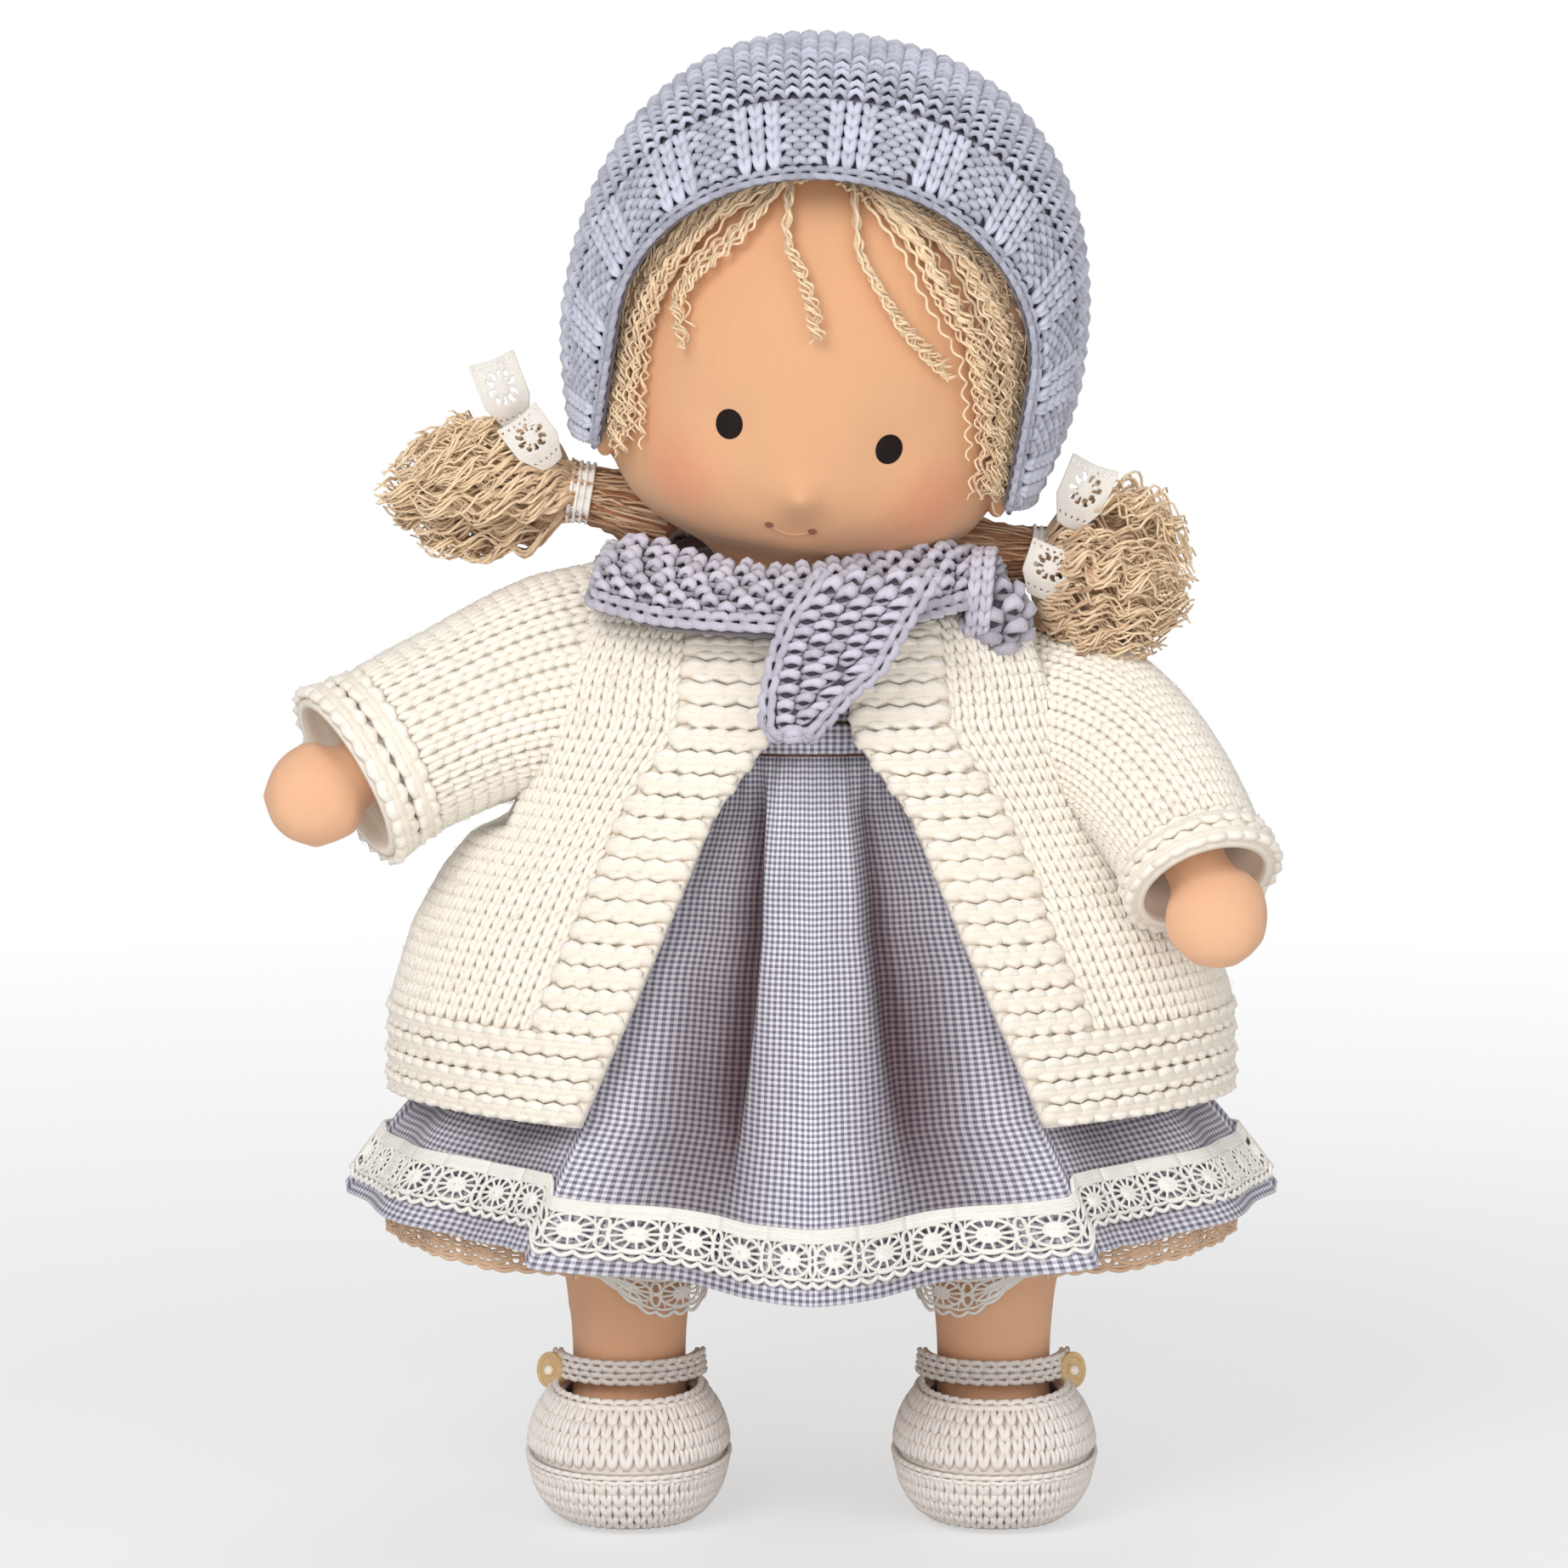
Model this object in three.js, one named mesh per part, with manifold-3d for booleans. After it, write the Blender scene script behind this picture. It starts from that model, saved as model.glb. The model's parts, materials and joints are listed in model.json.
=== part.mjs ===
// Rag doll: stuffed jersey body in a gingham dress, knitted cardigan, scarf and bonnet, and crochet shoes.
// Millimetres, +Z up. The doll faces -Y, so +X is its left side. The soles stand on Z = 0.
import * as THREE from 'three';
import { mergeVertices } from 'three/addons/utils/BufferGeometryUtils.js';
import Module from 'manifold-3d';

const wasm = await Module();
wasm.setup();

// Clearances and wall thicknesses
const SEWN_GAP = 0.4; // between two pieces that are sewn or worn against each other
const TURN_GAP = 0.7; // round a piece that turns
const SKIN_WALL = 1.5; // jersey skin
const CLOTH_WALL = 1.2; // woven cotton
const LACE_WALL = 0.8; // lace band
const KNIT_WALL = 4; // chunky cardigan knit
const SLEEVE_WALL = 2.8; // knit of the sleeves
const BONNET_WALL = 3.6; // finer bonnet knit
const HAIR_DEPTH = 3.8; // hair cap over the head

// Head, in its own frame: origin at the neck, Z along the head
const NECK_X = -6;
const NECK_Z = 186;
const HEAD_TILT = THREE.MathUtils.degToRad(9);
const HEAD_RADIUS = 43.5;
const HEAD_DEPTH_RATIO = 0.95;
const CHIN_Z = 8;
const HEAD_MID_Z = 51;
const HEAD_TOP_Z = 102;
const CHEEK_POWER = 2.1; // roundness of the head's outline
const NECK_RADIUS = 14;
const NECK_DEPTH = 12; // how far the neck reaches into the torso
const NOSE_Z = 26.5;
const NOSE_RADIUS = 4.6;
const EYE_X = 16.1;
const EYE_Z = 37.4;
const EYE_HALF_WIDTH = 2.7;
const EYE_HALF_HEIGHT = 3.1;
const EYE_HALF_DEPTH = 0.8;
const MOUTH_Z = 18;
const MOUTH_HALF_WIDTH = 4.2;
const MOUTH_DROP = 1.2;
const MOUTH_THREAD = 0.5;
const EAR_Y = -7;
const EAR_Z = 28.5;
const EAR_HALF_HEIGHT = 5.6;
const EAR_HALF_DEPTH = 3.8;
const EAR_HALF_WIDTH = 2.6;
const NECK_TIE_THREAD = 0.7;
const NECK_TIE_Z = 3.5;

// Hair and bonnet, in the head's frame
const HAIR_EDGE_Z = 13; // lower edge of the hair cap at the nape
const HAIRLINE_HALF_WIDTH = 36;
const HAIRLINE_SIDE_Z = 42; // below this the hair cap starts behind the ears
const HAIRLINE_TOP_Z = 83;
const BONNET_EDGE_Z = 25;
const BONNET_CROWN_Z = 109; // inside of the crown
const CROWN_POWER = 2.3; // roundness of the crown
const BONNET_OPENING_HALF_WIDTH = 41.5;
const BONNET_ARCH_Z = 52; // where the face opening starts to round over
const BONNET_OPENING_TOP_Z = 90;
const PIGTAIL_ROOT_X = 36.5;
const PIGTAIL_ROOT_Y = 4;
const PIGTAIL_ROOT_Z = 13;
const PIGTAIL_ROOT_RADIUS = 5;
const PIGTAIL_RISE = THREE.MathUtils.degToRad(10);
const PIGTAIL_NECK_LENGTH = 14;
const PIGTAIL_LENGTH = 46;
const PIGTAIL_RADIUS = 15.3;
const HAIR_TIE_AT = 9; // distance of the hair tie from the root
const HAIR_TIE_THREAD = 1.1;
const BOW_HALF_WIDTH = 6.6;
const BOW_HALF_HEIGHT = 4.6;
const BOW_KNOT_HALF_HEIGHT = 1.6;
const BOW_THICKNESS = 3;

// Torso: height, half width and half depth of its main sections
const SEAT_Z = 92.6;
const SEAT_HALF_WIDTH = 49;
const SEAT_HALF_DEPTH = 28;
const WAIST_Z = 138;
const WAIST_HEIGHT = 12;
const WAIST_HALF_WIDTH = 33;
const WAIST_HALF_DEPTH = 21.5;
const CHEST_Z = 160;
const CHEST_HALF_WIDTH = 34;
const CHEST_HALF_DEPTH = 21;
const SHOULDER_Z = 173;
const SHOULDER_HALF_WIDTH = 50;
const SHOULDER_HALF_DEPTH = 16.5;
const SHOULDER_SLOPE = 0.8; // width halfway from the shoulders to the neck
const TORSO_TOP_Z = 185;
const TORSO_TOP_HALF_WIDTH = 25;
const TORSO_TOP_HALF_DEPTH = 16;
// Swell of the seat: share of the way up to the waist, and shares of the seat's width and depth
const SEAT_CURVE = [
  { rise: 0, width: 0.9, depth: 0.86 },
  { rise: 0.12, width: 1, depth: 0.97 },
  { rise: 0.32, width: 0.97, depth: 1 },
  { rise: 0.63, width: 0.81, depth: 0.93 },
];

// Dress, petticoat and bloomers
const BODICE_TOP_Z = 182;
const WAISTBAND_Z = 157;
const WAISTBAND_HEIGHT = 6;
const SKIRT_HEM_FRONT_Z = 51;
const SKIRT_HEM_SIDE_Z = 66;
const SKIRT_HALF_WIDTH = 90;
const SKIRT_HALF_DEPTH = 64;
const SKIRT_UNDER_COAT_HALF_WIDTH = 73;
const SKIRT_UNDER_COAT_HALF_DEPTH = 51;
// Outline under the coat: share of the way from the waist to the hem, and shares of the width and depth there
const SKIRT_CURVE = [
  { share: 0.1, width: 0.59, depth: 0.58 },
  { share: 0.26, width: 0.77, depth: 0.74 },
  { share: 0.42, width: 0.89, depth: 0.86 },
  { share: 0.72, width: 1, depth: 1 },
];
const SKIRT_FLARE_SHARE = 0.84; // halfway out to the hem
const SKIRT_FOLDS = 13;
const SKIRT_FOLD_DEPTH = 4.2;
const SKIRT_LACE_LOW = 5; // hem strip below the lace
const SKIRT_LACE_HEIGHT = 10.5;
const PETTICOAT_HEM_Z = 64;
const PETTICOAT_ROOM = 3.4; // between the skirt's folds and the petticoat
const PETTICOAT_LACE_HEIGHT = 8.5;
const BLOOMERS_TOP_Z = 126;

// Cardigan
const COAT_HEM_Z = 86;
const COAT_HEM_HALF_WIDTH = 85;
const COAT_HEM_HALF_DEPTH = 60;
const COAT_CHEST_HALF_WIDTH = 58;
const COAT_CHEST_HALF_DEPTH = 36;
const COAT_CHEST_Z = 163;
const COAT_TOP_Z = 188;
// From the neck down to the chest: share of the drop, and shares of the chest's width and depth
const COAT_SHOULDER_CURVE = [
  { drop: 0, width: 0.52, depth: 0.61 },
  { drop: 0.12, width: 0.74, depth: 0.75 },
  { drop: 0.32, width: 0.86, depth: 0.86 },
  { drop: 0.64, width: 0.95, depth: 0.945 },
];
// From the chest down to the hem: share of the drop, and shares of the way out to the hem's width and depth
const COAT_FLARE_CURVE = [
  { drop: 0, width: 0, depth: 0 },
  { drop: 0.21, width: 0.15, depth: 0.125 },
  { drop: 0.3, width: 0.315, depth: 0.21 },
  { drop: 0.415, width: 0.59, depth: 0.375 },
  { drop: 0.56, width: 0.815, depth: 0.5625 },
  { drop: 0.75, width: 0.98, depth: 0.8125 },
  { drop: 1, width: 1, depth: 1 },
];
const COAT_FRONT_TOP_HALF_GAP = 6;
const COAT_FRONT_HEM_HALF_GAP = 49;
// Front edges: share of the drop from neck to hem, and share of the way out to the gap at the hem
const COAT_FRONT_CURVE = [
  { drop: 0.25, out: 0.05 }, { drop: 0.41, out: 0.33 }, { drop: 0.65, out: 0.58 }, { drop: 1, out: 0.95 },
];
const LENS_POWER = 1.75; // section of the worn cloth: flatter than an ellipse towards the side seams

// Arms, sleeves and their armholes
const ARMHOLE_TILT = THREE.MathUtils.degToRad(20); // the armhole faces outwards and a little up
const ARMHOLE_RIGHT_X = 51;
const ARMHOLE_RIGHT_Z = 168;
const UNDERARM_RIGHT = 27; // from the armhole's middle down to the underarm
const ARMHOLE_LEFT_X = 50;
const ARMHOLE_LEFT_Z = 162;
const UNDERARM_LEFT = 32;
const ARM_ROOT_RADIUS = 9.5;
const ARM_ROOT_RISE = 4.2; // how far the arm's root lies above the middle of the sleeve
const WRIST_RADIUS = 7.4;
// Points of the arms' bend, wrist and hand, from the armhole's middle
const ELBOW_RIGHT = new THREE.Vector3(-16, -4, -3);
const WRIST_RIGHT = new THREE.Vector3(-42, -16, -17);
const HAND_RIGHT = new THREE.Vector3(-47, -18.5, -19.5);
const ELBOW_LEFT = new THREE.Vector3(16.5, -12, -4);
const WRIST_LEFT = new THREE.Vector3(27.5, -33, -30);
const HAND_LEFT = new THREE.Vector3(29.5, -36.5, -35);
// Half heights of the sleeves at the armhole, in the middle and at the cuff, and their half depth at the cuff
const SLEEVE_RIGHT = { mouth: 22, middle: 18.5, end: 17.5, depth: 14.5 };
const SLEEVE_LEFT = { mouth: 18, middle: 16, end: 14, depth: 15 };
const SLEEVE_FLARE = 1.16; // half depth at the armhole to that at the cuff
const HAND_HALF_LENGTH = 12;
const HAND_HALF_WIDTH = 11.4;
const HAND_HALF_DEPTH = 9.2;
const SLEEVE_INSET = 14; // sleeve drawn past the armhole before it is trimmed there
const CUFF_LENGTH = 6.5;
const CUFF_ROLL = 1.2; // how far the cuff stands proud of the sleeve

// Scarf
const COLLAR_TOP_RADIUS = 30;
const COLLAR_TOP_Z = 203;
const COLLAR_EDGE_RADIUS = 43;
const COLLAR_EDGE_Z = 184;
const COLLAR_THICKNESS = 5;
const LOOP_X = 33;
const LOOP_WIDTH = 14;
const LOOP_HEIGHT = 22;
const LOOP_DEPTH = 10;
const TAIL_TOP_Z = 191;
const TAIL_LEFT_X = -2;
const TAIL_RIGHT_X = 24.6;
const TAIL_TIP_X = -5;
const TAIL_LENGTH = 32;
const TAIL_THICKNESS = 4;
const TAIL_LEAN = THREE.MathUtils.degToRad(6);

// Legs and shoes
const LEG_X = 37;
const HIP_Z = 74;
const HIP_RADIUS = 18.2;
const ANKLE_Z = 26;
const ANKLE_RADIUS = 12.4;
// Taper of the leg: share of the way down to the ankle, and share of the swell left there
const LEG_CURVE = [
  { drop: 0, out: 1 }, { drop: 0.29, out: 0.69 }, { drop: 0.58, out: 0.21 }, { drop: 0.79, out: 0.04 },
  { drop: 1, out: 0 },
];
const FOOT_HALF_WIDTH = 15.8;
const FOOT_HALF_LENGTH = 22.5;
const FOOT_HALF_HEIGHT = 9;
const FOOT_Y = -9;
const FOOT_Z = 14.5;
const SHOE_HALF_WIDTH = 20.5;
const SHOE_HALF_LENGTH = 27;
const SHOE_RIDGE_Z = 13;
const SHOE_TOP_Z = 25.5;
const SOLE_FLAT_RATIO = 0.74; // flat underside to full width
const STRAP_Z = 27.4;
const STRAP_HEIGHT = 5;
const STRAP_THICKNESS = 2;
const STRAP_TAB_HALF_WIDTH = 3; // tabs of the shoe that carry the strap's ends
const BUTTON_RADIUS = 3;
const BUTTON_THICKNESS = 2.2;
const BLOOMER_HEM_Z = 51;
const BLOOMER_TOP_Z = 68;
const BLOOMER_RADIUS = 19.2;
const BLOOMER_LACE_HEIGHT = 8.5;

// Facets round the pieces
const BODY_SIDES = 18;
const LIMB_SIDES = 12;
const HEAD_SIDES = 20;
const LINING_SIDES = 8; // insides and stuffing
const KNIT_SIDES = 32;
const SLEEVE_SIDES = 18;
const SKIRT_SIDES = SKIRT_FOLDS * 4;
const FAR = 400; // longer than the doll, for cutting tools

const COLOUR = {
  skin: 0xe6b48c, wool: 0xf1e9dc, gingham: 0x969bb4, lace: 0xebe6de, petticoat: 0xd8c8b4,
  cream: 0xf2e8d4, periwinkle: 0xa5aac3, lavender: 0xa09bb2, hair: 0xdcbc92, brown: 0x2a1a16,
  rose: 0xb87058, shoe: 0xefebe6, horn: 0xd9c09a,
};

// Solids from rings of points

function solidFromFaces(points, faces) {
  let volume = 0;
  for (const [a, b, c] of faces) {
    volume += points[a].dot(new THREE.Vector3().crossVectors(points[b], points[c]));
  }
  const facing = volume < 0 ? faces.map(([a, b, c]) => [a, c, b]) : faces;
  const geometry = new THREE.BufferGeometry().setFromPoints(points);
  geometry.setIndex(facing.flat());
  return geometry;
}

function sideFaces(count, sides, closed) {
  const faces = [];
  const bands = closed ? count : count - 1;
  for (let j = 0; j < bands; j += 1) {
    const upper = ((j + 1) % count) * sides;
    for (let i = 0; i < sides; i += 1) {
      const next = (i + 1) % sides;
      faces.push([j * sides + i, j * sides + next, upper + next]);
      faces.push([j * sides + i, upper + next, upper + i]);
    }
  }
  return faces;
}

// Closed solid through a stack of rings, with a fan over each end
function stack(rings) {
  const sides = rings[0].length;
  const points = rings.flat();
  const faces = sideFaces(rings.length, sides, false);
  const middle = (ring) => ring.reduce((sum, p) => sum.add(p), new THREE.Vector3()).divideScalar(sides);
  const bottom = points.push(middle(rings[0])) - 1;
  const top = points.push(middle(rings.at(-1))) - 1;
  const last = (rings.length - 1) * sides;
  for (let i = 0; i < sides; i += 1) {
    const next = (i + 1) % sides;
    faces.push([bottom, next, i], [top, last + i, last + next]);
  }
  return solidFromFaces(points, faces);
}

// Closed band: a sleeve of cloth whose last ring joins its first
function band(rings) {
  return solidFromFaces(rings.flat(), sideFaces(rings.length, rings[0].length, true));
}

function power(value, exponent) {
  return Math.sign(value) * Math.abs(value) ** exponent;
}

// Level ring with half widths rx and ry; roundness 2 is an ellipse
function oval({ z, rx, ry }, sides, roundness = 2, cx = 0, cy = 0) {
  return Array.from({ length: sides }, (_, i) => {
    const angle = (i / sides) * 2 * Math.PI;
    const x = cx + rx * power(Math.cos(angle), 2 / roundness);
    const y = cy + ry * power(Math.sin(angle), 2 / roundness);
    return new THREE.Vector3(x, y, z);
  });
}

function grown(section, by) {
  return { z: section.z, rx: section.rx + by, ry: section.ry + by };
}

// Section of a stack of sections at a height between two of them
function sectionAt(sections, z) {
  const index = sections.findIndex((s, i) => i > 0 && (s.z - z) * (sections[i - 1].z - z) <= 0);
  const above = sections[index];
  const below = sections[index - 1];
  const share = (z - below.z) / (above.z - below.z);
  return {
    z,
    rx: THREE.MathUtils.lerp(below.rx, above.rx, share),
    ry: THREE.MathUtils.lerp(below.ry, above.ry, share),
  };
}

// Sections between two heights, with both ends cut to those heights
function sectionsBetween(sections, low, high) {
  const inner = sections.filter((s) => s.z > low + SEWN_GAP && s.z < high - SEWN_GAP);
  return [sectionAt(sections, low), ...inner, sectionAt(sections, high)];
}


// Booleans

function toSolid(geometry) {
  const bare = geometry.clone();
  bare.deleteAttribute('normal');
  bare.deleteAttribute('uv');
  const merged = mergeVertices(bare, 1e-4);
  const kept = [];
  const index = merged.index.array;
  for (let i = 0; i < index.length; i += 3) {
    const [a, b, c] = [index[i], index[i + 1], index[i + 2]];
    if (a !== b && b !== c && a !== c) kept.push(a, b, c);
  }
  const vertProperties = new Float32Array(merged.attributes.position.array);
  return new wasm.Manifold(new wasm.Mesh({ numProp: 3, vertProperties, triVerts: new Uint32Array(kept) }));
}

function fromSolid(solid) {
  const mesh = solid.getMesh();
  const geometry = new THREE.BufferGeometry();
  geometry.setAttribute('position', new THREE.BufferAttribute(new Float32Array(mesh.vertProperties), 3));
  geometry.setIndex([...mesh.triVerts]);
  return geometry;
}

function cut(geometry, ...tools) {
  return fromSolid(tools.reduce((solid, tool) => solid.subtract(toSolid(tool)), toSolid(geometry)));
}

function joined(geometry, ...others) {
  return fromSolid(others.reduce((solid, other) => solid.add(toSolid(other)), toSolid(geometry)));
}

function common(geometry, tool) {
  return fromSolid(toSolid(geometry).intersect(toSolid(tool)));
}

// Cloth round a stack of sections, open at both ends
function shellBand(sections, inner, outer, sides) {
  const lining = sections.map((s) => oval(grown(s, inner), sides));
  const low = lining[0].map((p) => p.clone().setZ(p.z - outer));
  const high = lining.at(-1).map((p) => p.clone().setZ(p.z + outer));
  return cut(stack(sections.map((s) => oval(grown(s, outer), sides))), stack([low, ...lining, high]));
}

// Block between two corners
function block(low, high) {
  const size = new THREE.Vector3().subVectors(high, low);
  const centre = new THREE.Vector3().addVectors(low, high).multiplyScalar(0.5);
  return new THREE.BoxGeometry(size.x, size.y, size.z).translate(centre.x, centre.y, centre.z);
}

// Everything on the far side of a plane
function halfSpace(point, normal) {
  const turn = new THREE.Quaternion().setFromUnitVectors(new THREE.Vector3(0, 0, 1), normal);
  return new THREE.BoxGeometry(FAR, FAR, FAR)
    .translate(0, 0, FAR / 2)
    .applyQuaternion(turn)
    .translate(point.x, point.y, point.z);
}

// Round bar from a point along a direction
function bar(point, direction, radius, from, to, sides = LIMB_SIDES) {
  const turn = new THREE.Quaternion().setFromUnitVectors(new THREE.Vector3(0, 1, 0), direction);
  return new THREE.CylinderGeometry(radius, radius, to - from, sides)
    .translate(0, (from + to) / 2, 0)
    .applyQuaternion(turn)
    .translate(point.x, point.y, point.z);
}

function pebble(halfX, halfY, halfZ, x, y, z, across = 12, down = 8) {
  return new THREE.SphereGeometry(1, across, down)
    .rotateX(Math.PI / 2)
    .scale(halfX, halfY, halfZ)
    .translate(x, y, z);
}

// Scene graph

const doll = new THREE.Group();
const headGroup = new THREE.Group();
headGroup.position.set(NECK_X, 0, NECK_Z);
headGroup.rotation.y = HEAD_TILT;
headGroup.updateMatrix();
doll.add(headGroup);

function add(name, geometry, colour, roughness = 0.9, parent = doll) {
  const material = new THREE.MeshStandardMaterial({ color: colour, roughness, metalness: 0 });
  geometry.computeVertexNormals();
  const mesh = new THREE.Mesh(geometry, material);
  mesh.name = name;
  parent.add(mesh);
}

function sideName(side) {
  return side > 0 ? 'left' : 'right';
}

// Head profile: radius of the head at a height in the head's frame
function headRadius(z) {
  const reach = z < HEAD_MID_Z ? HEAD_MID_Z - CHIN_Z : HEAD_TOP_Z - HEAD_MID_Z;
  const share = Math.min(Math.abs(z - HEAD_MID_Z) / reach, 1);
  const round = HEAD_RADIUS * (1 - share ** CHEEK_POWER) ** (1 / CHEEK_POWER);
  return z < HEAD_MID_Z ? Math.max(round, NECK_RADIUS) : round;
}

// Heights along the head, closer together where the outline turns
function headHeights(low, steps) {
  return Array.from({ length: steps + 1 }, (_, i) => {
    const share = (1 - Math.cos((i / steps) * Math.PI)) / 2;
    return THREE.MathUtils.lerp(low, HEAD_TOP_Z, share);
  });
}

function headForm(grow, low, depthRatio, sides = HEAD_SIDES) {
  const rings = headHeights(CHIN_Z + 1, sides / 2).map((z) => {
    const share = (z - CHIN_Z) / (HEAD_TOP_Z - CHIN_Z);
    const radius = Math.max(headRadius(z) + grow, 1);
    return oval({ z: z + grow * share, rx: radius, ry: radius * depthRatio }, sides);
  });
  const neckRadius = NECK_RADIUS + grow;
  const neck = [low, CHIN_Z - grow].map((z) => oval({ z, rx: neckRadius, ry: neckRadius }, sides));
  return stack([...neck, ...rings]);
}

function faceY(z) {
  return -headRadius(z) * HEAD_DEPTH_RATIO;
}

// Front of the face at a distance x from the middle
function faceYAt(x, z) {
  const radius = headRadius(z);
  return -HEAD_DEPTH_RATIO * Math.sqrt(radius * radius - x * x);
}

function buildHead() {
  const nose = pebble(NOSE_RADIUS, NOSE_RADIUS * 0.8, NOSE_RADIUS * 0.8, 0, faceY(NOSE_Z) + 0.6, NOSE_Z);
  const outside = joined(headForm(0, -NECK_DEPTH, HEAD_DEPTH_RATIO), nose);
  const inside = headForm(-SKIN_WALL, -NECK_DEPTH - SKIN_WALL, HEAD_DEPTH_RATIO, LINING_SIDES);
  add('head_skin', cut(outside, inside), COLOUR.skin, 0.85, headGroup);
  const core = headForm(-SKIN_WALL - SEWN_GAP, -NECK_DEPTH, HEAD_DEPTH_RATIO, LINING_SIDES);
  add('head_core', core, COLOUR.wool, 1, headGroup);

  for (const side of [1, -1]) {
    const outwards = Math.atan2(EYE_X, -faceYAt(EYE_X, EYE_Z));
    const eye = pebble(EYE_HALF_WIDTH, EYE_HALF_DEPTH, EYE_HALF_HEIGHT, 0, 0, 0, 12, 6)
      .rotateZ(side * outwards)
      .translate(side * EYE_X, faceYAt(EYE_X, EYE_Z) - EYE_HALF_DEPTH - SEWN_GAP, EYE_Z);
    add(`eye_${sideName(side)}`, eye, COLOUR.brown, 0.6, headGroup);

    const radius = headRadius(EAR_Z);
    const around = Math.asin(EAR_Y / radius);
    const reach = radius + EAR_HALF_WIDTH + SEWN_GAP;
    const ear = pebble(EAR_HALF_WIDTH, EAR_HALF_DEPTH, EAR_HALF_HEIGHT, 0, 0, 0, 10, 6)
      .rotateZ(side * around)
      .translate(side * reach * Math.cos(around), reach * Math.sin(around), EAR_Z);
    const head = headForm(SEWN_GAP, -NECK_DEPTH, 1);
    add(`ear_${sideName(side)}`, cut(ear, head), COLOUR.skin, 0.85, headGroup);
  }

  const smile = [-1, -0.5, 0, 0.5, 1].map((share) => {
    const x = share * MOUTH_HALF_WIDTH;
    const z = MOUTH_Z - MOUTH_DROP * (1 - share * share);
    return new THREE.Vector3(x, faceYAt(x, z) - MOUTH_THREAD - SEWN_GAP, z);
  });
  const thread = new THREE.Shape().absarc(0, 0, MOUTH_THREAD, 0, 2 * Math.PI);
  const mouth = new THREE.ExtrudeGeometry(thread, {
    extrudePath: new THREE.CatmullRomCurve3(smile), steps: 8, curveSegments: 3,
  });
  add('mouth_stitch', mouth, COLOUR.rose, 0.9, headGroup);

  const tie = new THREE.TorusGeometry(NECK_RADIUS + NECK_TIE_THREAD + SEWN_GAP, NECK_TIE_THREAD, 4, HEAD_SIDES)
    .translate(0, 0, NECK_TIE_Z);
  add('neck_tie', tie, COLOUR.wool, 1, headGroup);
}

// Arch in the X and Z plane, cut backwards from the front
function archTool(halfWidth, springZ, topZ, lowZ, backY) {
  const shape = new THREE.Shape();
  shape.moveTo(-halfWidth, lowZ);
  shape.lineTo(halfWidth, lowZ);
  shape.lineTo(halfWidth, springZ);
  shape.absellipse(0, springZ, halfWidth, topZ - springZ, 0, Math.PI, false, 0);
  shape.closePath();
  return new THREE.ExtrudeGeometry(shape, { depth: FAR, bevelEnabled: false, curveSegments: 10 })
    .rotateX(Math.PI / 2)
    .translate(0, backY, 0);
}

function hairOuter(extra = 0) {
  return headForm(SEWN_GAP + HAIR_DEPTH + extra, -NECK_DEPTH, 1);
}

function buildHair() {
  const inside = headForm(SEWN_GAP, -NECK_DEPTH * 2, 1);
  const nape = block(new THREE.Vector3(-FAR, -FAR, -FAR), new THREE.Vector3(FAR, FAR, HAIR_EDGE_Z));
  const sides = block(new THREE.Vector3(-FAR, -FAR, -FAR), new THREE.Vector3(FAR, EAR_HALF_DEPTH, HAIRLINE_SIDE_Z));
  const window = archTool(HAIRLINE_HALF_WIDTH, HAIRLINE_SIDE_Z, HAIRLINE_TOP_Z, -NECK_DEPTH, 0);
  add('hair_cap', cut(hairOuter(), inside, nape, sides, window), COLOUR.hair, 1, headGroup);
}

// Bonnet: straight sides below the widest part, so that it lifts off, and a round crown above
function bonnetForm(grow, low) {
  const radius = HEAD_RADIUS + SEWN_GAP + HAIR_DEPTH + TURN_GAP + grow;
  const steps = 7;
  const rings = [oval({ z: low, rx: radius, ry: radius }, HEAD_SIDES)];
  for (let i = 0; i <= steps; i += 1) {
    const angle = (i / steps) * (Math.PI / 2) * 0.97;
    const rise = Math.sin(angle) ** (2 / CROWN_POWER);
    const r = radius * Math.cos(angle) ** (2 / CROWN_POWER);
    const z = BONNET_ARCH_Z + (BONNET_CROWN_Z + grow - BONNET_ARCH_Z) * rise;
    rings.push(oval({ z, rx: r, ry: r }, HEAD_SIDES));
  }
  return stack(rings);
}

function buildBonnet() {
  const opening = archTool(BONNET_OPENING_HALF_WIDTH, BONNET_ARCH_Z, BONNET_OPENING_TOP_Z, 0, 0);
  const knit = cut(bonnetForm(BONNET_WALL, BONNET_EDGE_Z), bonnetForm(0, BONNET_EDGE_Z - BONNET_WALL), opening);
  add('bonnet', knit, COLOUR.periwinkle, 1, headGroup);
}

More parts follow.
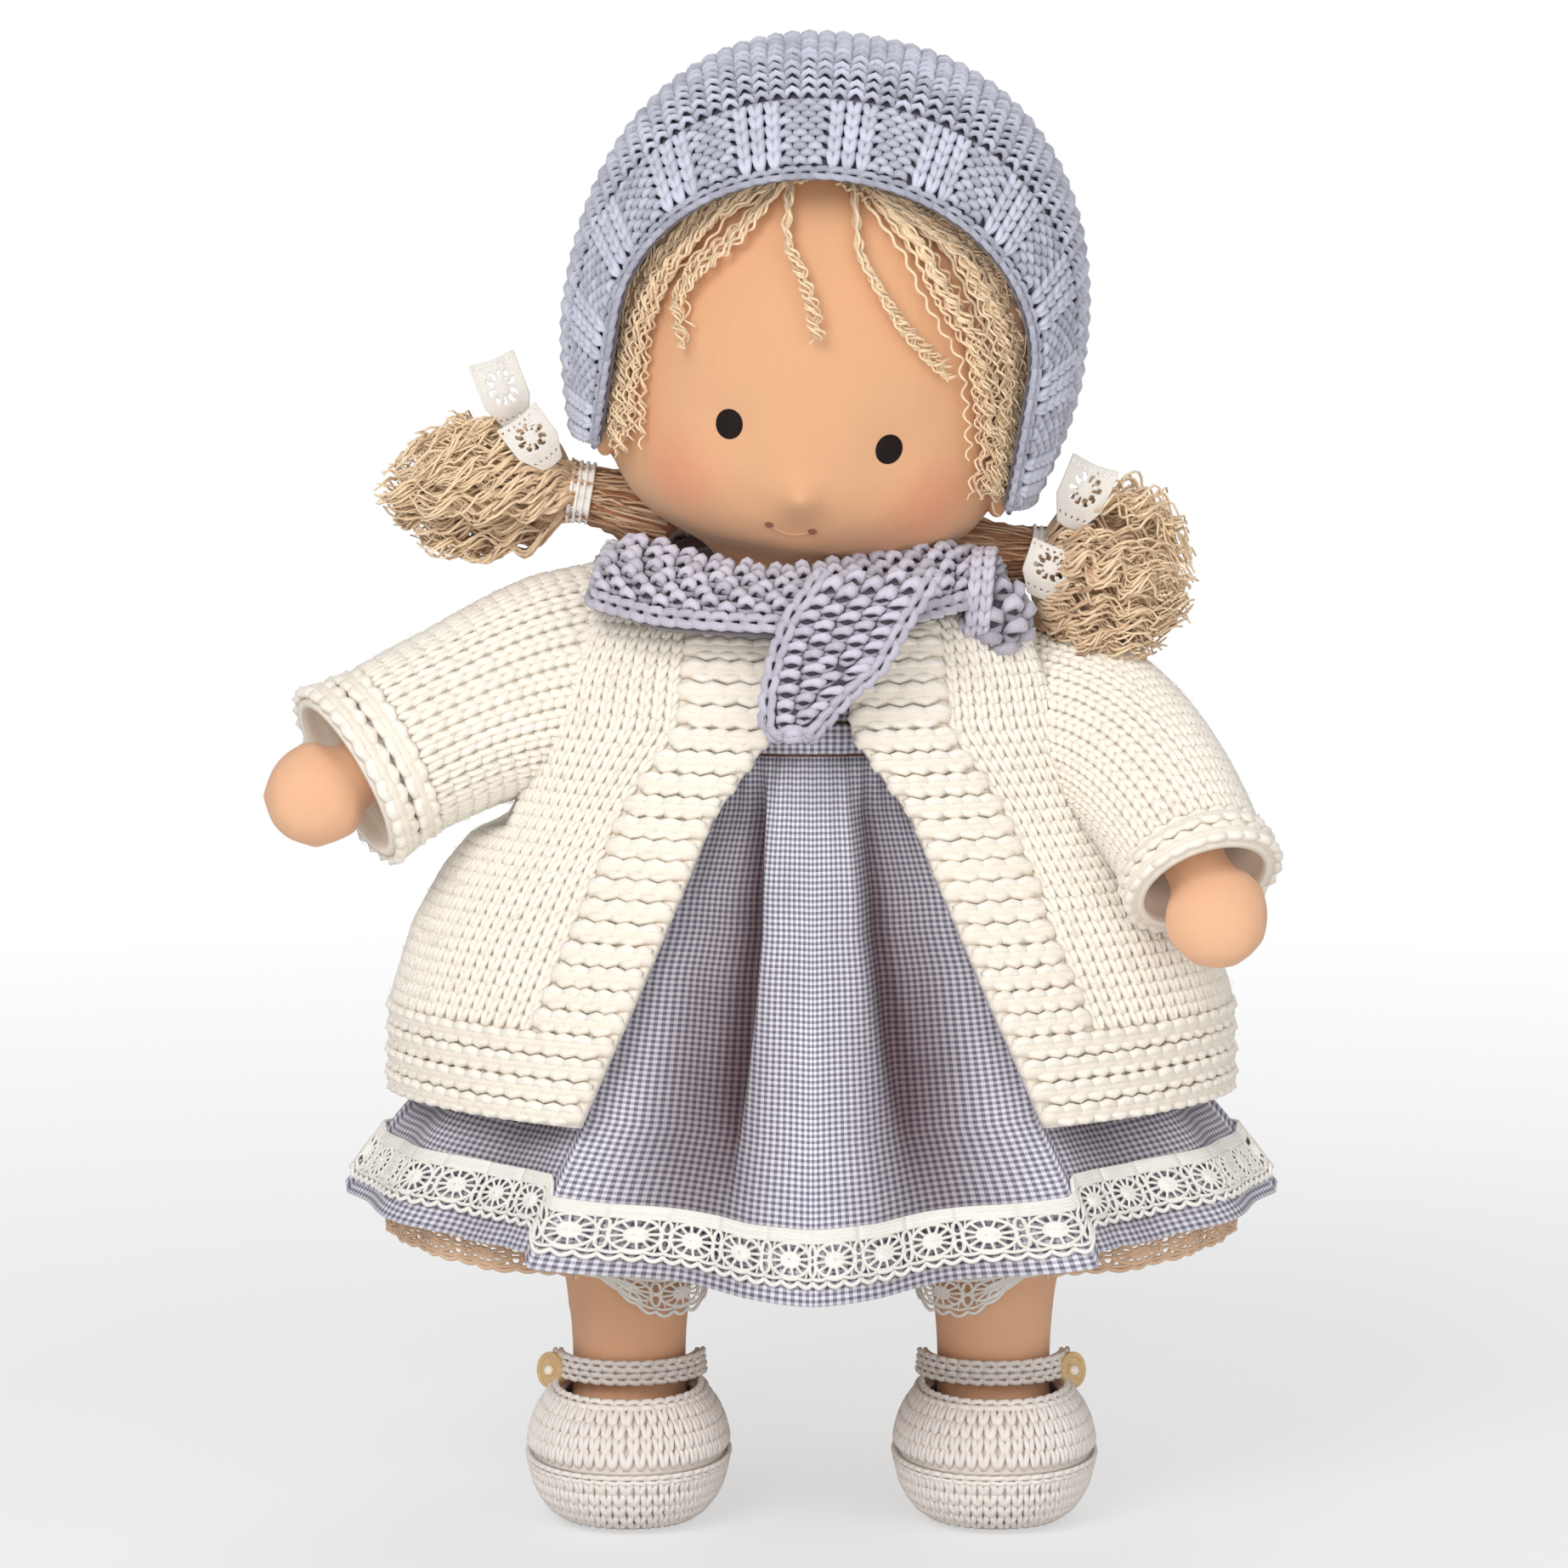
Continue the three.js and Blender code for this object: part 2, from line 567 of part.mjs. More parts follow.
// Pigtail: round root, thin neck under the tie, then a fluffy bunch
function buildPigtail(side) {
  const belly = PIGTAIL_NECK_LENGTH + (PIGTAIL_LENGTH - PIGTAIL_NECK_LENGTH) / 2;
  const bunch = PIGTAIL_LENGTH - PIGTAIL_NECK_LENGTH;
  const root = PIGTAIL_ROOT_RADIUS;
  const profile = [
    [-0.97 * root, 0.24 * root], [-0.7 * root, 0.71 * root], [0, root],
    [HAIR_TIE_AT, root * 0.9], [PIGTAIL_NECK_LENGTH, root],
    [PIGTAIL_NECK_LENGTH + bunch * 0.13, PIGTAIL_RADIUS * 0.62],
    [PIGTAIL_NECK_LENGTH + bunch * 0.3, PIGTAIL_RADIUS * 0.93],
    [belly, PIGTAIL_RADIUS],
    [PIGTAIL_NECK_LENGTH + bunch * 0.74, PIGTAIL_RADIUS * 0.84],
    [PIGTAIL_NECK_LENGTH + bunch * 0.92, PIGTAIL_RADIUS * 0.4],
    [PIGTAIL_LENGTH, PIGTAIL_RADIUS * 0.08],
  ];
  const place = (geometry) => geometry
    .rotateY(side * (Math.PI / 2 - PIGTAIL_RISE))
    .translate(side * PIGTAIL_ROOT_X, PIGTAIL_ROOT_Y, PIGTAIL_ROOT_Z);
  const hair = stack(profile.map(([z, r]) => oval({ z, rx: r, ry: r }, LIMB_SIDES)));
  add(`pigtail_${sideName(side)}`, place(hair), COLOUR.hair, 1, headGroup);

  const ring = root * 0.9 + HAIR_TIE_THREAD + SEWN_GAP;
  const tie = new THREE.TorusGeometry(ring, HAIR_TIE_THREAD, 6, LIMB_SIDES).translate(0, 0, HAIR_TIE_AT);
  add(`hair_tie_${sideName(side)}`, place(tie), COLOUR.lace, 1, headGroup);

  const shape = new THREE.Shape();
  shape.moveTo(-BOW_HALF_WIDTH, -BOW_HALF_HEIGHT);
  shape.quadraticCurveTo(-BOW_HALF_WIDTH / 2, -BOW_HALF_HEIGHT, 0, -BOW_KNOT_HALF_HEIGHT);
  shape.quadraticCurveTo(BOW_HALF_WIDTH / 2, -BOW_HALF_HEIGHT, BOW_HALF_WIDTH, -BOW_HALF_HEIGHT);
  shape.lineTo(BOW_HALF_WIDTH, BOW_HALF_HEIGHT);
  shape.quadraticCurveTo(BOW_HALF_WIDTH / 2, BOW_HALF_HEIGHT, 0, BOW_KNOT_HALF_HEIGHT);
  shape.quadraticCurveTo(-BOW_HALF_WIDTH / 2, BOW_HALF_HEIGHT, -BOW_HALF_WIDTH, BOW_HALF_HEIGHT);
  shape.closePath();
  const bow = new THREE.ExtrudeGeometry(shape, { depth: BOW_THICKNESS, bevelEnabled: false, curveSegments: 4 })
    .rotateX(Math.PI / 2)
    .translate(0, BOW_THICKNESS / 2, 0);
  const over = PIGTAIL_RADIUS + BOW_HALF_HEIGHT + SEWN_GAP;
  const along = belly - bunch * 0.14;
  bow.translate(
    side * (PIGTAIL_ROOT_X + along * Math.cos(PIGTAIL_RISE)),
    PIGTAIL_ROOT_Y,
    PIGTAIL_ROOT_Z + along * Math.sin(PIGTAIL_RISE) + over,
  );
  add(`lace_bow_${sideName(side)}`, bow, COLOUR.lace, 0.9, headGroup);
}

// Torso

const torsoSections = [
  ...SEAT_CURVE.map(({ rise, width, depth }) => ({
    z: THREE.MathUtils.lerp(SEAT_Z, WAIST_Z, rise), rx: SEAT_HALF_WIDTH * width, ry: SEAT_HALF_DEPTH * depth,
  })),
  { z: WAIST_Z, rx: WAIST_HALF_WIDTH, ry: WAIST_HALF_DEPTH },
  { z: WAIST_Z + WAIST_HEIGHT, rx: WAIST_HALF_WIDTH, ry: WAIST_HALF_DEPTH },
  { z: CHEST_Z, rx: CHEST_HALF_WIDTH, ry: CHEST_HALF_DEPTH },
  { z: SHOULDER_Z, rx: SHOULDER_HALF_WIDTH, ry: SHOULDER_HALF_DEPTH },
  {
    z: (SHOULDER_Z + TORSO_TOP_Z) / 2, rx: SHOULDER_HALF_WIDTH * SHOULDER_SLOPE, ry: SHOULDER_HALF_DEPTH,
  },
  { z: TORSO_TOP_Z, rx: TORSO_TOP_HALF_WIDTH, ry: TORSO_TOP_HALF_DEPTH },
];

// Armholes: centre, depth to the underarm and outward normal on each side
const armholes = {
  right: { side: -1, centre: new THREE.Vector3(-ARMHOLE_RIGHT_X, 0, ARMHOLE_RIGHT_Z), underarm: UNDERARM_RIGHT },
  left: { side: 1, centre: new THREE.Vector3(ARMHOLE_LEFT_X, 0, ARMHOLE_LEFT_Z), underarm: UNDERARM_LEFT },
};
for (const armhole of Object.values(armholes)) {
  armhole.normal = new THREE.Vector3(armhole.side * Math.cos(ARMHOLE_TILT), 0, Math.sin(ARMHOLE_TILT));
}

function alongNormal(armhole, distance) {
  return armhole.centre.clone().addScaledVector(armhole.normal, distance);
}

function neckTool(grow) {
  return headForm(grow, -NECK_DEPTH - grow, 1).applyMatrix4(headGroup.matrix);
}

function torsoForm(grow, sides = BODY_SIDES) {
  const rings = torsoSections.map((s, i) => {
    const end = i === 0 ? -grow : i === torsoSections.length - 1 ? grow : 0;
    const section = grown(s, grow);
    return oval({ ...section, z: s.z + end }, sides);
  });
  const shoulders = Object.values(armholes).map((armhole) => (
    halfSpace(alongNormal(armhole, Math.min(grow, 0) - SEWN_GAP), armhole.normal)
  ));
  return cut(stack(rings), ...shoulders);
}

function buildTorso() {
  const neck = neckTool(SEWN_GAP);
  add('torso_skin', cut(torsoForm(0), torsoForm(-SKIN_WALL, LINING_SIDES), neck), COLOUR.skin, 0.85);
  add('torso_stuffing', cut(torsoForm(-SKIN_WALL - SEWN_GAP, LINING_SIDES), neck), COLOUR.wool, 1);
}

// Dress

const bodiceOuter = SEWN_GAP + CLOTH_WALL;
const waistbandInner = bodiceOuter + SEWN_GAP * 1.5;
const waistbandOuter = waistbandInner + CLOTH_WALL;

function buildBodice() {
  const sections = sectionsBetween(torsoSections, WAISTBAND_Z + SEWN_GAP, BODICE_TOP_Z);
  const bodice = shellBand(sections, SEWN_GAP, bodiceOuter, BODY_SIDES);
  const armholesOpen = Object.values(armholes).map((armhole) => (
    halfSpace(alongNormal(armhole, -CLOTH_WALL), armhole.normal)
  ));
  add('dress_bodice', cut(bodice, ...armholesOpen, neckTool(TURN_GAP)), COLOUR.gingham);
  const girdle = sectionsBetween(torsoSections, WAISTBAND_Z, WAISTBAND_Z + WAISTBAND_HEIGHT);
  add('dress_waistband', shellBand(girdle, waistbandInner, waistbandOuter, BODY_SIDES), COLOUR.gingham);
}

// Skirt outline from the waist, share 0, to the hem, share 1
const skirtTop = sectionAt(torsoSections, WAISTBAND_Z);
const skirtStops = [
  { share: 0, rx: skirtTop.rx + waistbandOuter, ry: skirtTop.ry + waistbandOuter },
  ...SKIRT_CURVE.map(({ share, width, depth }) => ({
    share, rx: SKIRT_UNDER_COAT_HALF_WIDTH * width, ry: SKIRT_UNDER_COAT_HALF_DEPTH * depth,
  })),
  {
    share: SKIRT_FLARE_SHARE,
    rx: (SKIRT_UNDER_COAT_HALF_WIDTH + SKIRT_HALF_WIDTH) / 2,
    ry: (SKIRT_UNDER_COAT_HALF_DEPTH + SKIRT_HALF_DEPTH) / 2,
  },
  { share: 1, rx: SKIRT_HALF_WIDTH, ry: SKIRT_HALF_DEPTH },
];

function skirtStopAt(share) {
  const index = Math.max(1, skirtStops.findIndex((s) => s.share >= share));
  const [low, high] = [skirtStops[index - 1], skirtStops[index]];
  const t = (share - low.share) / (high.share - low.share);
  return { rx: THREE.MathUtils.lerp(low.rx, high.rx, t), ry: THREE.MathUtils.lerp(low.ry, high.ry, t) };
}

function foldDepth(share) {
  return SKIRT_FOLD_DEPTH * (0.3 * share + 0.7 * share ** 5);
}

function skirtHemZ(angle) {
  return THREE.MathUtils.lerp(SKIRT_HEM_FRONT_Z, SKIRT_HEM_SIDE_Z, Math.abs(Math.cos(angle)) ** 3);
}

const skirtTopZ = WAISTBAND_Z - SEWN_GAP;

// Section of the cloth: round at the waist and flatter lower down
function clothRoundness(share) {
  return THREE.MathUtils.lerp(2, LENS_POWER, Math.min(1, share * 3));
}

function clothPoint(angle, share, z, grow) {
  const stop = skirtStopAt(share);
  const roundness = clothRoundness(share);
  const x = (stop.rx + grow) * power(Math.cos(angle), 2 / roundness);
  const y = (stop.ry + grow) * power(Math.sin(angle), 2 / roundness);
  return new THREE.Vector3(x, y, z);
}

// Ring of the gathered skirt at a share of the way to the hem
function skirtRing(share, grow) {
  return Array.from({ length: SKIRT_SIDES }, (_, i) => {
    const angle = (i / SKIRT_SIDES) * 2 * Math.PI;
    const fold = foldDepth(share) * Math.cos(SKIRT_FOLDS * angle + 0.6 * Math.sin(2 * angle));
    const z = THREE.MathUtils.lerp(skirtTopZ, skirtHemZ(angle), share);
    return clothPoint(angle, share, z, fold + grow);
  });
}

function buildSkirt() {
  const shares = skirtStops.map((s) => s.share);
  const outside = shares.map((share) => skirtRing(share, 0));
  const inside = shares.map((share) => skirtRing(share, -CLOTH_WALL)).reverse();
  add('dress_skirt', band([...outside, ...inside]), COLOUR.gingham);

  const drop = skirtTopZ - (SKIRT_HEM_FRONT_Z + SKIRT_HEM_SIDE_Z) / 2;
  const low = 1 - SKIRT_LACE_LOW / drop;
  const high = low - SKIRT_LACE_HEIGHT / drop;
  const laceShares = [high, ...shares.filter((s) => s > high && s < low), low];
  const laceGap = SEWN_GAP * 2.5;
  const laceOut = laceShares.map((share) => skirtRing(share, laceGap + LACE_WALL));
  const laceIn = laceShares.map((share) => skirtRing(share, laceGap)).reverse();
  add('skirt_lace', band([...laceOut, ...laceIn]), COLOUR.lace);
}

// Petticoat: follows the skirt inside its folds, with its lace showing below the skirt at the sides
function petticoatRing(z, grow) {
  return Array.from({ length: KNIT_SIDES }, (_, i) => {
    const angle = (i / KNIT_SIDES) * 2 * Math.PI;
    const share = Math.min(1, (skirtTopZ - z) / (skirtTopZ - skirtHemZ(angle)));
    const room = (foldDepth(share) + PETTICOAT_ROOM) * Math.min(1, share * 4);
    return clothPoint(angle, share, z, grow - CLOTH_WALL - SEWN_GAP - room);
  });
}

function buildPetticoat() {
  const levels = [0, 0.1, 0.26, 0.42, 0.6, 0.8, 1].map((share) => (
    THREE.MathUtils.lerp(skirtTopZ, PETTICOAT_HEM_Z, share)
  ));
  const outside = levels.map((z) => petticoatRing(z, 0));
  const inside = levels.map((z) => petticoatRing(z, -CLOTH_WALL)).reverse();
  add('petticoat', band([...outside, ...inside]), COLOUR.petticoat);

  const top = PETTICOAT_HEM_Z - SEWN_GAP;
  const bottom = PETTICOAT_HEM_Z - PETTICOAT_LACE_HEIGHT;
  const lace = band([
    petticoatRing(top, 0), petticoatRing(bottom, 0),
    petticoatRing(bottom, -LACE_WALL), petticoatRing(top, -LACE_WALL),
  ]);
  add('petticoat_lace', lace, COLOUR.petticoat);
}

function buildBloomersSeat() {
  const sections = sectionsBetween(torsoSections, SEAT_Z, BLOOMERS_TOP_Z);
  add('bloomers_seat', shellBand(sections, SEWN_GAP, SEWN_GAP + CLOTH_WALL, BODY_SIDES), COLOUR.lace);
}

// Cardigan

const coatSections = [
  ...COAT_SHOULDER_CURVE.map(({ drop, width, depth }) => ({
    z: THREE.MathUtils.lerp(COAT_TOP_Z, COAT_CHEST_Z, drop),
    rx: COAT_CHEST_HALF_WIDTH * width,
    ry: COAT_CHEST_HALF_DEPTH * depth,
  })),
  ...COAT_FLARE_CURVE.map(({ drop, width, depth }) => ({
    z: THREE.MathUtils.lerp(COAT_CHEST_Z, COAT_HEM_Z, drop),
    rx: THREE.MathUtils.lerp(COAT_CHEST_HALF_WIDTH, COAT_HEM_HALF_WIDTH, width),
    ry: THREE.MathUtils.lerp(COAT_CHEST_HALF_DEPTH, COAT_HEM_HALF_DEPTH, depth),
  })),
];

function coatForm(grow) {
  return stack(coatSections.map((s) => oval(grown(s, grow), KNIT_SIDES, LENS_POWER)));
}

// What lies outside an armhole's plane, above the underarm
function armholeTool(armhole, inset) {
  const underarm = armhole.centre.z - armhole.underarm;
  const above = block(new THREE.Vector3(-FAR, -FAR, underarm), new THREE.Vector3(FAR, FAR, FAR));
  return common(halfSpace(alongNormal(armhole, -inset), armhole.normal), above);
}

function buildCardigan() {
  const hollow = stack([
    ...coatSections.map((s, i) => {
      const end = i === 0 ? KNIT_WALL : i === coatSections.length - 1 ? -KNIT_WALL : 0;
      return oval({ ...grown(s, -KNIT_WALL), z: s.z + end }, KNIT_SIDES, LENS_POWER);
    }),
  ]);
  const edge = COAT_FRONT_CURVE.map(({ drop, out }) => [
    THREE.MathUtils.lerp(COAT_FRONT_TOP_HALF_GAP, COAT_FRONT_HEM_HALF_GAP, out),
    THREE.MathUtils.lerp(COAT_TOP_Z, COAT_HEM_Z, drop),
  ]);
  const outline = [
    [COAT_FRONT_TOP_HALF_GAP, COAT_TOP_Z + KNIT_WALL], ...edge, [COAT_FRONT_HEM_HALF_GAP, COAT_HEM_Z - KNIT_WALL],
  ];
  const shape = new THREE.Shape();
  outline.forEach(([x, z], i) => (i ? shape.lineTo(x, z) : shape.moveTo(x, z)));
  [...outline].reverse().forEach(([x, z]) => shape.lineTo(-x, z));
  shape.closePath();
  const opening = new THREE.ExtrudeGeometry(shape, { depth: FAR, bevelEnabled: false }).rotateX(Math.PI / 2);
  const flats = Object.values(armholes).map((armhole) => armholeTool(armhole, SEWN_GAP));
  const knit = cut(coatForm(0), hollow, opening, ...flats);

  const seam = SEWN_GAP / 2;
  const backHalf = block(new THREE.Vector3(-FAR, seam, -FAR), new THREE.Vector3(FAR, FAR, FAR));
  add('cardigan_back', common(knit, backHalf), COLOUR.cream, 1);
  for (const side of [1, -1]) {
    const low = new THREE.Vector3(side > 0 ? 0 : -FAR, -FAR, -FAR);
    const high = new THREE.Vector3(side > 0 ? FAR : 0, -seam, FAR);
    add(`cardigan_${sideName(side)}_front`, common(knit, block(low, high)), COLOUR.cream, 1);
  }
}

// Arms: centre line from the armhole to the wrist, then the hand
const armRoutes = {
  right: { bend: ELBOW_RIGHT, wrist: WRIST_RIGHT, hand: HAND_RIGHT, sleeve: SLEEVE_RIGHT },
  left: { bend: ELBOW_LEFT, wrist: WRIST_LEFT, hand: HAND_LEFT, sleeve: SLEEVE_LEFT },
};

function armFrames(name, rise = 0, steps = 5) {
  const { bend, wrist } = armRoutes[name];
  const { centre, normal, side } = armholes[name];
  const upPlane = new THREE.Vector3(-side * normal.z, 0, side * normal.x);
  const route = new THREE.QuadraticBezierCurve3(
    centre.clone().addScaledVector(upPlane, rise),
    centre.clone().add(bend),
    centre.clone().add(wrist),
  );
  return Array.from({ length: steps + 1 }, (_, i) => {
    const share = i / steps;
    const tangent = route.getTangent(share);
    const across = new THREE.Vector3(0, 1, 0).addScaledVector(tangent, -tangent.y).normalize();
    const upwards = new THREE.Vector3().crossVectors(tangent, across);
    return { share, centre: route.getPoint(share), tangent, across, upwards };
  });
}

function tubeRing(frame, halfHeight, halfDepth, sides = LIMB_SIDES, along = 0) {
  return Array.from({ length: sides }, (_, i) => {
    const angle = (i / sides) * 2 * Math.PI;
    return frame.centre.clone()
      .addScaledVector(frame.tangent, along)
      .addScaledVector(frame.upwards, halfHeight * Math.cos(angle))
      .addScaledVector(frame.across, halfDepth * Math.sin(angle));
  });
}

function armForm(name, grow, sides = LIMB_SIDES) {
  const frames = armFrames(name, ARM_ROOT_RISE);
  const ring = (frame, along = 0) => {
    const radius = THREE.MathUtils.lerp(ARM_ROOT_RADIUS, WRIST_RADIUS, frame.share) + grow;
    return tubeRing(frame, radius, radius, sides, along);
  };
  const tube = stack([ring(frames[0], -ARM_ROOT_RADIUS), ...frames.map((f) => ring(f))]);
  const wrist = frames.at(-1);
  const hand = new THREE.SphereGeometry(1, sides, 8)
    .scale(HAND_HALF_WIDTH + grow, HAND_HALF_LENGTH + grow, HAND_HALF_DEPTH + grow)
    .applyMatrix4(new THREE.Matrix4().makeBasis(wrist.upwards, wrist.tangent, wrist.across))
    .translate(...armholes[name].centre.clone().add(armRoutes[name].hand));
  return joined(tube, hand);
}

// Sleeve ring: wide at the armhole, narrow above the cuff
function sleeveRing(name, frame, grow, along = 0) {
  const { mouth, middle, end, depth } = armRoutes[name].sleeve;
  const height = frame.share < 0.5
    ? THREE.MathUtils.lerp(mouth, middle, frame.share * 2)
    : THREE.MathUtils.lerp(middle, end, frame.share * 2 - 1);
  const deep = THREE.MathUtils.lerp(depth * SLEEVE_FLARE, depth, frame.share);
  return tubeRing(frame, height + grow, deep + grow, SLEEVE_SIDES, along);
}

function buildArm(name) {
  const armhole = armholes[name];
  const inner = halfSpace(armhole.centre, armhole.normal.clone().negate());
  const skin = cut(armForm(name, 0), armForm(name, -SKIN_WALL, LINING_SIDES), inner);
  add(`arm_skin_${name}`, skin, COLOUR.skin, 0.85);
  const stuffing = armForm(name, -SKIN_WALL - SEWN_GAP, LINING_SIDES);
  add(`arm_stuffing_${name}`, cut(stuffing, inner), COLOUR.wool, 1);

  const frames = armFrames(name);
  const last = frames.at(-1);
  const cuffBack = -CUFF_LENGTH;
  const runs = frames.slice(0, -1);
  const start = { ...frames[0], share: 0 };
  const sleeve = band([
    sleeveRing(name, start, 0, -SLEEVE_INSET),
    ...runs.map((f) => sleeveRing(name, f, 0)),
    sleeveRing(name, last, 0, cuffBack - SEWN_GAP),
    sleeveRing(name, last, -SLEEVE_WALL, cuffBack - SEWN_GAP),
    ...runs.map((f) => sleeveRing(name, f, -SLEEVE_WALL)).reverse(),
    sleeveRing(name, start, -SLEEVE_WALL, -SLEEVE_INSET),
  ]);
  add(`sleeve_${name}`, cut(sleeve, inner), COLOUR.cream, 1);

  const cuff = band([
    sleeveRing(name, last, 0, cuffBack),
    sleeveRing(name, last, CUFF_ROLL, cuffBack * 0.6),
    sleeveRing(name, last, CUFF_ROLL, cuffBack * 0.25),
    sleeveRing(name, last, -CUFF_ROLL, 0),
    sleeveRing(name, last, -SLEEVE_WALL, 0),
    sleeveRing(name, last, -SLEEVE_WALL, cuffBack),
  ]);
  add(`cuff_${name}`, cuff, COLOUR.cream, 1);
}

// Scarf

// Room for the head to turn: the head and hair, and the pigtails' roots beside them
function headRoom() {
  const head = hairOuter(TURN_GAP);
  const floor = PIGTAIL_ROOT_Z - PIGTAIL_ROOT_RADIUS - TURN_GAP;
  const beside = PIGTAIL_ROOT_X / 2;
  const rooms = [1, -1].map((side) => block(
    new THREE.Vector3(side > 0 ? beside : -FAR, -FAR, floor),
    new THREE.Vector3(side > 0 ? FAR : -beside, FAR, floor + PIGTAIL_LENGTH),
  ));
  return joined(head, ...rooms).applyMatrix4(headGroup.matrix);
}

function loopForm(grow) {
  const shape = new THREE.Shape().absellipse(0, 0, LOOP_WIDTH / 2 + grow, LOOP_DEPTH / 2 + grow, 0, 2 * Math.PI);
  const height = LOOP_HEIGHT + 2 * grow;
  const outwards = COLLAR_EDGE_RADIUS - LOOP_DEPTH * 0.3;
  const y = -Math.sqrt(outwards ** 2 - (LOOP_X - NECK_X) ** 2 * 0.9);
  return new THREE.ExtrudeGeometry(shape, { depth: height, bevelEnabled: false, curveSegments: 6 })
    .translate(LOOP_X, y, COLLAR_EDGE_Z - LOOP_HEIGHT / 4 - grow);
}

function buildScarf() {
  const room = headRoom();
  const coat = coatForm(SEWN_GAP);
  const flats = Object.values(armholes).map((armhole) => halfSpace(alongNormal(armhole, -TURN_GAP), armhole.normal));
  const profile = [
    [COLLAR_TOP_RADIUS - COLLAR_THICKNESS, COLLAR_TOP_Z - COLLAR_THICKNESS / 2],
    [COLLAR_TOP_RADIUS, COLLAR_TOP_Z],
    [(COLLAR_TOP_RADIUS + COLLAR_EDGE_RADIUS) / 2 + 2, (COLLAR_TOP_Z + COLLAR_EDGE_Z) / 2 + 2],
    [COLLAR_EDGE_RADIUS, COLLAR_EDGE_Z],
    [COLLAR_EDGE_RADIUS - COLLAR_THICKNESS, COLLAR_EDGE_Z - COLLAR_THICKNESS / 2],
  ];
  const ring = band(profile.map(([r, z]) => oval({ z, rx: r, ry: r }, BODY_SIDES, 2, NECK_X)));
  add('scarf_collar', cut(ring, room, coat, ...flats, loopForm(SEWN_GAP)), COLOUR.lavender, 1);
  add('scarf_loop', cut(loopForm(0), room, coat, ...flats), COLOUR.lavender, 1);

  const half = (TAIL_RIGHT_X - TAIL_LEFT_X) / 2;
  const tail = new THREE.Shape();
  tail.moveTo(TAIL_LEFT_X, 0);
  tail.quadraticCurveTo(TAIL_LEFT_X - half * 0.7, -TAIL_LENGTH * 0.5, TAIL_TIP_X - half * 0.34, -TAIL_LENGTH * 0.94);
  tail.lineTo(TAIL_TIP_X, -TAIL_LENGTH);
  tail.quadraticCurveTo(TAIL_LEFT_X + half * 0.9, -TAIL_LENGTH * 0.8, TAIL_RIGHT_X - half * 0.4, -TAIL_LENGTH * 0.42);
  tail.lineTo(TAIL_RIGHT_X, 0);
  tail.closePath();
  const leaf = new THREE.ExtrudeGeometry(tail, { depth: TAIL_THICKNESS, bevelEnabled: false, curveSegments: 6 })
    .rotateX(Math.PI / 2)
    .rotateX(TAIL_LEAN)
    .translate(0, -COLLAR_EDGE_RADIUS - SEWN_GAP, TAIL_TOP_Z);
  add('scarf_tail', leaf, COLOUR.lavender, 1);
}

// Legs and shoes

const legStops = [
  ...LEG_CURVE.map(({ drop, out }) => ({
    z: THREE.MathUtils.lerp(HIP_Z, ANKLE_Z, drop), r: THREE.MathUtils.lerp(ANKLE_RADIUS, HIP_RADIUS, out),
  })),
  { z: FOOT_Z, r: ANKLE_RADIUS },
];

function legForm(side, grow, sides = LIMB_SIDES, topZ = 0) {
  const cap = [0.16, 0.42, 0.71, 0.92].map((share) => ({
    z: HIP_Z + (HIP_RADIUS + grow) * Math.sqrt(1 - share * share),
    r: share * HIP_RADIUS,
  }));
  const rings = [...cap, ...legStops].map(({ z, r }) => (
    oval({ z, rx: r + grow, ry: r + grow }, sides, 2, side * LEG_X)
  ));
  const leg = stack(rings);
  const foot = pebble(
    FOOT_HALF_WIDTH + grow, FOOT_HALF_LENGTH + grow, FOOT_HALF_HEIGHT + grow,
    side * LEG_X, FOOT_Y, FOOT_Z, sides, 8,
  );
  if (!topZ) return joined(leg, foot);
  const mouth = bar(new THREE.Vector3(side * LEG_X, 0, HIP_Z), new THREE.Vector3(0, 0, 1), 3, 0, topZ - HIP_Z, 10);
  return joined(leg, foot, mouth);
}

function shoeRings(side, levels) {
  return levels.map(([z, share]) => oval(
    { z, rx: SHOE_HALF_WIDTH * share, ry: SHOE_HALF_LENGTH * share },
    BODY_SIDES, 2.2, side * LEG_X, FOOT_Y,
  ));
}

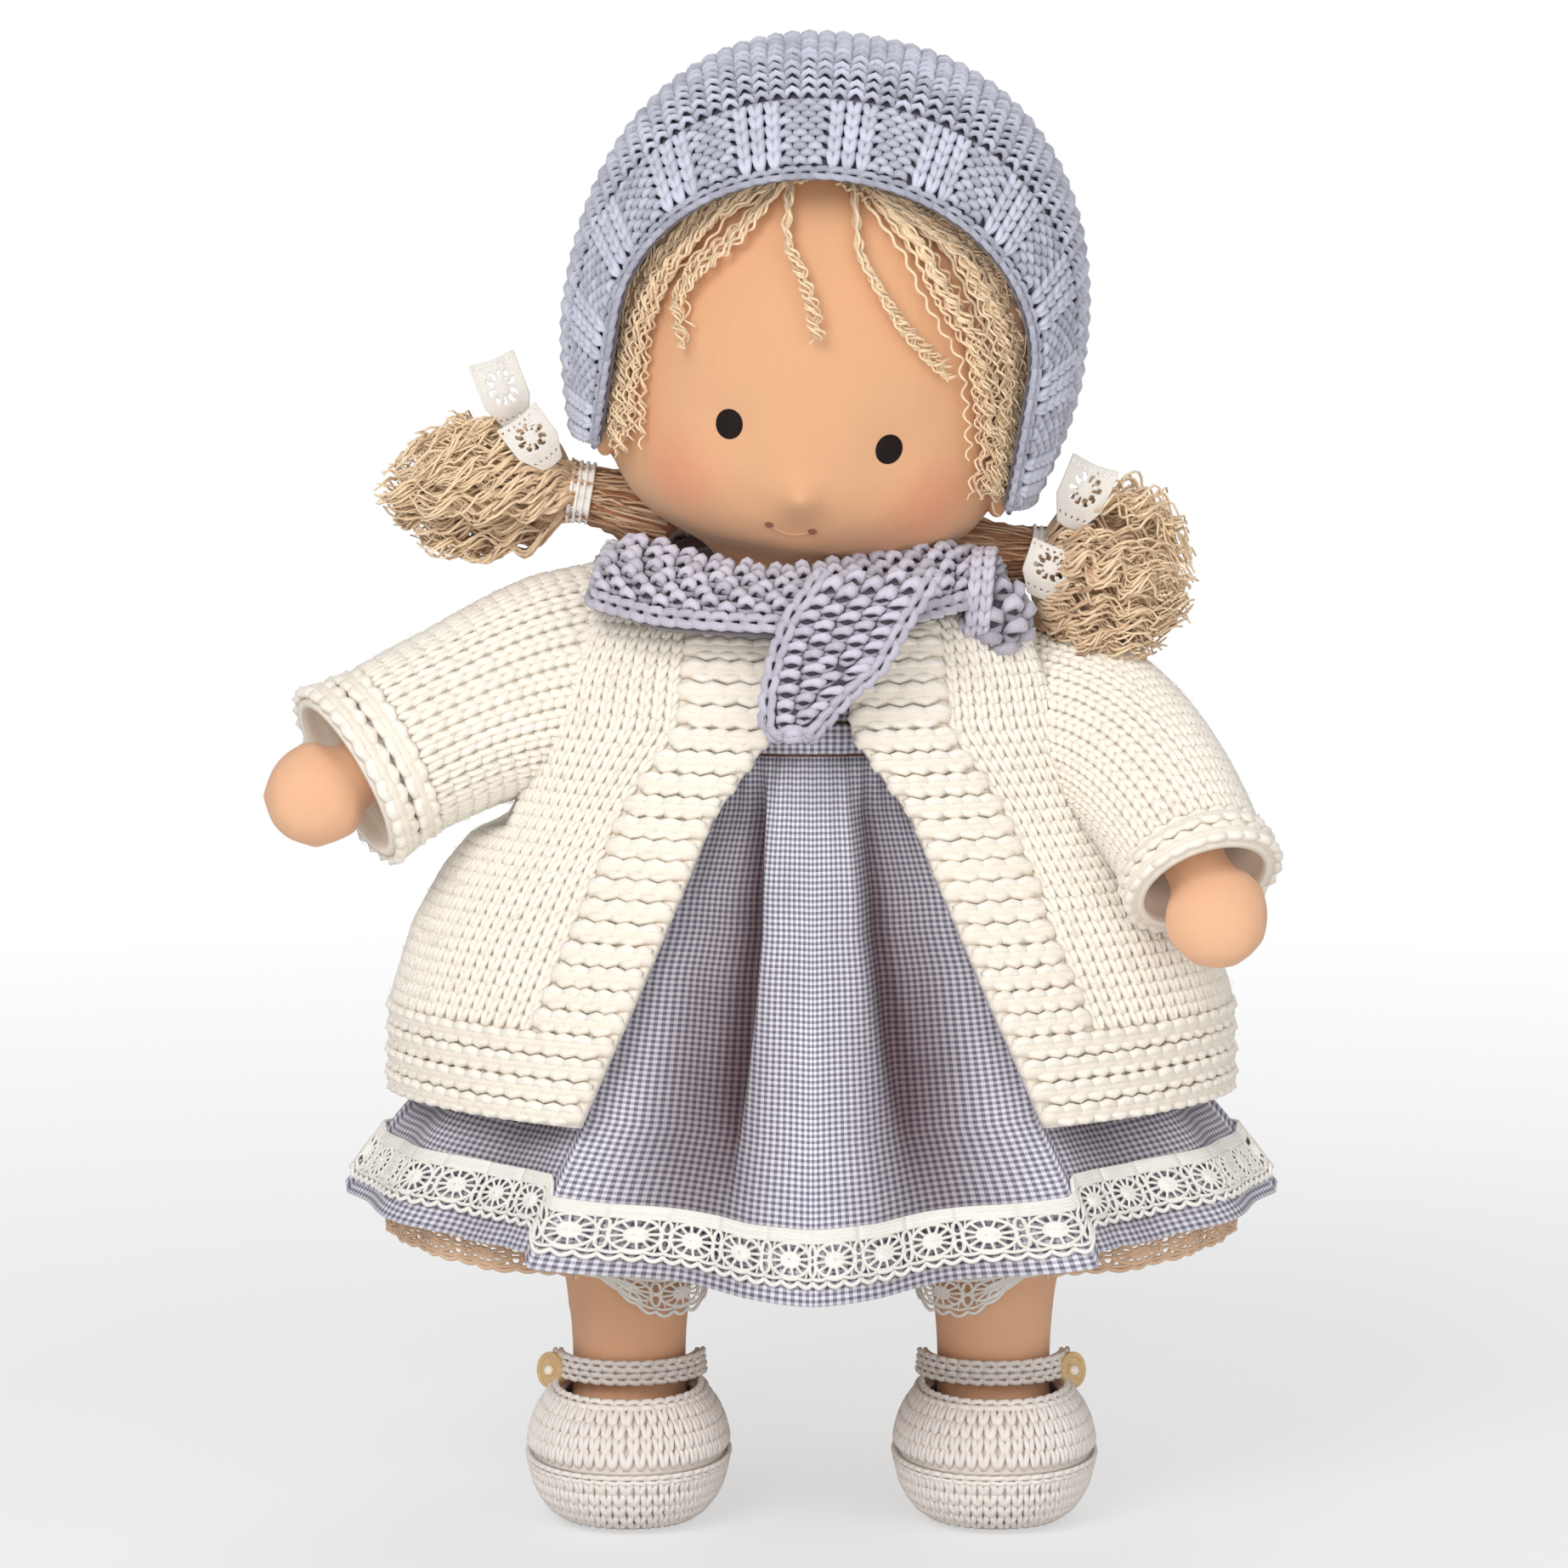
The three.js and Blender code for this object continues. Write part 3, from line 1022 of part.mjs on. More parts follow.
function buildShoe(side) {
  const name = sideName(side);
  const footRoom = legForm(side, SEWN_GAP);
  const sole = stack(shoeRings(side, [
    [0, SOLE_FLAT_RATIO], [SHOE_RIDGE_Z * 0.22, 0.88], [SHOE_RIDGE_Z * 0.6, 0.97], [SHOE_RIDGE_Z, 1],
  ]));
  add(`shoe_sole_${name}`, cut(sole, footRoom), COLOUR.shoe);

  const rise = SHOE_TOP_Z - SHOE_RIDGE_Z;
  const upper = stack(shoeRings(side, [
    [SHOE_RIDGE_Z + SEWN_GAP, 1], [SHOE_RIDGE_Z + rise * 0.4, 0.97],
    [SHOE_RIDGE_Z + rise * 0.75, 0.88], [SHOE_TOP_Z, 0.76],
  ]));
  const innerRadius = ANKLE_RADIUS + TURN_GAP * 2;
  const outerRadius = innerRadius + STRAP_THICKNESS;
  const tabs = [1, -1].map((end) => {
    const [near, far] = [innerRadius, outerRadius].map((radius) => side * LEG_X + end * radius);
    return block(
      new THREE.Vector3(Math.min(near, far), -STRAP_TAB_HALF_WIDTH, SHOE_TOP_Z - STRAP_THICKNESS),
      new THREE.Vector3(Math.max(near, far), STRAP_TAB_HALF_WIDTH, STRAP_Z - SEWN_GAP),
    );
  });
  add(`shoe_upper_${name}`, joined(cut(upper, footRoom), ...tabs), COLOUR.shoe);

  const strap = new THREE.Shape();
  strap.absarc(0, 0, outerRadius, Math.PI, 0, true);
  strap.absarc(0, 0, innerRadius, 0, Math.PI, false);
  strap.closePath();
  const knit = new THREE.ExtrudeGeometry(strap, { depth: STRAP_HEIGHT, bevelEnabled: false, curveSegments: 10 })
    .rotateX(Math.PI)
    .translate(side * LEG_X, 0, STRAP_Z + STRAP_HEIGHT);
  add(`shoe_strap_${name}`, knit, COLOUR.shoe);

  const outwards = new THREE.Vector3(side, 0, 0);
  const seat = new THREE.Vector3(side * (LEG_X + outerRadius), -BUTTON_RADIUS, STRAP_Z + STRAP_HEIGHT / 2);
  const button = bar(seat, outwards, BUTTON_RADIUS, SEWN_GAP, SEWN_GAP + BUTTON_THICKNESS);
  add(`shoe_button_${name}`, button, COLOUR.horn, 0.5);
}

function legRadiusAt(z) {
  const index = legStops.findIndex((s) => s.z <= z);
  const [high, low] = [legStops[index - 1], legStops[index]];
  return THREE.MathUtils.lerp(low.r, high.r, (z - low.z) / (high.z - low.z));
}

function buildLeg(side) {
  const name = sideName(side);
  const skin = cut(legForm(side, 0), legForm(side, -SKIN_WALL, LINING_SIDES, SEAT_Z + HIP_RADIUS));
  add(`leg_skin_${name}`, skin, COLOUR.skin, 0.85);
  add(`leg_stuffing_${name}`, legForm(side, -SKIN_WALL - SEWN_GAP, LINING_SIDES), COLOUR.wool, 1);

  const ring = (z, r) => oval({ z, rx: r, ry: r }, LIMB_SIDES, 2, side * LEG_X);
  const middle = (BLOOMER_TOP_Z + BLOOMER_HEM_Z) / 2;
  const top = legRadiusAt(BLOOMER_TOP_Z) + SEWN_GAP;
  const hem = legRadiusAt(BLOOMER_HEM_Z) + SEWN_GAP;
  const bloomer = band([
    ring(BLOOMER_TOP_Z, top + CLOTH_WALL), ring(middle, BLOOMER_RADIUS), ring(BLOOMER_HEM_Z, hem + CLOTH_WALL),
    ring(BLOOMER_HEM_Z, hem), ring(middle, BLOOMER_RADIUS - CLOTH_WALL), ring(BLOOMER_TOP_Z, top),
  ]);
  add(`bloomer_leg_${name}`, bloomer, COLOUR.lace);
  const laceTop = BLOOMER_HEM_Z - SEWN_GAP;
  const laceLow = BLOOMER_HEM_Z - BLOOMER_LACE_HEIGHT;
  const flare = hem + LACE_WALL * 2;
  const lace = band([
    ring(laceTop, hem + LACE_WALL), ring(laceLow, flare + LACE_WALL), ring(laceLow, flare), ring(laceTop, hem),
  ]);
  add(`bloomer_lace_${name}`, lace, COLOUR.lace);
  buildShoe(side);
}

buildTorso();
buildBodice();
buildSkirt();
buildPetticoat();
buildBloomersSeat();
buildCardigan();
buildScarf();
buildHead();
buildHair();
buildBonnet();
for (const side of [1, -1]) {
  buildPigtail(side);
  buildArm(sideName(side));
  buildLeg(side);
}

// The part's origin: on the floor, under the middle of the doll's box
const box = new THREE.Box3().setFromObject(doll, true);
const centre = box.getCenter(new THREE.Vector3());
doll.position.set(-centre.x, -centre.y, -box.min.z);

const part = new THREE.Group();
part.add(doll);

export default part;
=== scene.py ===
# %% [markdown]
# # A rag doll in knitted clothes
# The doll is a stuffed jersey body in layers of clothing: bloomers, petticoat, gathered gingham dress, chunky
# cardigan, scarf, bonnet and crochet shoes. The CAD part gives the sizes, the bodies and the joints.
# This lesson builds what is seen: skin, curls, stitches, lace threads and folds, each riding on its CAD body.

# %% Load the frame
import json
import math
from math import pi
import bpy
import numpy as np
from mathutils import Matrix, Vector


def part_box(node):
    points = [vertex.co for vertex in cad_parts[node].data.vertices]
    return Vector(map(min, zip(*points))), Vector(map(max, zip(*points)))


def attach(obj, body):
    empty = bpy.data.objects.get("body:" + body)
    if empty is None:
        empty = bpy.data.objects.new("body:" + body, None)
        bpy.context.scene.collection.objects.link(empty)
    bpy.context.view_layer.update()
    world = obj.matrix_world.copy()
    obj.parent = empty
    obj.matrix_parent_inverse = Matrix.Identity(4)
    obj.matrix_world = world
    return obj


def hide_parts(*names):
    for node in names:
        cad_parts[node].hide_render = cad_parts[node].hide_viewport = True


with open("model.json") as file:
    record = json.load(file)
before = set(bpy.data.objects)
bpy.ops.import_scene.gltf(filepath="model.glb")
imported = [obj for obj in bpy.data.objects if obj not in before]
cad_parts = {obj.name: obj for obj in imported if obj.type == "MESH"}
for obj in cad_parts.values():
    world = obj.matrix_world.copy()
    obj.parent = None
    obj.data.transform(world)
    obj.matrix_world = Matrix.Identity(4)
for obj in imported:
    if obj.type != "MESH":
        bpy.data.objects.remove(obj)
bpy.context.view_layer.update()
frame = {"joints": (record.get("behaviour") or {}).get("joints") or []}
MM = 0.001
joints = {joint["name"]: joint for joint in frame["joints"]}

# %% [markdown]
# ## The doll's own frames
# The doll leans its head, so the box is not centred on the body. The middle of the body lies halfway between the
# two soles. The head has a frame of its own: its origin is the neck joint and its Z runs along the joint's axis.

# %% Body frame and head frame
SIDES = {"left": 1, "right": -1}  # the doll's own sides, and where they lie along X


def middle(node):
    return np.mean(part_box(node), axis=0)


BODY_X = (middle("shoe_sole_left")[0] + middle("shoe_sole_right")[0]) / 2
NECK = np.array(joints["head_turn"]["pos_m"])
HEAD_UP = np.array(joints["head_turn"]["axis"])
HEAD_UP = HEAD_UP / np.linalg.norm(HEAD_UP)
X_WAY, Y_WAY, Z_WAY = np.eye(3)
HEAD_BACK = Y_WAY
HEAD_LEFT = np.cross(HEAD_BACK, HEAD_UP)
rng = np.random.default_rng(7)
scatter = rng.uniform


def on_body(points):
    """Millimetres from the floor under the body's middle, to metres in the row frame."""
    return np.asarray(points, float) * MM + np.array([BODY_X, 0.0, 0.0])


def on_head(points):
    """Millimetres in the head's frame, to metres in the row frame."""
    points = np.asarray(points, float) * MM
    return NECK + points[..., :1] * HEAD_LEFT + points[..., 1:2] * HEAD_BACK + points[..., 2:] * HEAD_UP


print("body middle", BODY_X, "neck", NECK)

# %% [markdown]
# ## Sheets and yarn as grids of points
# Knitting is thousands of small loops lying on a curved garment. By hand that would be a curve modifier per row;
# here a garment is a grid of points, and each stitch is stamped onto it: the stitch's own x and y become a place
# on the grid, and its height is measured along the grid's normal. So stitches follow every fold.

# %% Surface helpers
def unit(vectors):
    """Vectors of length 1."""
    return vectors / np.maximum(np.linalg.norm(vectors, axis=-1, keepdims=True), 1e-12)


def steps_of(line):
    return np.linalg.norm(np.diff(line, axis=0), axis=1)


def distances(line):
    """How far along a line each of its points lies."""
    return np.concatenate([[0], np.cumsum(steps_of(line))])


def level_line(v, count, low=0.0, high=1.0):
    """Places u, v across a sheet at one share v."""
    return np.stack([np.linspace(low, high, count), np.full(count, v)], 1)


def shares(count):
    return np.linspace(0, 1, count)


def open_turn(count):
    return np.linspace(0, 2 * pi, count, endpoint=False)


def full_turn(count):
    return np.linspace(-pi, pi, count)[:, None]


def fuller_round(turn, power):
    """Sine and minus cosine, drawn out or in to a rounder or squarer oval."""
    x, y = np.sin(turn), -np.cos(turn)
    return np.sign(x) * np.abs(x) ** power, np.sign(y) * np.abs(y) ** power


def smooth_step(low, high, value):
    share = np.clip((value - low) / (high - low), 0, 1)
    return share * share * (3 - 2 * share)


def evenly(line, count):
    """The same line with its points at even distances."""
    along = distances(line)
    wanted = np.linspace(0, along[-1], count)
    return np.stack([np.interp(wanted, along, line[:, axis]) for axis in range(line.shape[1])], axis=1)


class Surface:
    """A sheet of cloth: points[u, v]. Its outside is where u cross v points."""

    def __init__(self, points):
        self.points = np.asarray(points, float)
        self.normals = unit(np.cross(np.gradient(self.points, axis=0), np.gradient(self.points, axis=1)))

    def sample(self, table, u, v):
        """What a table of values for the points says at shares u and v, between the points."""
        columns, rows = table.shape[0] - 1, table.shape[1] - 1
        x, y = np.clip(u, 0, 1) * columns, np.clip(v, 0, 1) * rows
        i, j = np.minimum(x.astype(int), columns - 1), np.minimum(y.astype(int), rows - 1)
        fx, fy = (x - i)[..., None], (y - j)[..., None]
        low = table[i, j] * (1 - fx) + table[i + 1, j] * fx
        high = table[i, j + 1] * (1 - fx) + table[i + 1, j + 1] * fx
        return low * (1 - fy) + high * fy

    def out(self, u, v):
        return unit(self.sample(self.normals, u, v))

    def at(self, u, v, height=0.0):
        return self.sample(self.points, u, v) + np.broadcast_to(height, np.shape(u))[..., None] * self.out(u, v)

    def width(self, v=0.5):
        """Length along u at a share v."""
        return steps_of(self.at(shares(200), v)).sum()

    def length(self, u=0.5):
        """Length along v at a share u."""
        return steps_of(self.at(np.full(200, u), shares(200))).sum()


def sheet_at(x, y, z, place=on_body):
    """A sheet from its coordinates in millimetres, each given for its columns, its rows or both."""
    return Surface(place(np.stack(np.broadcast_arrays(x, y, z), -1)))


class Pieces:
    """Collects points and faces, and a tone for each point, until they become one object."""

    def __init__(self):
        self.points, self.faces, self.tones, self.count = [], [], [], 0

    def add(self, points, faces, tones=0.5):
        """One shape: its points, its faces, and a tone for all of it or for each point."""
        self.stamp(np.asarray(points, float).reshape(1, -1, 3), faces, tones)

    def stamp(self, copies, faces, tones):
        """copies[n, k] are n copies of a shape of k points; faces belong to one copy."""
        n, k = copies.shape[:2]
        offsets = self.count + np.arange(n)[:, None, None] * k
        for face in faces:
            self.faces.append((np.asarray(face)[None] + offsets).reshape(-1, np.shape(face)[1]))
        self.points.append(copies.reshape(-1, 3))
        self.tones.append(np.broadcast_to(tones, (n, k)).reshape(-1).astype(float))
        self.count += n * k

    def build(self, name, material):
        points = np.concatenate(self.points)
        blocks = [np.atleast_2d(block) for block in self.faces]
        sizes = np.concatenate([np.full(len(block), block.shape[1]) for block in blocks])
        corners = np.concatenate([block.reshape(-1) for block in blocks])
        mesh = bpy.data.meshes.new(name)
        mesh.vertices.add(len(points))
        mesh.vertices.foreach_set("co", points.reshape(-1))
        mesh.loops.add(len(corners))
        mesh.loops.foreach_set("vertex_index", corners.astype(np.int32))
        mesh.polygons.add(len(sizes))
        starts = np.concatenate([[0], np.cumsum(sizes)[:-1]])
        mesh.polygons.foreach_set("loop_start", starts.astype(np.int32))
        mesh.polygons.foreach_set("use_smooth", np.full(len(sizes), True))
        tone = mesh.attributes.new("tone", "FLOAT", "POINT")
        tone.data.foreach_set("value", np.concatenate(self.tones).astype(np.float32))
        mesh.update(calc_edges=True)
        mesh.validate()
        mesh.materials.append(material)
        piece = bpy.data.objects.new(name, mesh)
        bpy.context.collection.objects.link(piece)
        print(name, len(sizes), "faces")
        return piece


# %% Ties to the CAD
def declare(pieces, body, slot_name, *nodes, fill=None):
    """Let pieces ride on a body. The first one stands for the CAD nodes, which are hidden; fill is not used."""
    for piece in pieces:
        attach(piece, body)
    if nodes:
        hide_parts(*nodes)


def flat_size(surface):
    """Width, length and area of the flat cut: the widest course, the height, and the cloth itself."""
    across = np.diff(surface.points, axis=0)[:, :-1]
    along = np.diff(surface.points, axis=1)[:-1]
    area, length = float(np.linalg.norm(np.cross(across, along), axis=-1).sum()), surface.length()
    width = max(surface.width(v) for v in (0.0, 0.5, 1.0))
    return (min(max(width, area / length), area / length / 0.32), length), area


def declare_sheet(piece, surface, rests_on):
    flat, area = flat_size(surface)
    print(piece.name, "flat", [round(side * 1000) for side in flat], "mm")


# %% [markdown]
# ## Two small makers: a tube and a slab
# A tube carries yarn, thread and hair. A slab is a sheet with a wall: its outer side, its inner side and the rim
# that closes them, so that no edge is open.

# %% Tubes and slabs
ANY_WAY = (0.31, -0.86, 0.41)  # along no tube


def tube_faces(points, sides):
    """Faces of a tube of rings, with a tip at each end. Rings come first, then the two tips."""
    ring = np.arange(sides)
    after = (ring + 1) % sides
    quads = [np.stack([j * sides + ring, j * sides + after, (j + 1) * sides + after, (j + 1) * sides + ring], 1)
             for j in range(points - 1)]
    first, last = points * sides, points * sides + 1
    end = (points - 1) * sides
    tips = np.concatenate([
        np.stack([np.full(sides, first), after, ring], 1),
        np.stack([np.full(sides, last), end + ring, end + after], 1)])
    return [np.concatenate(quads), tips]


def tubes(paths, radii, sides=5, up=None):
    """Tubes round paths[n, k]; radii fit [n, k]. up[n, k] keeps them from twisting."""
    paths = np.asarray(paths, float)
    forward = unit(np.gradient(paths, axis=1))
    if up is None:
        up = np.broadcast_to(np.array(ANY_WAY), paths.shape)
    side = unit(np.cross(forward, up))
    lift = np.cross(side, forward)
    angle = open_turn(sides)
    radii = np.broadcast_to(radii, paths.shape[:2])[..., None, None]
    rings = paths[:, :, None] + radii * (
        np.cos(angle)[:, None] * side[:, :, None] + np.sin(angle)[:, None] * lift[:, :, None])
    n, k = paths.shape[:2]
    tips = np.stack([paths[:, 0] - forward[:, 0] * radii[:, 0, :, 0] * 0.6,
                     paths[:, -1] + forward[:, -1] * radii[:, -1, :, 0] * 0.6], 1)
    return np.concatenate([rings.reshape(n, k * sides, 3), tips], 1), tube_faces(k, sides)


def slab(surface, inner, outer=0.0, closed=False):
    """A sheet between two heights over a surface; closed joins its first and last column."""
    columns, rows = surface.points.shape[:2]
    u, v = np.meshgrid(shares(columns), shares(rows), indexing="ij")
    columns -= closed
    points = np.concatenate([surface.at(u, v, height)[:columns] for height in (outer, inner)]).reshape(-1, 3)
    below = columns * rows
    index = np.arange(below).reshape(columns, rows)
    if closed:
        index = np.concatenate([index, index[:1]])
    outside = np.stack([index[:-1, :-1], index[1:, :-1], index[1:, 1:], index[:-1, 1:]], -1).reshape(-1, 4)
    rims = [index[:, 0], index[::-1, -1]] + ([] if closed else [index[0, ::-1], index[-1]])
    walls = [np.stack([rim[1:], rim[:-1], rim[:-1] + below, rim[1:] + below], 1) for rim in rims]
    return points, [outside, outside[:, ::-1] + below, *walls]


# %% [markdown]
# ## Shader maths in plain Python
# A finish is a node tree. Writing `rib * 0.4 + grain` is easier to read than wiring nodes, so one class wraps a
# socket and turns arithmetic into Math nodes. Every other node comes from one method.

# %% Finishes
def colour(*screen):
    """A colour as seen on a screen, 0 to 255, as the linear numbers that a shader takes."""
    lights = [value / 255 for value in screen]
    return tuple(c / 12.92 if c <= 0.04045 else ((c + 0.055) / 1.055) ** 2.4 for c in lights) + (1.0,)


class Value:
    """A socket that can be added, multiplied and compared."""

    def __init__(self, finish, socket):
        self.finish, self.socket = finish, socket

    def math(self, operation, *values):
        return self.finish.node("ShaderNodeMath", {"operation": operation}, dict(enumerate(values)))

    def __add__(self, other):
        return self.math("ADD", self, other)

    __radd__ = __add__

    def __sub__(self, other):
        return self.math("SUBTRACT", self, other)

    def __mul__(self, other):
        return self.math("MULTIPLY", self, other)

    def __gt__(self, other):
        return self.math("GREATER_THAN", self, other)


class Finish:
    """A material with one shader, and the nodes that feed it."""

    def __init__(self, name, shine=0.5, **sockets):
        self.material = bpy.data.materials.new(name)
        self.material.use_nodes = True
        self.tree = self.material.node_tree
        self.shader = self.tree.nodes["Principled BSDF"]
        self.feed("Specular IOR Level", shine)
        for socket, value in sockets.items():
            self.feed(socket.replace("_", " ").title(), value)

    def feed(self, socket, value):
        if isinstance(value, Value):
            self.tree.links.new(value.socket, self.shader.inputs[socket])
        else:
            self.shader.inputs[socket].default_value = value

    def node(self, kind, settings=None, inputs=None, output=0):
        node = self.tree.nodes.new(kind)
        for name, value in (settings or {}).items():
            if name == "stops":
                for stop, (place, shade) in zip(node.color_ramp.elements, value):
                    stop.position, stop.color = place, shade
            else:
                setattr(node, name, value)
        for socket, value in (inputs or {}).items():
            if isinstance(value, Value):
                self.tree.links.new(value.socket, node.inputs[socket])
            else:
                node.inputs[socket].default_value = value
        return Value(self, node.outputs[output])

    def place(self):
        return self.node("ShaderNodeTexCoord", output="Object")

    def attribute(self, name):
        return self.node("ShaderNodeAttribute", {"attribute_name": name}, output="Fac")

    def noise(self, scale, detail=2.0, stretch=None):
        place = self.place()
        if stretch:
            place = self.node("ShaderNodeMapping", None, {"Vector": place, "Scale": stretch})
        return self.node("ShaderNodeTexNoise", None, {"Vector": place, "Scale": scale, "Detail": detail})

    def mix(self, factor, first, second, blend="MIX"):
        settings = {"data_type": "RGBA", "blend_type": blend}
        return self.node("ShaderNodeMix", settings, {0: factor, 6: first, 7: second}, output=2)

    def bump(self, height, strength, distance):
        bumped = self.node("ShaderNodeBump", None, {"Height": height, "Strength": strength, "Distance": distance})
        self.feed("Normal", bumped)


def yarn(name, light, shadow, fibre=2200.0, fuzz=0.35):
    """Soft wool: each stitch a little lighter or darker, with fine fibres along it. Low tones take the shadow colour:
    painted shade.
    """
    finish = Finish(name, 0.15, roughness=0.92, sheen_weight=fuzz, sheen_roughness=0.6)
    grain = finish.noise(fibre, 3.0)
    tone = finish.attribute("tone") + (grain - 0.5) * 0.35
    finish.feed("Base Color", finish.mix(tone, colour(*shadow), colour(*light)))
    finish.bump(grain, 0.5, 0.0004)
    return finish.material


# the lit and the shaded colour of each yarn, the fineness of its fibres and its fuzz
CREAM_YARN = yarn("cream_yarn", (255, 248, 236), (230, 211, 186))
BONNET_YARN = yarn("bonnet_yarn", (216, 218, 234), (88, 83, 98))
SCARF_YARN = yarn("scarf_yarn", (216, 211, 225), (96, 86, 96))
SHOE_YARN = yarn("shoe_yarn", (247, 239, 232), (214, 204, 194), 3000.0, 0.2)
LACE_THREAD = yarn("lace_thread", (255, 252, 246), (222, 212, 200), 4000.0, 0.1)
# painted shade: tan thread is the lace thread as it looks in the shade under the skirt
TAN_THREAD = yarn("tan_thread", (236, 202, 170), (178, 136, 106), 4000.0, 0.1)
HAIR_YARN = yarn("hair_yarn", (255, 228, 190), (154, 95, 56), 3000.0, 0.25)
print("yarns", len(bpy.data.materials))

# %% [markdown]
# ## The stuffed body
# Head, arms, legs and torso are jersey bags filled with wool. A bag swells evenly and is smooth, so each one starts
# as a plain closed form a little smaller than its solid, is remeshed, blown up by cloth pressure and smoothed.
# The jersey itself is a fine vertical rib, too small to model, so it is a bump, and the cheeks are rubbed with red.

# %% Jersey skin
def blush(finish, place, spots, reach):
    """Sum of soft round patches about some points."""
    total = 0.0
    for spot in spots:
        away = finish.node("ShaderNodeVectorMath", {"operation": "DISTANCE"}, {0: place, 1: tuple(spot)}, output=1)
        total = total + finish.node("ShaderNodeMapRange", {"interpolation_type": "SMOOTHERSTEP"}, {
            "Value": away, "From Min": 0.0, "From Max": reach, "To Min": 1.0, "To Max": 0.0})
    return total


CHEEKS = on_head([[-26, -31, 22], [27, -30, 24]])


def jersey(name, skin, flushed, spots):
    finish = Finish(name, 0.2, roughness=0.8, sheen_weight=0.2, sheen_roughness=0.5)
    place = finish.place()
    rub = blush(finish, place, spots, 0.017) * (0.62 + finish.noise(900.0) * 0.2)
    tint = finish.mix(0.22, skin, finish.mix(finish.noise(60.0), skin, flushed))
    finish.feed("Base Color", finish.mix(rub, tint, flushed))
    rib = finish.node("ShaderNodeTexWave", {"bands_direction": "X"}, {
        "Vector": place, "Scale": 420.0, "Distortion": 0.6, "Detail": 1.0})
    finish.bump(rib * 0.4 + finish.noise(2600.0) * 0.7, 0.2, 0.0002)
    return finish.material


FACE_JERSEY = jersey("face_jersey", colour(224, 174, 132), colour(224, 150, 117), CHEEKS)
LIMB_JERSEY = jersey("limb_jersey", colour(238, 188, 150), colour(222, 150, 116), CHEEKS)


# %% Filling a bag
def loft(pieces, rings):
    """A closed solid through rings of points, each end closed by a fan."""
    rings = np.asarray(rings, float)
    count, sides = rings.shape[:2]
    points = np.concatenate([rings.reshape(-1, 3), [rings[0].mean(0), rings[-1].mean(0)]])
    pieces.add(points, tube_faces(count, sides))


def only(piece):
    """Make one object the selected and active one."""
    bpy.ops.object.select_all(action="DESELECT")
    piece.select_set(True)
    bpy.context.view_layer.objects.active = piece


def apply(piece, kind, **settings):
    """Add a modifier, set it and apply it."""
    only(piece)
    modifier = piece.modifiers.new(kind.title(), kind)
    for name, value in settings.items():
        setattr(modifier, name, value)
    bpy.ops.object.modifier_apply(modifier=modifier.name)


def spots_of(mesh):
    points = np.empty(len(mesh.vertices) * 3)
    mesh.vertices.foreach_get("co", points)
    return points.reshape(-1, 3)


def move_to(piece, points):
    piece.data.vertices.foreach_set("co", np.asarray(points, float).reshape(-1))
    piece.data.update()


def outwards(piece):
    only(piece)
    bpy.ops.object.mode_set(mode="EDIT")
    bpy.ops.mesh.select_all(action="SELECT")
    bpy.ops.mesh.normals_make_consistent(inside=False)
    bpy.ops.object.mode_set(mode="OBJECT")


CLOTH_FRAMES, CLOTH_PRESSURE = 20, 4.0


def stuff(piece, voxel, cap, levels=1):
    """Remesh a bag, blow it up with cloth pressure by at most cap, and smooth it."""
    outwards(piece)
    apply(piece, "REMESH", mode="VOXEL", voxel_size=voxel)
    before = spots_of(piece.data)
    cloth = piece.modifiers.new("Cloth", "CLOTH")
    cloth.settings.use_pressure = True
    cloth.settings.uniform_pressure_force = CLOTH_PRESSURE
    cloth.settings.effector_weights.gravity = 0.0
    scene = bpy.context.scene
    for step in range(1, CLOTH_FRAMES + 1):
        scene.frame_set(step)
    shift = spots_of(piece.evaluated_get(bpy.context.evaluated_depsgraph_get()).to_mesh()) - before
    piece.modifiers.clear()
    scene.frame_set(1)
    far = np.linalg.norm(shift, axis=1, keepdims=True)
    move_to(piece, before + shift * np.minimum(1, cap / np.maximum(far, 1e-9)))
    apply(piece, "SMOOTH", factor=0.5, iterations=3)
    apply(piece, "SUBSURF", levels=levels, render_levels=levels)
    only(piece)
    bpy.ops.object.shade_smooth()
    print(piece.name, len(piece.data.polygons), "faces after filling")


# %% [markdown]
# ## The head
# A round bag with full cheeks, tied at the neck. The nose is a bead under the jersey, the eyes pull the face in a
# little, and the ears are small knots. These are added after the filling, because the remesh would lose them.

# %% Head form
HEAD_RADIUS, CHIN_Z, HEAD_MID_Z, HEAD_TOP_Z, NECK_RADIUS = 43.5, 8.0, 51.0, 102.0, 14.0
CROWN_POWER, CHEEK_POWER, HEAD_DEPTH = 2.1, 3.1, 0.95


def head_radius(z):
    """Radius of the head at heights in its own frame, in millimetres."""
    z = np.asarray(z, float)
    reach = np.where(z < HEAD_MID_Z, HEAD_MID_Z - CHIN_Z, HEAD_TOP_Z - HEAD_MID_Z)
    share = np.minimum(np.abs(z - HEAD_MID_Z) / reach, 1)
    power = np.where(z < HEAD_MID_Z, CHEEK_POWER, CROWN_POWER)
    return HEAD_RADIUS * (1 - share ** power) ** (1 / power)


def head_ring(z, radius, sides=48):
    angle = open_turn(sides)
    return np.stack([radius * np.cos(angle), HEAD_DEPTH * radius * np.sin(angle), np.full(sides, z)], 1)


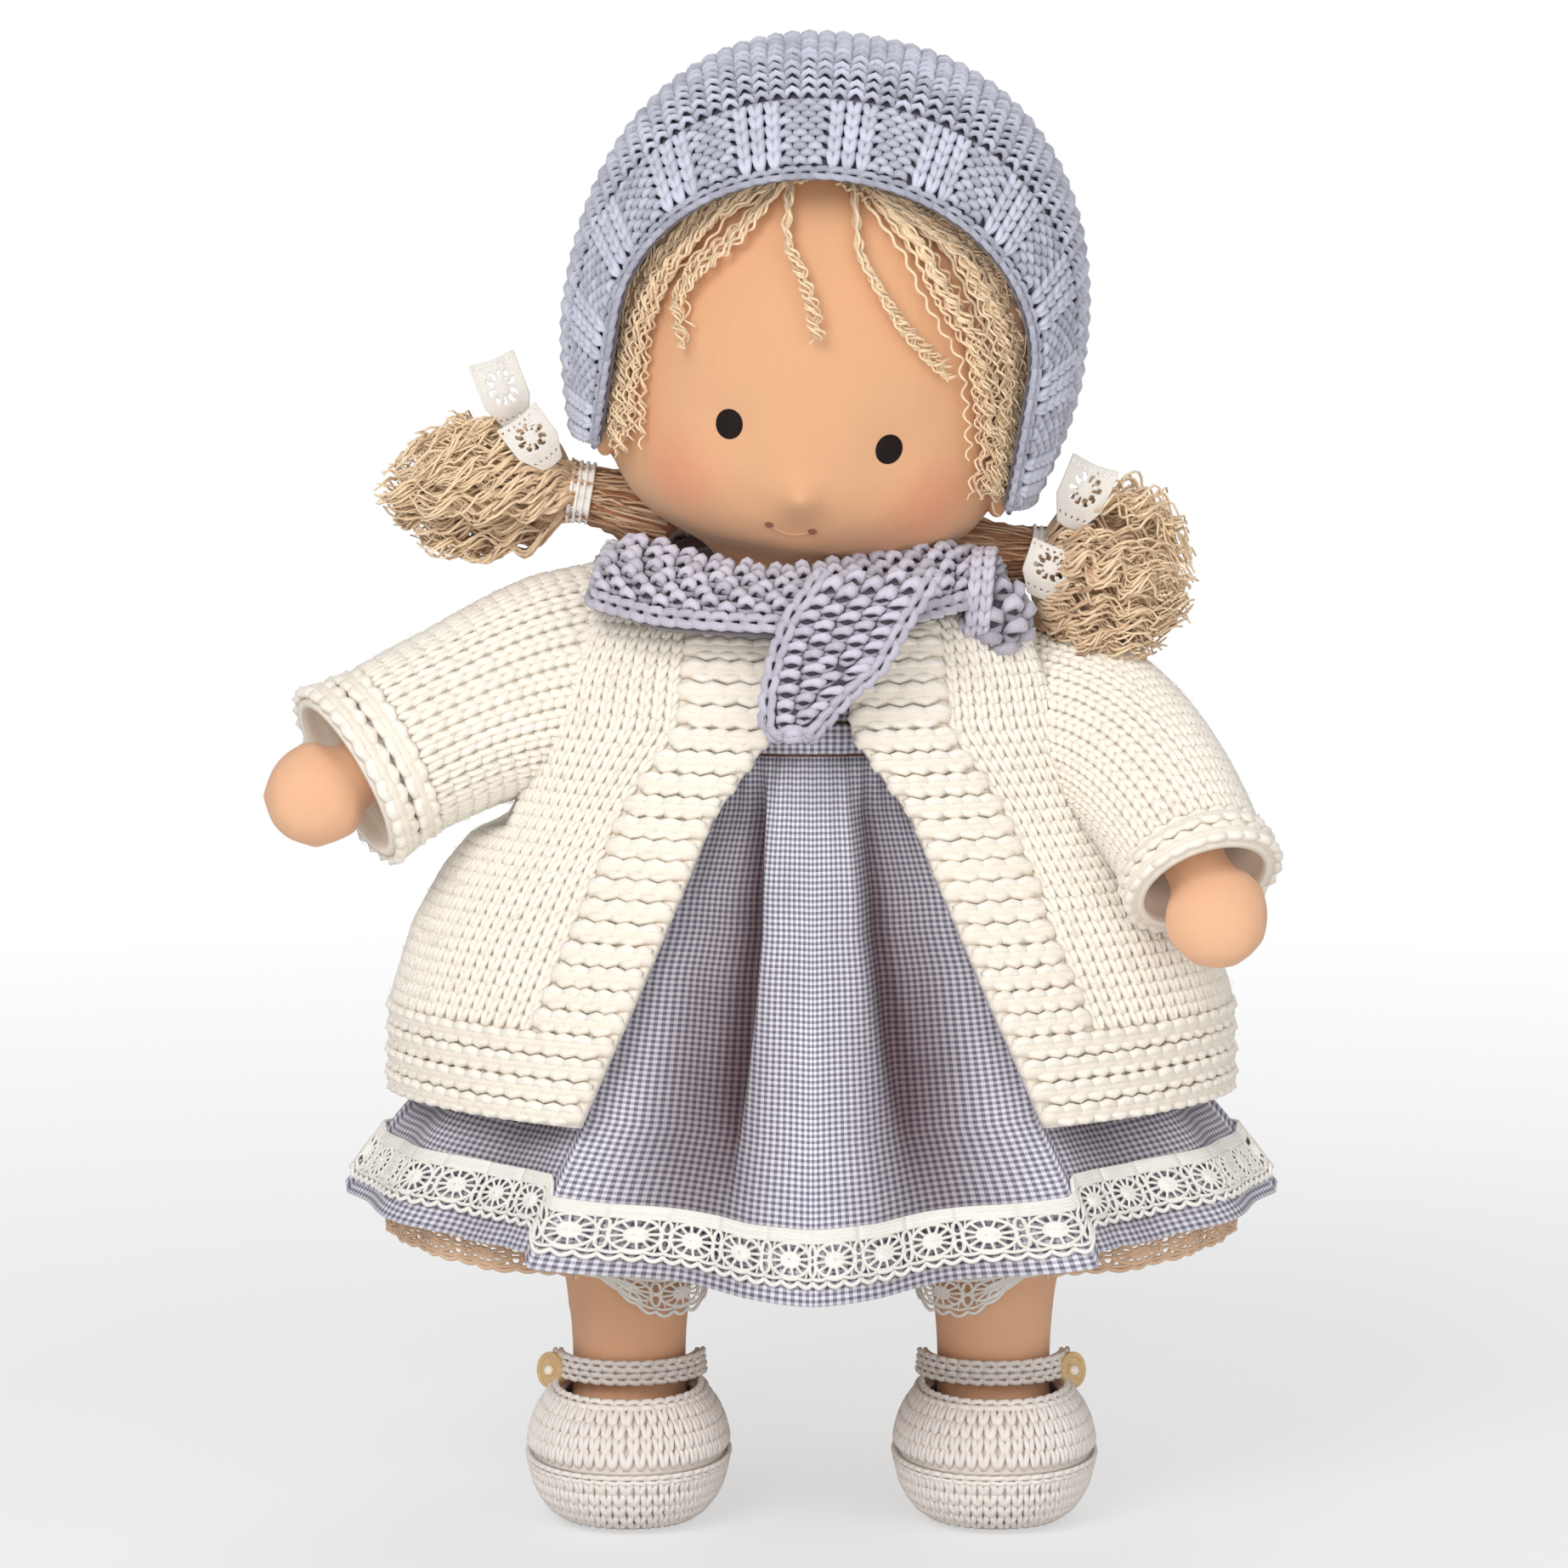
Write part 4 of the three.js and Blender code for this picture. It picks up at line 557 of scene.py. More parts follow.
def build_head():
    bag = Pieces()
    heights = CHIN_Z + (HEAD_TOP_Z - CHIN_Z) * (1 - np.cos(np.linspace(0.06, pi - 0.06, 40))) / 2
    inset = 1.0
    rings = [head_ring(-8, NECK_RADIUS - inset), head_ring(CHIN_Z + 1, NECK_RADIUS - inset)]
    rings += [head_ring(z, max(head_radius(z), NECK_RADIUS) - inset) for z in heights[3:]]
    loft(bag, [on_head(ring) for ring in rings])
    head = bag.build("head_jersey", FACE_JERSEY)
    stuff(head, 0.004, 0.0011, levels=2)
    return head


head = build_head()


# %% [markdown]
# ## The face
# Each swelling or hollow is a soft round push along the view, measured in the head's frame.

# %% Pushes on the face
def in_head(points):
    """Row frame in metres, back to millimetres in the head's frame."""
    away = (points - NECK) / MM
    return np.stack([away @ HEAD_LEFT, away @ HEAD_BACK, away @ HEAD_UP], -1)


FACE_PUSHES = [  # x, z, reach and how far forwards
    (0.0, 23.2, 4.3, 3.9), (-16.1, 35.4, 6.5, -1.3), (16.1, 35.4, 6.5, -1.3), (-24.0, 21.0, 9.5, 1.3),
    (24.0, 21.0, 9.5, 1.3), (0.0, 15.8, 5.0, -0.8), (0.0, 10.5, 5.5, 0.9), (0.0, 40.0, 8.0, -0.5),
]


def shape_face(head):
    points = in_head(spots_of(head.data))
    front = np.clip(-points[:, 1] / 20, 0, 1)
    for x, z, reach, push in FACE_PUSHES:
        away = (points[:, 0] - x) ** 2 + (points[:, 2] - z) ** 2
        points[:, 1] -= push * front * np.exp(-away / (2 * (reach / 1.6) ** 2))
    move_to(head, on_head(points))


shape_face(head)

# %% Where the face is
from mathutils import Vector
from mathutils.bvhtree import BVHTree

face_tree = BVHTree.FromObject(head, bpy.context.evaluated_depsgraph_get())


def on_face(x, z):
    """Point and normal of the face straight behind a place in the head's frame."""
    start = on_head([x, -80, z])
    point, normal, _, _ = face_tree.ray_cast(Vector(start), Vector(HEAD_BACK))
    return np.array(point), np.array(normal)


# %% [markdown]
# ## Eyes and mouth
# Both are embroidered: short straight stitches side by side for the eyes, one stem stitch for the mouth with a knot
# at each end. The eyes are small flat beads of thread, modelled from a sphere that is squashed onto the face.

# %% Eyes
def eye_thread():
    finish = Finish("eye_thread", 0.2, roughness=0.6)
    strands = finish.node("ShaderNodeTexWave", {"bands_direction": "Z"}, {
        "Vector": finish.place(), "Scale": 700.0, "Distortion": 1.0, "Detail": 1.0})
    finish.feed("Base Color", finish.mix(strands, colour(16, 8, 8), colour(34, 20, 18)))
    finish.bump(strands, 0.6, 0.0002)
    return finish.material


EYE_THREAD = eye_thread()
MOUTH_THREAD = yarn("mouth_thread", (232, 178, 138), (116, 64, 44), 3000.0, 0.2)


def pebble(name, centre, axes, sizes, material):
    """A sphere squashed to three sizes along three axes, with its place in its mesh."""
    bpy.ops.object.select_all(action="DESELECT")
    bpy.ops.mesh.primitive_uv_sphere_add(segments=32, ring_count=18, radius=1.0)
    piece = bpy.context.object
    piece.name = piece.data.name = name
    ball = spots_of(piece.data) * np.asarray(sizes)
    move_to(piece, np.asarray(centre) + ball @ np.asarray(axes))
    bpy.ops.object.shade_smooth()
    outwards(piece)
    piece.data.materials.append(material)
    return piece


EYE_X, EYE_Z, EYE_SIZE = {"eye_left": 15.6, "eye_right": -16.0}, 35.7, [0.0029, 0.0032, 0.0007]
for name, x in EYE_X.items():
    point, normal = on_face(x, EYE_Z)
    side = unit(np.cross(HEAD_UP, normal))
    eye = pebble(name + "_stitched", point, [side, np.cross(normal, side), normal], EYE_SIZE, EYE_THREAD)
    declare([eye], "head", "eye_thread", name)

# %% Mouth
MOUTH_X, MOUTH_Z, MOUTH_HALF, MOUTH_SAG = -0.9, 17.0, 4.3, 1.5


def build_mouth():
    share = np.linspace(-1, 1, 21)
    line = [on_face(MOUTH_HALF * s + MOUTH_X, MOUTH_Z - MOUTH_SAG * (1 - s * s)) for s in share]
    path = np.array([point + normal * 0.0001 for point, normal in line])
    up = np.array([normal for _, normal in line])
    smile = Pieces()
    smile.stamp(*tubes(path[None] - up[None] * 0.00008, 0.0002, 6, up[None]), 0.85)
    for end in (path[0], path[-1]):
        ring = np.linspace(0, pi, 7)
        knot = end + np.stack([np.zeros(7), np.zeros(7), 0.0006 * np.cos(ring)], 1)
        thick = 0.00085 * np.sin(ring)[None] + 0.00008
        smile.stamp(*tubes(knot[None], thick, 8, np.array([up[0]] * 7)[None]), 0.1)
    declare([smile.build("mouth_stitched", MOUTH_THREAD)], "head", "mouth_thread", "mouth_stitch")


build_mouth()

# %% Ears
EAR_SIZE, EAR_DENT = [0.0036, 0.0056, 0.0027], 0.0016
for side_name, sign in SIDES.items():
    centre = middle("ear_" + side_name)
    out = unit(sign * HEAD_LEFT - 0.2 * HEAD_BACK)
    fore = np.cross(HEAD_UP, out)
    ear = pebble("ear_knot_" + side_name, centre - out * 0.0006, [fore, HEAD_UP, out],
                 EAR_SIZE, FACE_JERSEY)
    points = spots_of(ear.data)
    away = points - centre - out * 0.002 - fore * 0.0004 * sign
    dent = np.exp(-(away ** 2).sum(1) / (2 * 0.0021 ** 2))
    move_to(ear, points - out * EAR_DENT * dent[:, None])
    declare([ear], "head", "skin", "ear_" + side_name)

declare([head], "head", "skin", "head_skin", "head_core", "neck_tie", fill=0.9)
print("face done")

# %% [markdown]
# ## Arms, legs and torso
# Each arm is a bag that follows a bent line from the armhole to a mitten hand. The legs are straight and end in a
# foot inside the shoe. The torso is hidden by the dress, but the doll can be undressed in the mind, so it is there.

# %% Limb bags
ARMS = {  # bend, wrist and hand from the armhole's middle, in millimetres
    "right": {"bend": (-16, -4, -3), "wrist": (-42, -16, -17), "hand": (-47, -18.5, -19.5)},
    "left": {"bend": (16.5, -12, -4), "wrist": (27.5, -33, -30), "hand": (29.5, -36.5, -35)},
}
ARMHOLE_TILT = math.radians(20)
ARM_ROOT_RISE = 4.2


def arm_line(name, count, rise=0.0):
    """Points, tangents and two cross axes along an arm, from armhole to wrist, in metres."""
    arm = ARMS[name]
    centre = np.array(joints["shoulder_" + name]["pos_m"])
    lift = np.array([-SIDES[name] * math.sin(ARMHOLE_TILT), 0, math.cos(ARMHOLE_TILT)])
    start = centre + lift * rise * MM
    bend, wrist = centre + np.array(arm["bend"]) * MM, centre + np.array(arm["wrist"]) * MM
    share = shares(count)[:, None]
    points = (1 - share) ** 2 * start + 2 * share * (1 - share) * bend + share ** 2 * wrist
    tangents = unit(2 * (1 - share) * (bend - start) + 2 * share * (wrist - bend))
    across = unit(Y_WAY - tangents * tangents[:, 1:2])
    return points, tangents, across, np.cross(tangents, across)


def limb_ring(centre, high, deep, up=X_WAY, across=Y_WAY, sides=28):
    angle = open_turn(sides)[:, None]
    return centre + MM * (high * np.cos(angle) * up + deep * np.sin(angle) * across)


def build_arm(name):
    points, tangents, across, ups = arm_line(name, 12, ARM_ROOT_RISE)
    radii = np.linspace(9.5, 7.4, 12) - 0.8
    rings = [limb_ring(points[i], radii[i], radii[i], ups[i], across[i]) for i in range(12)]
    centre = np.array(joints["shoulder_" + name]["pos_m"]) + np.array(ARMS[name]["hand"]) * MM
    for share in np.linspace(-0.35, 0.995, 14):
        swell = math.sqrt(1 - share * share)
        spot = centre + tangents[-1] * 12 * MM * share
        rings.append(limb_ring(spot, 11.4 * swell - 0.5, 9.2 * swell - 0.5 * swell, ups[-1], across[-1]))
    bag = Pieces()
    loft(bag, rings)
    arm = bag.build("arm_jersey_" + name, LIMB_JERSEY)
    stuff(arm, 0.0026, 0.0009)
    declare([arm], "arm_" + name, "skin", "arm_skin_" + name, "arm_stuffing_" + name, fill=0.8)


for name in ARMS:
    build_arm(name)

# %% Legs
LEG_CURVE = [(91.0, 3.0), (88.0, 10.0), (82.0, 15.8), (74.0, 18.2), (60.0, 16.4), (46.0, 13.6), (36.0, 12.6),
             (28.0, 12.4), (22.0, 12.6)]
FOOT_CURVE = [(18.0, 13.6, 18.0, -6.0), (14.0, 15.6, 22.3, -9.0), (10.0, 14.0, 20.0, -9.0), (6.5, 8.0, 12.0, -9.0)]


def build_leg(side):
    hip = np.array(joints["hip_" + side]["pos_m"])
    curve = [(z, radius, radius, 0) for z, radius in LEG_CURVE] + FOOT_CURVE
    rings = [limb_ring(np.array([hip[0], y * MM, z * MM]), half_width - 0.6, half_length - 0.6)
             for z, half_width, half_length, y in curve]
    bag = Pieces()
    loft(bag, rings)
    leg = bag.build("leg_jersey_" + side, LIMB_JERSEY)
    stuff(leg, 0.0032, 0.0008)
    declare([leg], "leg_" + side, "skin", "leg_skin_" + side, "leg_stuffing_" + side, fill=0.8)


for side in SIDES:
    build_leg(side)

# %% Torso
TORSO_CURVE = [(93.5, 42, 23), (98, 48.5, 27), (107, 47.5, 28), (121, 39.5, 26), (138, 33, 21.5), (150, 33, 21.5),
               (160, 34, 21), (172, 43, 17), (179, 38, 16.5), (184.5, 25, 16)]


def build_torso():
    bag = Pieces()
    loft(bag, [limb_ring(on_body([0, 0, z]), wide - 1.0, deep - 1.0) for z, wide, deep in TORSO_CURVE])
    torso = bag.build("torso_jersey", LIMB_JERSEY)
    stuff(torso, 0.005, 0.0008)
    declare([torso], "torso", "skin", "torso_skin", "torso_stuffing", fill=0.8)


build_torso()

# %% [markdown]
# ## Stitches
# Two bits of yarn make all the knitting here. A knit stitch shows two legs of a V. A purl stitch shows the arch
# that joins two columns. Garter ridges are arches and upturned arches in turn, and crochet shows small firm Vs.
# Each bit is modelled once, for a cell of one stitch, with only a few dozen faces.

# %% Bits of yarn
def bit(path, radius, cell, sides=6):
    """A bent piece of yarn in millimetres, returned in shares of its cell with heights in metres."""
    path = np.asarray(path, float)[None]
    up = np.broadcast_to(Z_WAY, path.shape)
    copies, faces = tubes(path, np.asarray(radius, float)[None], sides, up)
    return copies[0] / np.array([cell[0], cell[1], 1 / MM]), faces


def knit_legs(width, height, thick=0.27, sides=5):
    r = thick * width
    legs = []
    for sign in (-1, 1):
        path = [(sign * x * width, y * height, z * r) for x, y, z in (
            (0.05, -0.2, -0.4), (0.15, 0.2, 0.5), (0.27, 0.72, 0.5), (0.33, 1.15, -0.4))]
        legs.append(bit(path, np.array([0.65, 1, 1, 0.65]) * r, (width, height), sides))
    return legs


def arch(width, height, thick=0.3, turned=1.0, rise=0.4, sides=5):
    r = thick * height
    path = [(x * width, turned * (y - 0.5) * rise * height, z * r) for x, y, z in (
        (-0.5, 0.0, -0.6), (-0.3, 0.72, 0.4), (0.0, 1.0, 0.8), (0.3, 0.72, 0.4), (0.5, 0.0, -0.6))]
    return [bit(path, np.array([0.6, 0.95, 1, 0.95, 0.6]) * r, (width, height), sides)]


def cast(pieces, surface, shapes, u, v, cell_u, cell_v, lift=0.0, tone=0.5, spread=0.12):
    """Stamp stitches at places u, v of a surface, in cells of those shares."""
    u, v = np.atleast_1d(u)[:, None], np.atleast_1d(v)[:, None]
    shade = scatter(-spread, spread, len(u))[:, None]
    for shape, faces in shapes:
        points = surface.at(u + shape[:, 0] * cell_u, v + shape[:, 1] * cell_v, shape[:, 2] + lift)
        top = np.abs(shape[:, 2]).max()
        # painted shade: the lower the yarn lies in its stitch, the lower its tone and the darker it is; the spread is
        # each stitch's own random tone
        pieces.stamp(points, faces, tone + shade + 0.3 * shape[:, 2] / top)


print("stitches ready")

# %% [markdown]
# ## Gingham and lace
# Gingham is woven from light and dark bundles of thread, so its checks follow the cloth. Lace is thread: scallops,
# nets and flowers are drawn once in a flat cell and sewn round the hem as tubes, so that the cloth behind shows
# through the holes.

# %% Cloth finishes
CHECK = 0.00125  # one light and one dark bundle
# painted shade, multiplied into cloth where it lies in folds
PAINTED_FOLD_SHADE = colour(132, 112, 112)


def woven(name, light, middle_tone, dark, check=0.0):
    """Plain weave from three colours; with a check, gingham."""
    light, middle_tone, dark = (colour(*tint) for tint in (light, middle_tone, dark))
    finish = Finish(name, 0.15, roughness=0.88, sheen_weight=0.12, sheen_roughness=0.5)
    flat = finish.node("ShaderNodeUVMap", {"uv_map": "cloth"})
    grain = finish.noise(3500.0, 2.0)
    if check:
        split = finish.node("ShaderNodeSeparateXYZ", None, {0: flat})
        other = Value(finish, split.socket.node.outputs[1])
        counted = [value * (1 / check) for value in (split, other)]
        warp, weft = [value.math("FRACT", value) > 0.5 for value in counted]
        tint = finish.mix(weft, finish.mix(warp, light, middle_tone), finish.mix(warp, middle_tone, dark))
    else:
        tint = finish.mix(grain, light, middle_tone)
    tint = finish.mix(finish.noise(90.0, 2.0) * 0.3, tint, finish.mix(1.0, tint, dark, "MULTIPLY"))
    # painted fold shade: where the tone attribute is below 1, the cloth is mixed towards its colour times the fold
    # shade
    deep = finish.mix(1.0, tint, PAINTED_FOLD_SHADE, "MULTIPLY")
    finish.feed("Base Color", finish.mix(finish.attribute("tone"), deep, tint))
    finish.bump(grain, 0.3, 0.0003)
    return finish.material


GINGHAM = woven("gingham", (252, 250, 253), (196, 193, 208), (124, 118, 134), CHECK)
COTTON = woven("cotton", (240, 232, 220), (220, 206, 188), (180, 160, 140))
# painted shade: tan cotton is the cotton as it looks in the shade under the skirt
TAN_COTTON = woven("tan_cotton", (224, 206, 186), (198, 176, 152), (150, 126, 104))


def lay_flat(piece, surface):
    """Give a closed slab its cloth map: metres across and along the sheet."""
    width, length = surface.width(0.5), surface.length()
    columns, rows = surface.points.shape[:2]
    u, v = np.meshgrid(np.linspace(0, width, columns), np.linspace(0, length, rows), indexing="ij")
    flat = np.tile(np.stack([u[:-1].reshape(-1), v[:-1].reshape(-1)], 1), (2, 1))
    mesh = piece.data
    corner = np.empty(len(mesh.loops), np.int32)
    mesh.loops.foreach_get("vertex_index", corner)
    quads = flat[corner].reshape(-1, 4, 2)
    crossing = np.ptp(quads[:, :, 0], axis=1) > width / 2
    quads[crossing, :, 0] += np.where(quads[crossing, :, 0] < width / 2, width, 0)
    layer = mesh.uv_layers.new(name="cloth")
    layer.data.foreach_set("uv", quads.reshape(-1).astype(np.float32))


def cloth(name, surface, wall, material, body, slot_name, node, tones=1.0):
    """A round of cloth with a map. Tones below 1 are painted shade in the folds."""
    sheet = Pieces()
    sheet.add(*slab(surface, -wall * MM, closed=True), tones=tones)
    piece = sheet.build(name, material)
    lay_flat(piece, surface)
    declare([piece], body, slot_name, node)
    return piece


# %% Sewing lace
def sew(pieces, surface, paths, repeats, radius, sides=5, tone=0.75):
    """Sew thread paths, given in shares of a cell, round a surface. Each path point is x, y and lift in millimetres."""
    for path in paths:
        u, v = (np.arange(repeats)[:, None] + path[:, 0]) / repeats % 1.0, path[:, 1]
        threads = tubes(surface.at(u, v, path[:, 2] * MM), radius, sides, surface.out(u, v))
        pieces.stamp(*threads, tone + scatter(-0.1, 0.1, (repeats, 1)))


def straight_path(y, lift):
    """A thread across a whole cell and a little into the next."""
    return np.stack([np.linspace(0, 1.02, 9), np.full(9, y), np.full(9, lift)], 1)


def oval_path(x, y, half_x, half_y, lift, count):
    turn = np.linspace(0.0, 2 * pi, count)
    return np.stack([x + half_x * np.cos(turn), y + half_y * np.sin(turn), np.full(count, lift)], 1)


def flower_paths(x, y, half_x, half_y, petals=12):
    """Ring, spokes and a padded middle."""
    spokes = []
    for turn in open_turn(petals) + 0.13:
        share = np.linspace(0.42, 1.0, 4)
        lift = np.array([0.3, 0.4, 0.35, 0.2])
        spokes.append(np.stack([x + half_x * share * math.cos(turn), y + half_y * share * math.sin(turn), lift], 1))
    middle_rings = [oval_path(x, y, half_x * share, half_y * share, 0.3, 13) for share in (0.42, 0.3, 0.18, 0.06)]
    return spokes, middle_rings, [oval_path(x, y, half_x, half_y, 0.25, 21)]


def net_paths(low, high, count=5):
    """Slanted threads both ways, at the two sides of a cell."""
    share = shares(7)
    lines = []
    for k in (0, count - 1):
        for lean in (-1, 1):
            x = (k + 0.5) / count + lean * (share - 0.5) * 0.16
            lines.append(np.stack([x, low + (high - low) * share, 0.1 + 0.1 * np.cos(share * 14)], 1))
    return lines


def scallop_paths(y, depth, count=3):
    share = shares(7)
    return [np.stack([(k + share) / count, y - depth * np.sin(pi * share), np.full(7, 0.2)], 1)
            for k in range(count)]


def build_lace(name, surface, repeats, thread, thick=0.31, header=0.22):
    """Lace from its scalloped edge, v 0, to its solid header, v 1."""
    lace = Pieces()
    foot, top, thick = 0.17, 1 - header, thick * MM
    spokes, hearts, rings = flower_paths(0.5, (top + foot) / 2, 0.43, (top - foot) / 2 - 0.01)
    links = [oval_path(1.0, y, 0.09, 0.11, 0.2, 11) for y in (0.32, top - 0.14)]
    layers = [  # paths, thickness, sides and tone
        (scallop_paths(0.1, 0.09), 1.5, 5, 0.9), (scallop_paths(foot, 0.03), 1.2, 5, 0.8), (spokes, 1.05, 4, 0.85),
        (hearts, 1.35, 4, 0.92), (rings, 1.25, 4, 0.85), (links, 1.0, 5, 0.75),
        (net_paths(0.15, top + 0.03), 0.8, 4, 0.6),
        ([straight_path(y, 0.1) for y in np.linspace(top + 0.02, 0.985, 4)], 1.5, 5, 0.8)]
    for paths, share, sides, tone in layers:
        sew(lace, surface, paths, repeats, thick * share, sides, tone)
    return lace.build(name, thread)


print("lace and gingham ready")

# %% [markdown]
# ## The gathered skirt
# This is the piece that takes the most skill. A wide flared cut is gathered into the waistband: tiny gathers there,
# a few deep pleats in front, and a rolling hem that dips on each fold. A simulation gives some such skirt, but not
# this one, so the folds are placed where the photograph has them and the cloth follows.

# %% Skirt form
SKIRT_TOP_Z = 156.6
SKIRT_SHARES = [0, 0.1, 0.26, 0.42, 0.72, 0.84, 1]
SKIRT_WIDE = [37.1, 43.1, 56.2, 65.0, 73.0, 81.5, 90.0]
SKIRT_DEEP = [24.55, 29.6, 37.7, 43.9, 51.0, 57.5, 64.0]
HEM_ACROSS = [0, 14, 28, 40, 53, 54.5, 70, 90]
HEM_FRONT_Z = [55.0, 55.2, 56.8, 57.8, 59.2, 61.6, 61.4, 64.2]
FOLD_AT = np.radians([0, 21, 40, 54, 66, 80, 94, 110, 126, 144, 162, 180])  # ridge, valley, ridge from the front
PLEATS = [(-8, -13, -20, 5.6, 0.7), (7, 15, 24, 4.2, 3.0)]  # across at top, middle and hem, depth, and softness
PANEL_EDGE, PANEL_STEP, LACE_STEP = math.radians(39), 3.2, 0.016  # the front panel lies over the side panels


def fold_depth(share):
    return 5.6 * (0.35 * share + 0.65 * share ** 4)


def skirt_base(turn, share, z, grow):
    """A point of the skirt's cone; turn 0 is the front and runs towards the doll's left."""
    wide = np.interp(share, SKIRT_SHARES, SKIRT_WIDE) + grow
    deep = np.interp(share, SKIRT_SHARES, SKIRT_DEEP) + grow
    round_power = 2 / (2 - 0.25 * np.minimum(1, 3 * share))
    x, y = fuller_round(turn, round_power)
    return np.stack([wide * x, deep * y, np.broadcast_to(z, np.shape(x + wide))], -1)


def skirt_hem(turn):
    across = 90 * np.abs(np.sin(turn)) ** 1.143
    front = np.interp(across, HEM_ACROSS, HEM_FRONT_Z)
    back = 51 + 15 * np.abs(np.sin(turn)) ** 3
    return np.where(np.cos(turn) > 0, front, back)


def panel_step(turn):
    """1 just behind the front panel's edges, fading round to the back."""
    away = np.abs(turn) - PANEL_EDGE
    return smooth_step(-0.004, 0.03, away) * (1 - smooth_step(0.25, 0.8, away))


def skirt_folds(turn, share):
    phase = np.interp(np.abs(turn), FOLD_AT, np.arange(len(FOLD_AT)) * pi)
    calm = 1 - 0.7 * smooth_step(0.72, 0.86, np.abs(turn)) * (1 - smooth_step(1.65, 1.9, np.abs(turn)))
    wave = np.cos(phase) * calm
    folds = fold_depth(share) * (wave + 0.8 * (1 - calm)) + 1.9 * np.sin(pi * share) ** 0.8 * (wave - 1) / 2
    across = np.interp(share, SKIRT_SHARES, SKIRT_WIDE) * fuller_round(turn, 1.1)[0]
    front = smooth_step(0.2, 0.6, np.cos(turn))
    for top, mid, hem, depth, soft in PLEATS:
        edge = np.interp(share, [0, 0.5, 1], [top, mid, hem])
        side = np.sign(mid)
        away = (across - edge) * side
        strength = smooth_step(0.0, 0.14, share) * (1 - smooth_step(0.55, 0.92, share))
        groove = np.exp(-np.clip(away - soft, 0, None) / 5.5) * smooth_step(-soft, soft, away)
        folds = folds - depth * strength * groove * front
    folds = folds - PANEL_STEP * panel_step(turn) * smooth_step(0.45, 0.9, share)
    gathers = np.exp(-share / 0.14) * (np.cos(70 * turn + np.sin(5 * turn)) - 1) * 0.45
    small = 0.35 * np.sin(pi * share) * (np.cos(31 * turn + 1.7 * np.sin(3 * turn)) - 1)
    return folds + (gathers + small) * smooth_step(0.0, 0.02, share)


def skirt_surface(columns, rows, low=0.0, high=1.0, grow=0.0, step=0.0):
    turn = full_turn(columns)
    share = np.linspace(high, low, rows)[None, :] - step * panel_step(turn)
    z = SKIRT_TOP_Z + (skirt_hem(turn) - SKIRT_TOP_Z) * share
    return Surface(on_body(skirt_base(turn, share, z, skirt_folds(turn, share) + grow)))


# %% Skirt and its lace
LACE_LOW, LACE_HIGH = 0.968, 0.866
skirt_cloth = skirt_surface(600, 40)
skirt_turn, skirt_share = full_turn(600)[:-1], np.linspace(1, 0, 40)[None, :]
skirt_depth = skirt_folds(skirt_turn, skirt_share) - fold_depth(skirt_share)
# painted shade: the deeper a fold lies, the lower its tone, less so near the hem
skirt_painted_shade = np.clip(1.08 + skirt_depth * (1 - 0.8 * skirt_share ** 4) / 6.5, 0.0, 1)
skirt = cloth("skirt_gingham", skirt_cloth, 0.5, GINGHAM, "torso", "gingham", "dress_skirt",
              np.tile(skirt_painted_shade.reshape(-1), 2))
skirt_lace = build_lace("skirt_lace_threads", skirt_surface(640, 12, LACE_HIGH, LACE_LOW, 1.0, LACE_STEP), 46,
                        LACE_THREAD)
declare([skirt_lace], "torso", "lace", "skirt_lace")
declare_sheet(skirt, skirt_cloth, ["waistband_gingham"])

# %% Waistband and bodice
def ring_surface(stops, columns, rows, grow, gathers=0, depth=0.0):
    """A band through level ovals: height, half width and half depth in millimetres."""
    stops = np.asarray(stops, float)
    turn = full_turn(columns)
    z = np.linspace(stops[0, 0], stops[-1, 0], rows)[None, :]
    wave = grow + depth * (np.cos(gathers * turn) - 1) if gathers else grow
    wide = np.interp(z, stops[:, 0], stops[:, 1]) + wave
    deep = np.interp(z, stops[:, 0], stops[:, 2]) + wave
    return sheet_at(wide * np.sin(turn), -deep * np.cos(turn), z)


TORSO_STOPS = sorted(TORSO_CURVE)
waist_cloth = ring_surface([(157, 36.6, 24.1), (160, 37.3, 24.7), (163, 37.0, 24.2)], 260, 12, 0.0, 40, 0.15)
cloth("waistband_gingham", waist_cloth, 0.9, GINGHAM, "torso", "gingham", "dress_waistband")
bodice_stops = [stop for stop in TORSO_STOPS if 164 < stop[0] < 182]
bodice_cloth = ring_surface([(163.4, 36.2, 20.6), *bodice_stops, (181.5, 33.0, 16.3)], 160, 24, 1.4)
bodice = cloth("bodice_gingham", bodice_cloth, 0.8, GINGHAM, "torso", "gingham", "dress_bodice")
declare_sheet(bodice, bodice_cloth, ["torso_jersey"])

# %% [markdown]
# ## Petticoat and bloomers
# Both stay under the skirt. Of the petticoat only its lace shows at the sides, painted tan for the shade under the
# skirt, and of the bloomers only the lace points on the legs. They are whole pieces all the same.

# %% Petticoat
PETTICOAT_HEM_Z, PETTICOAT_LACE_DROP = 64.0, 7.0


def petticoat_surface(low, high, close=0.0, columns=360, rows=40, ruffle=0.5):
    """Under the skirt, close to it at the sides. The heights may change with the angle."""
    turn = full_turn(columns)
    z = low + (high - low) * shares(rows)[None, :] + 0 * turn
    share = np.minimum(1, (SKIRT_TOP_Z - z) / (SKIRT_TOP_Z - skirt_hem(turn)))
    beside = close * smooth_step(0.6, 0.95, np.abs(np.sin(turn)))
    room = fold_depth(share) + PANEL_STEP * panel_step(turn) + 3.4 + 4.5 * np.sin(pi * share) ** 0.6
    room = room * np.minimum(1, share * 9) * (1 - beside)
    wave = ruffle * share * np.cos(34 * turn)
    return Surface(on_body(skirt_base(turn, share, z, -1.9 - room + wave)))


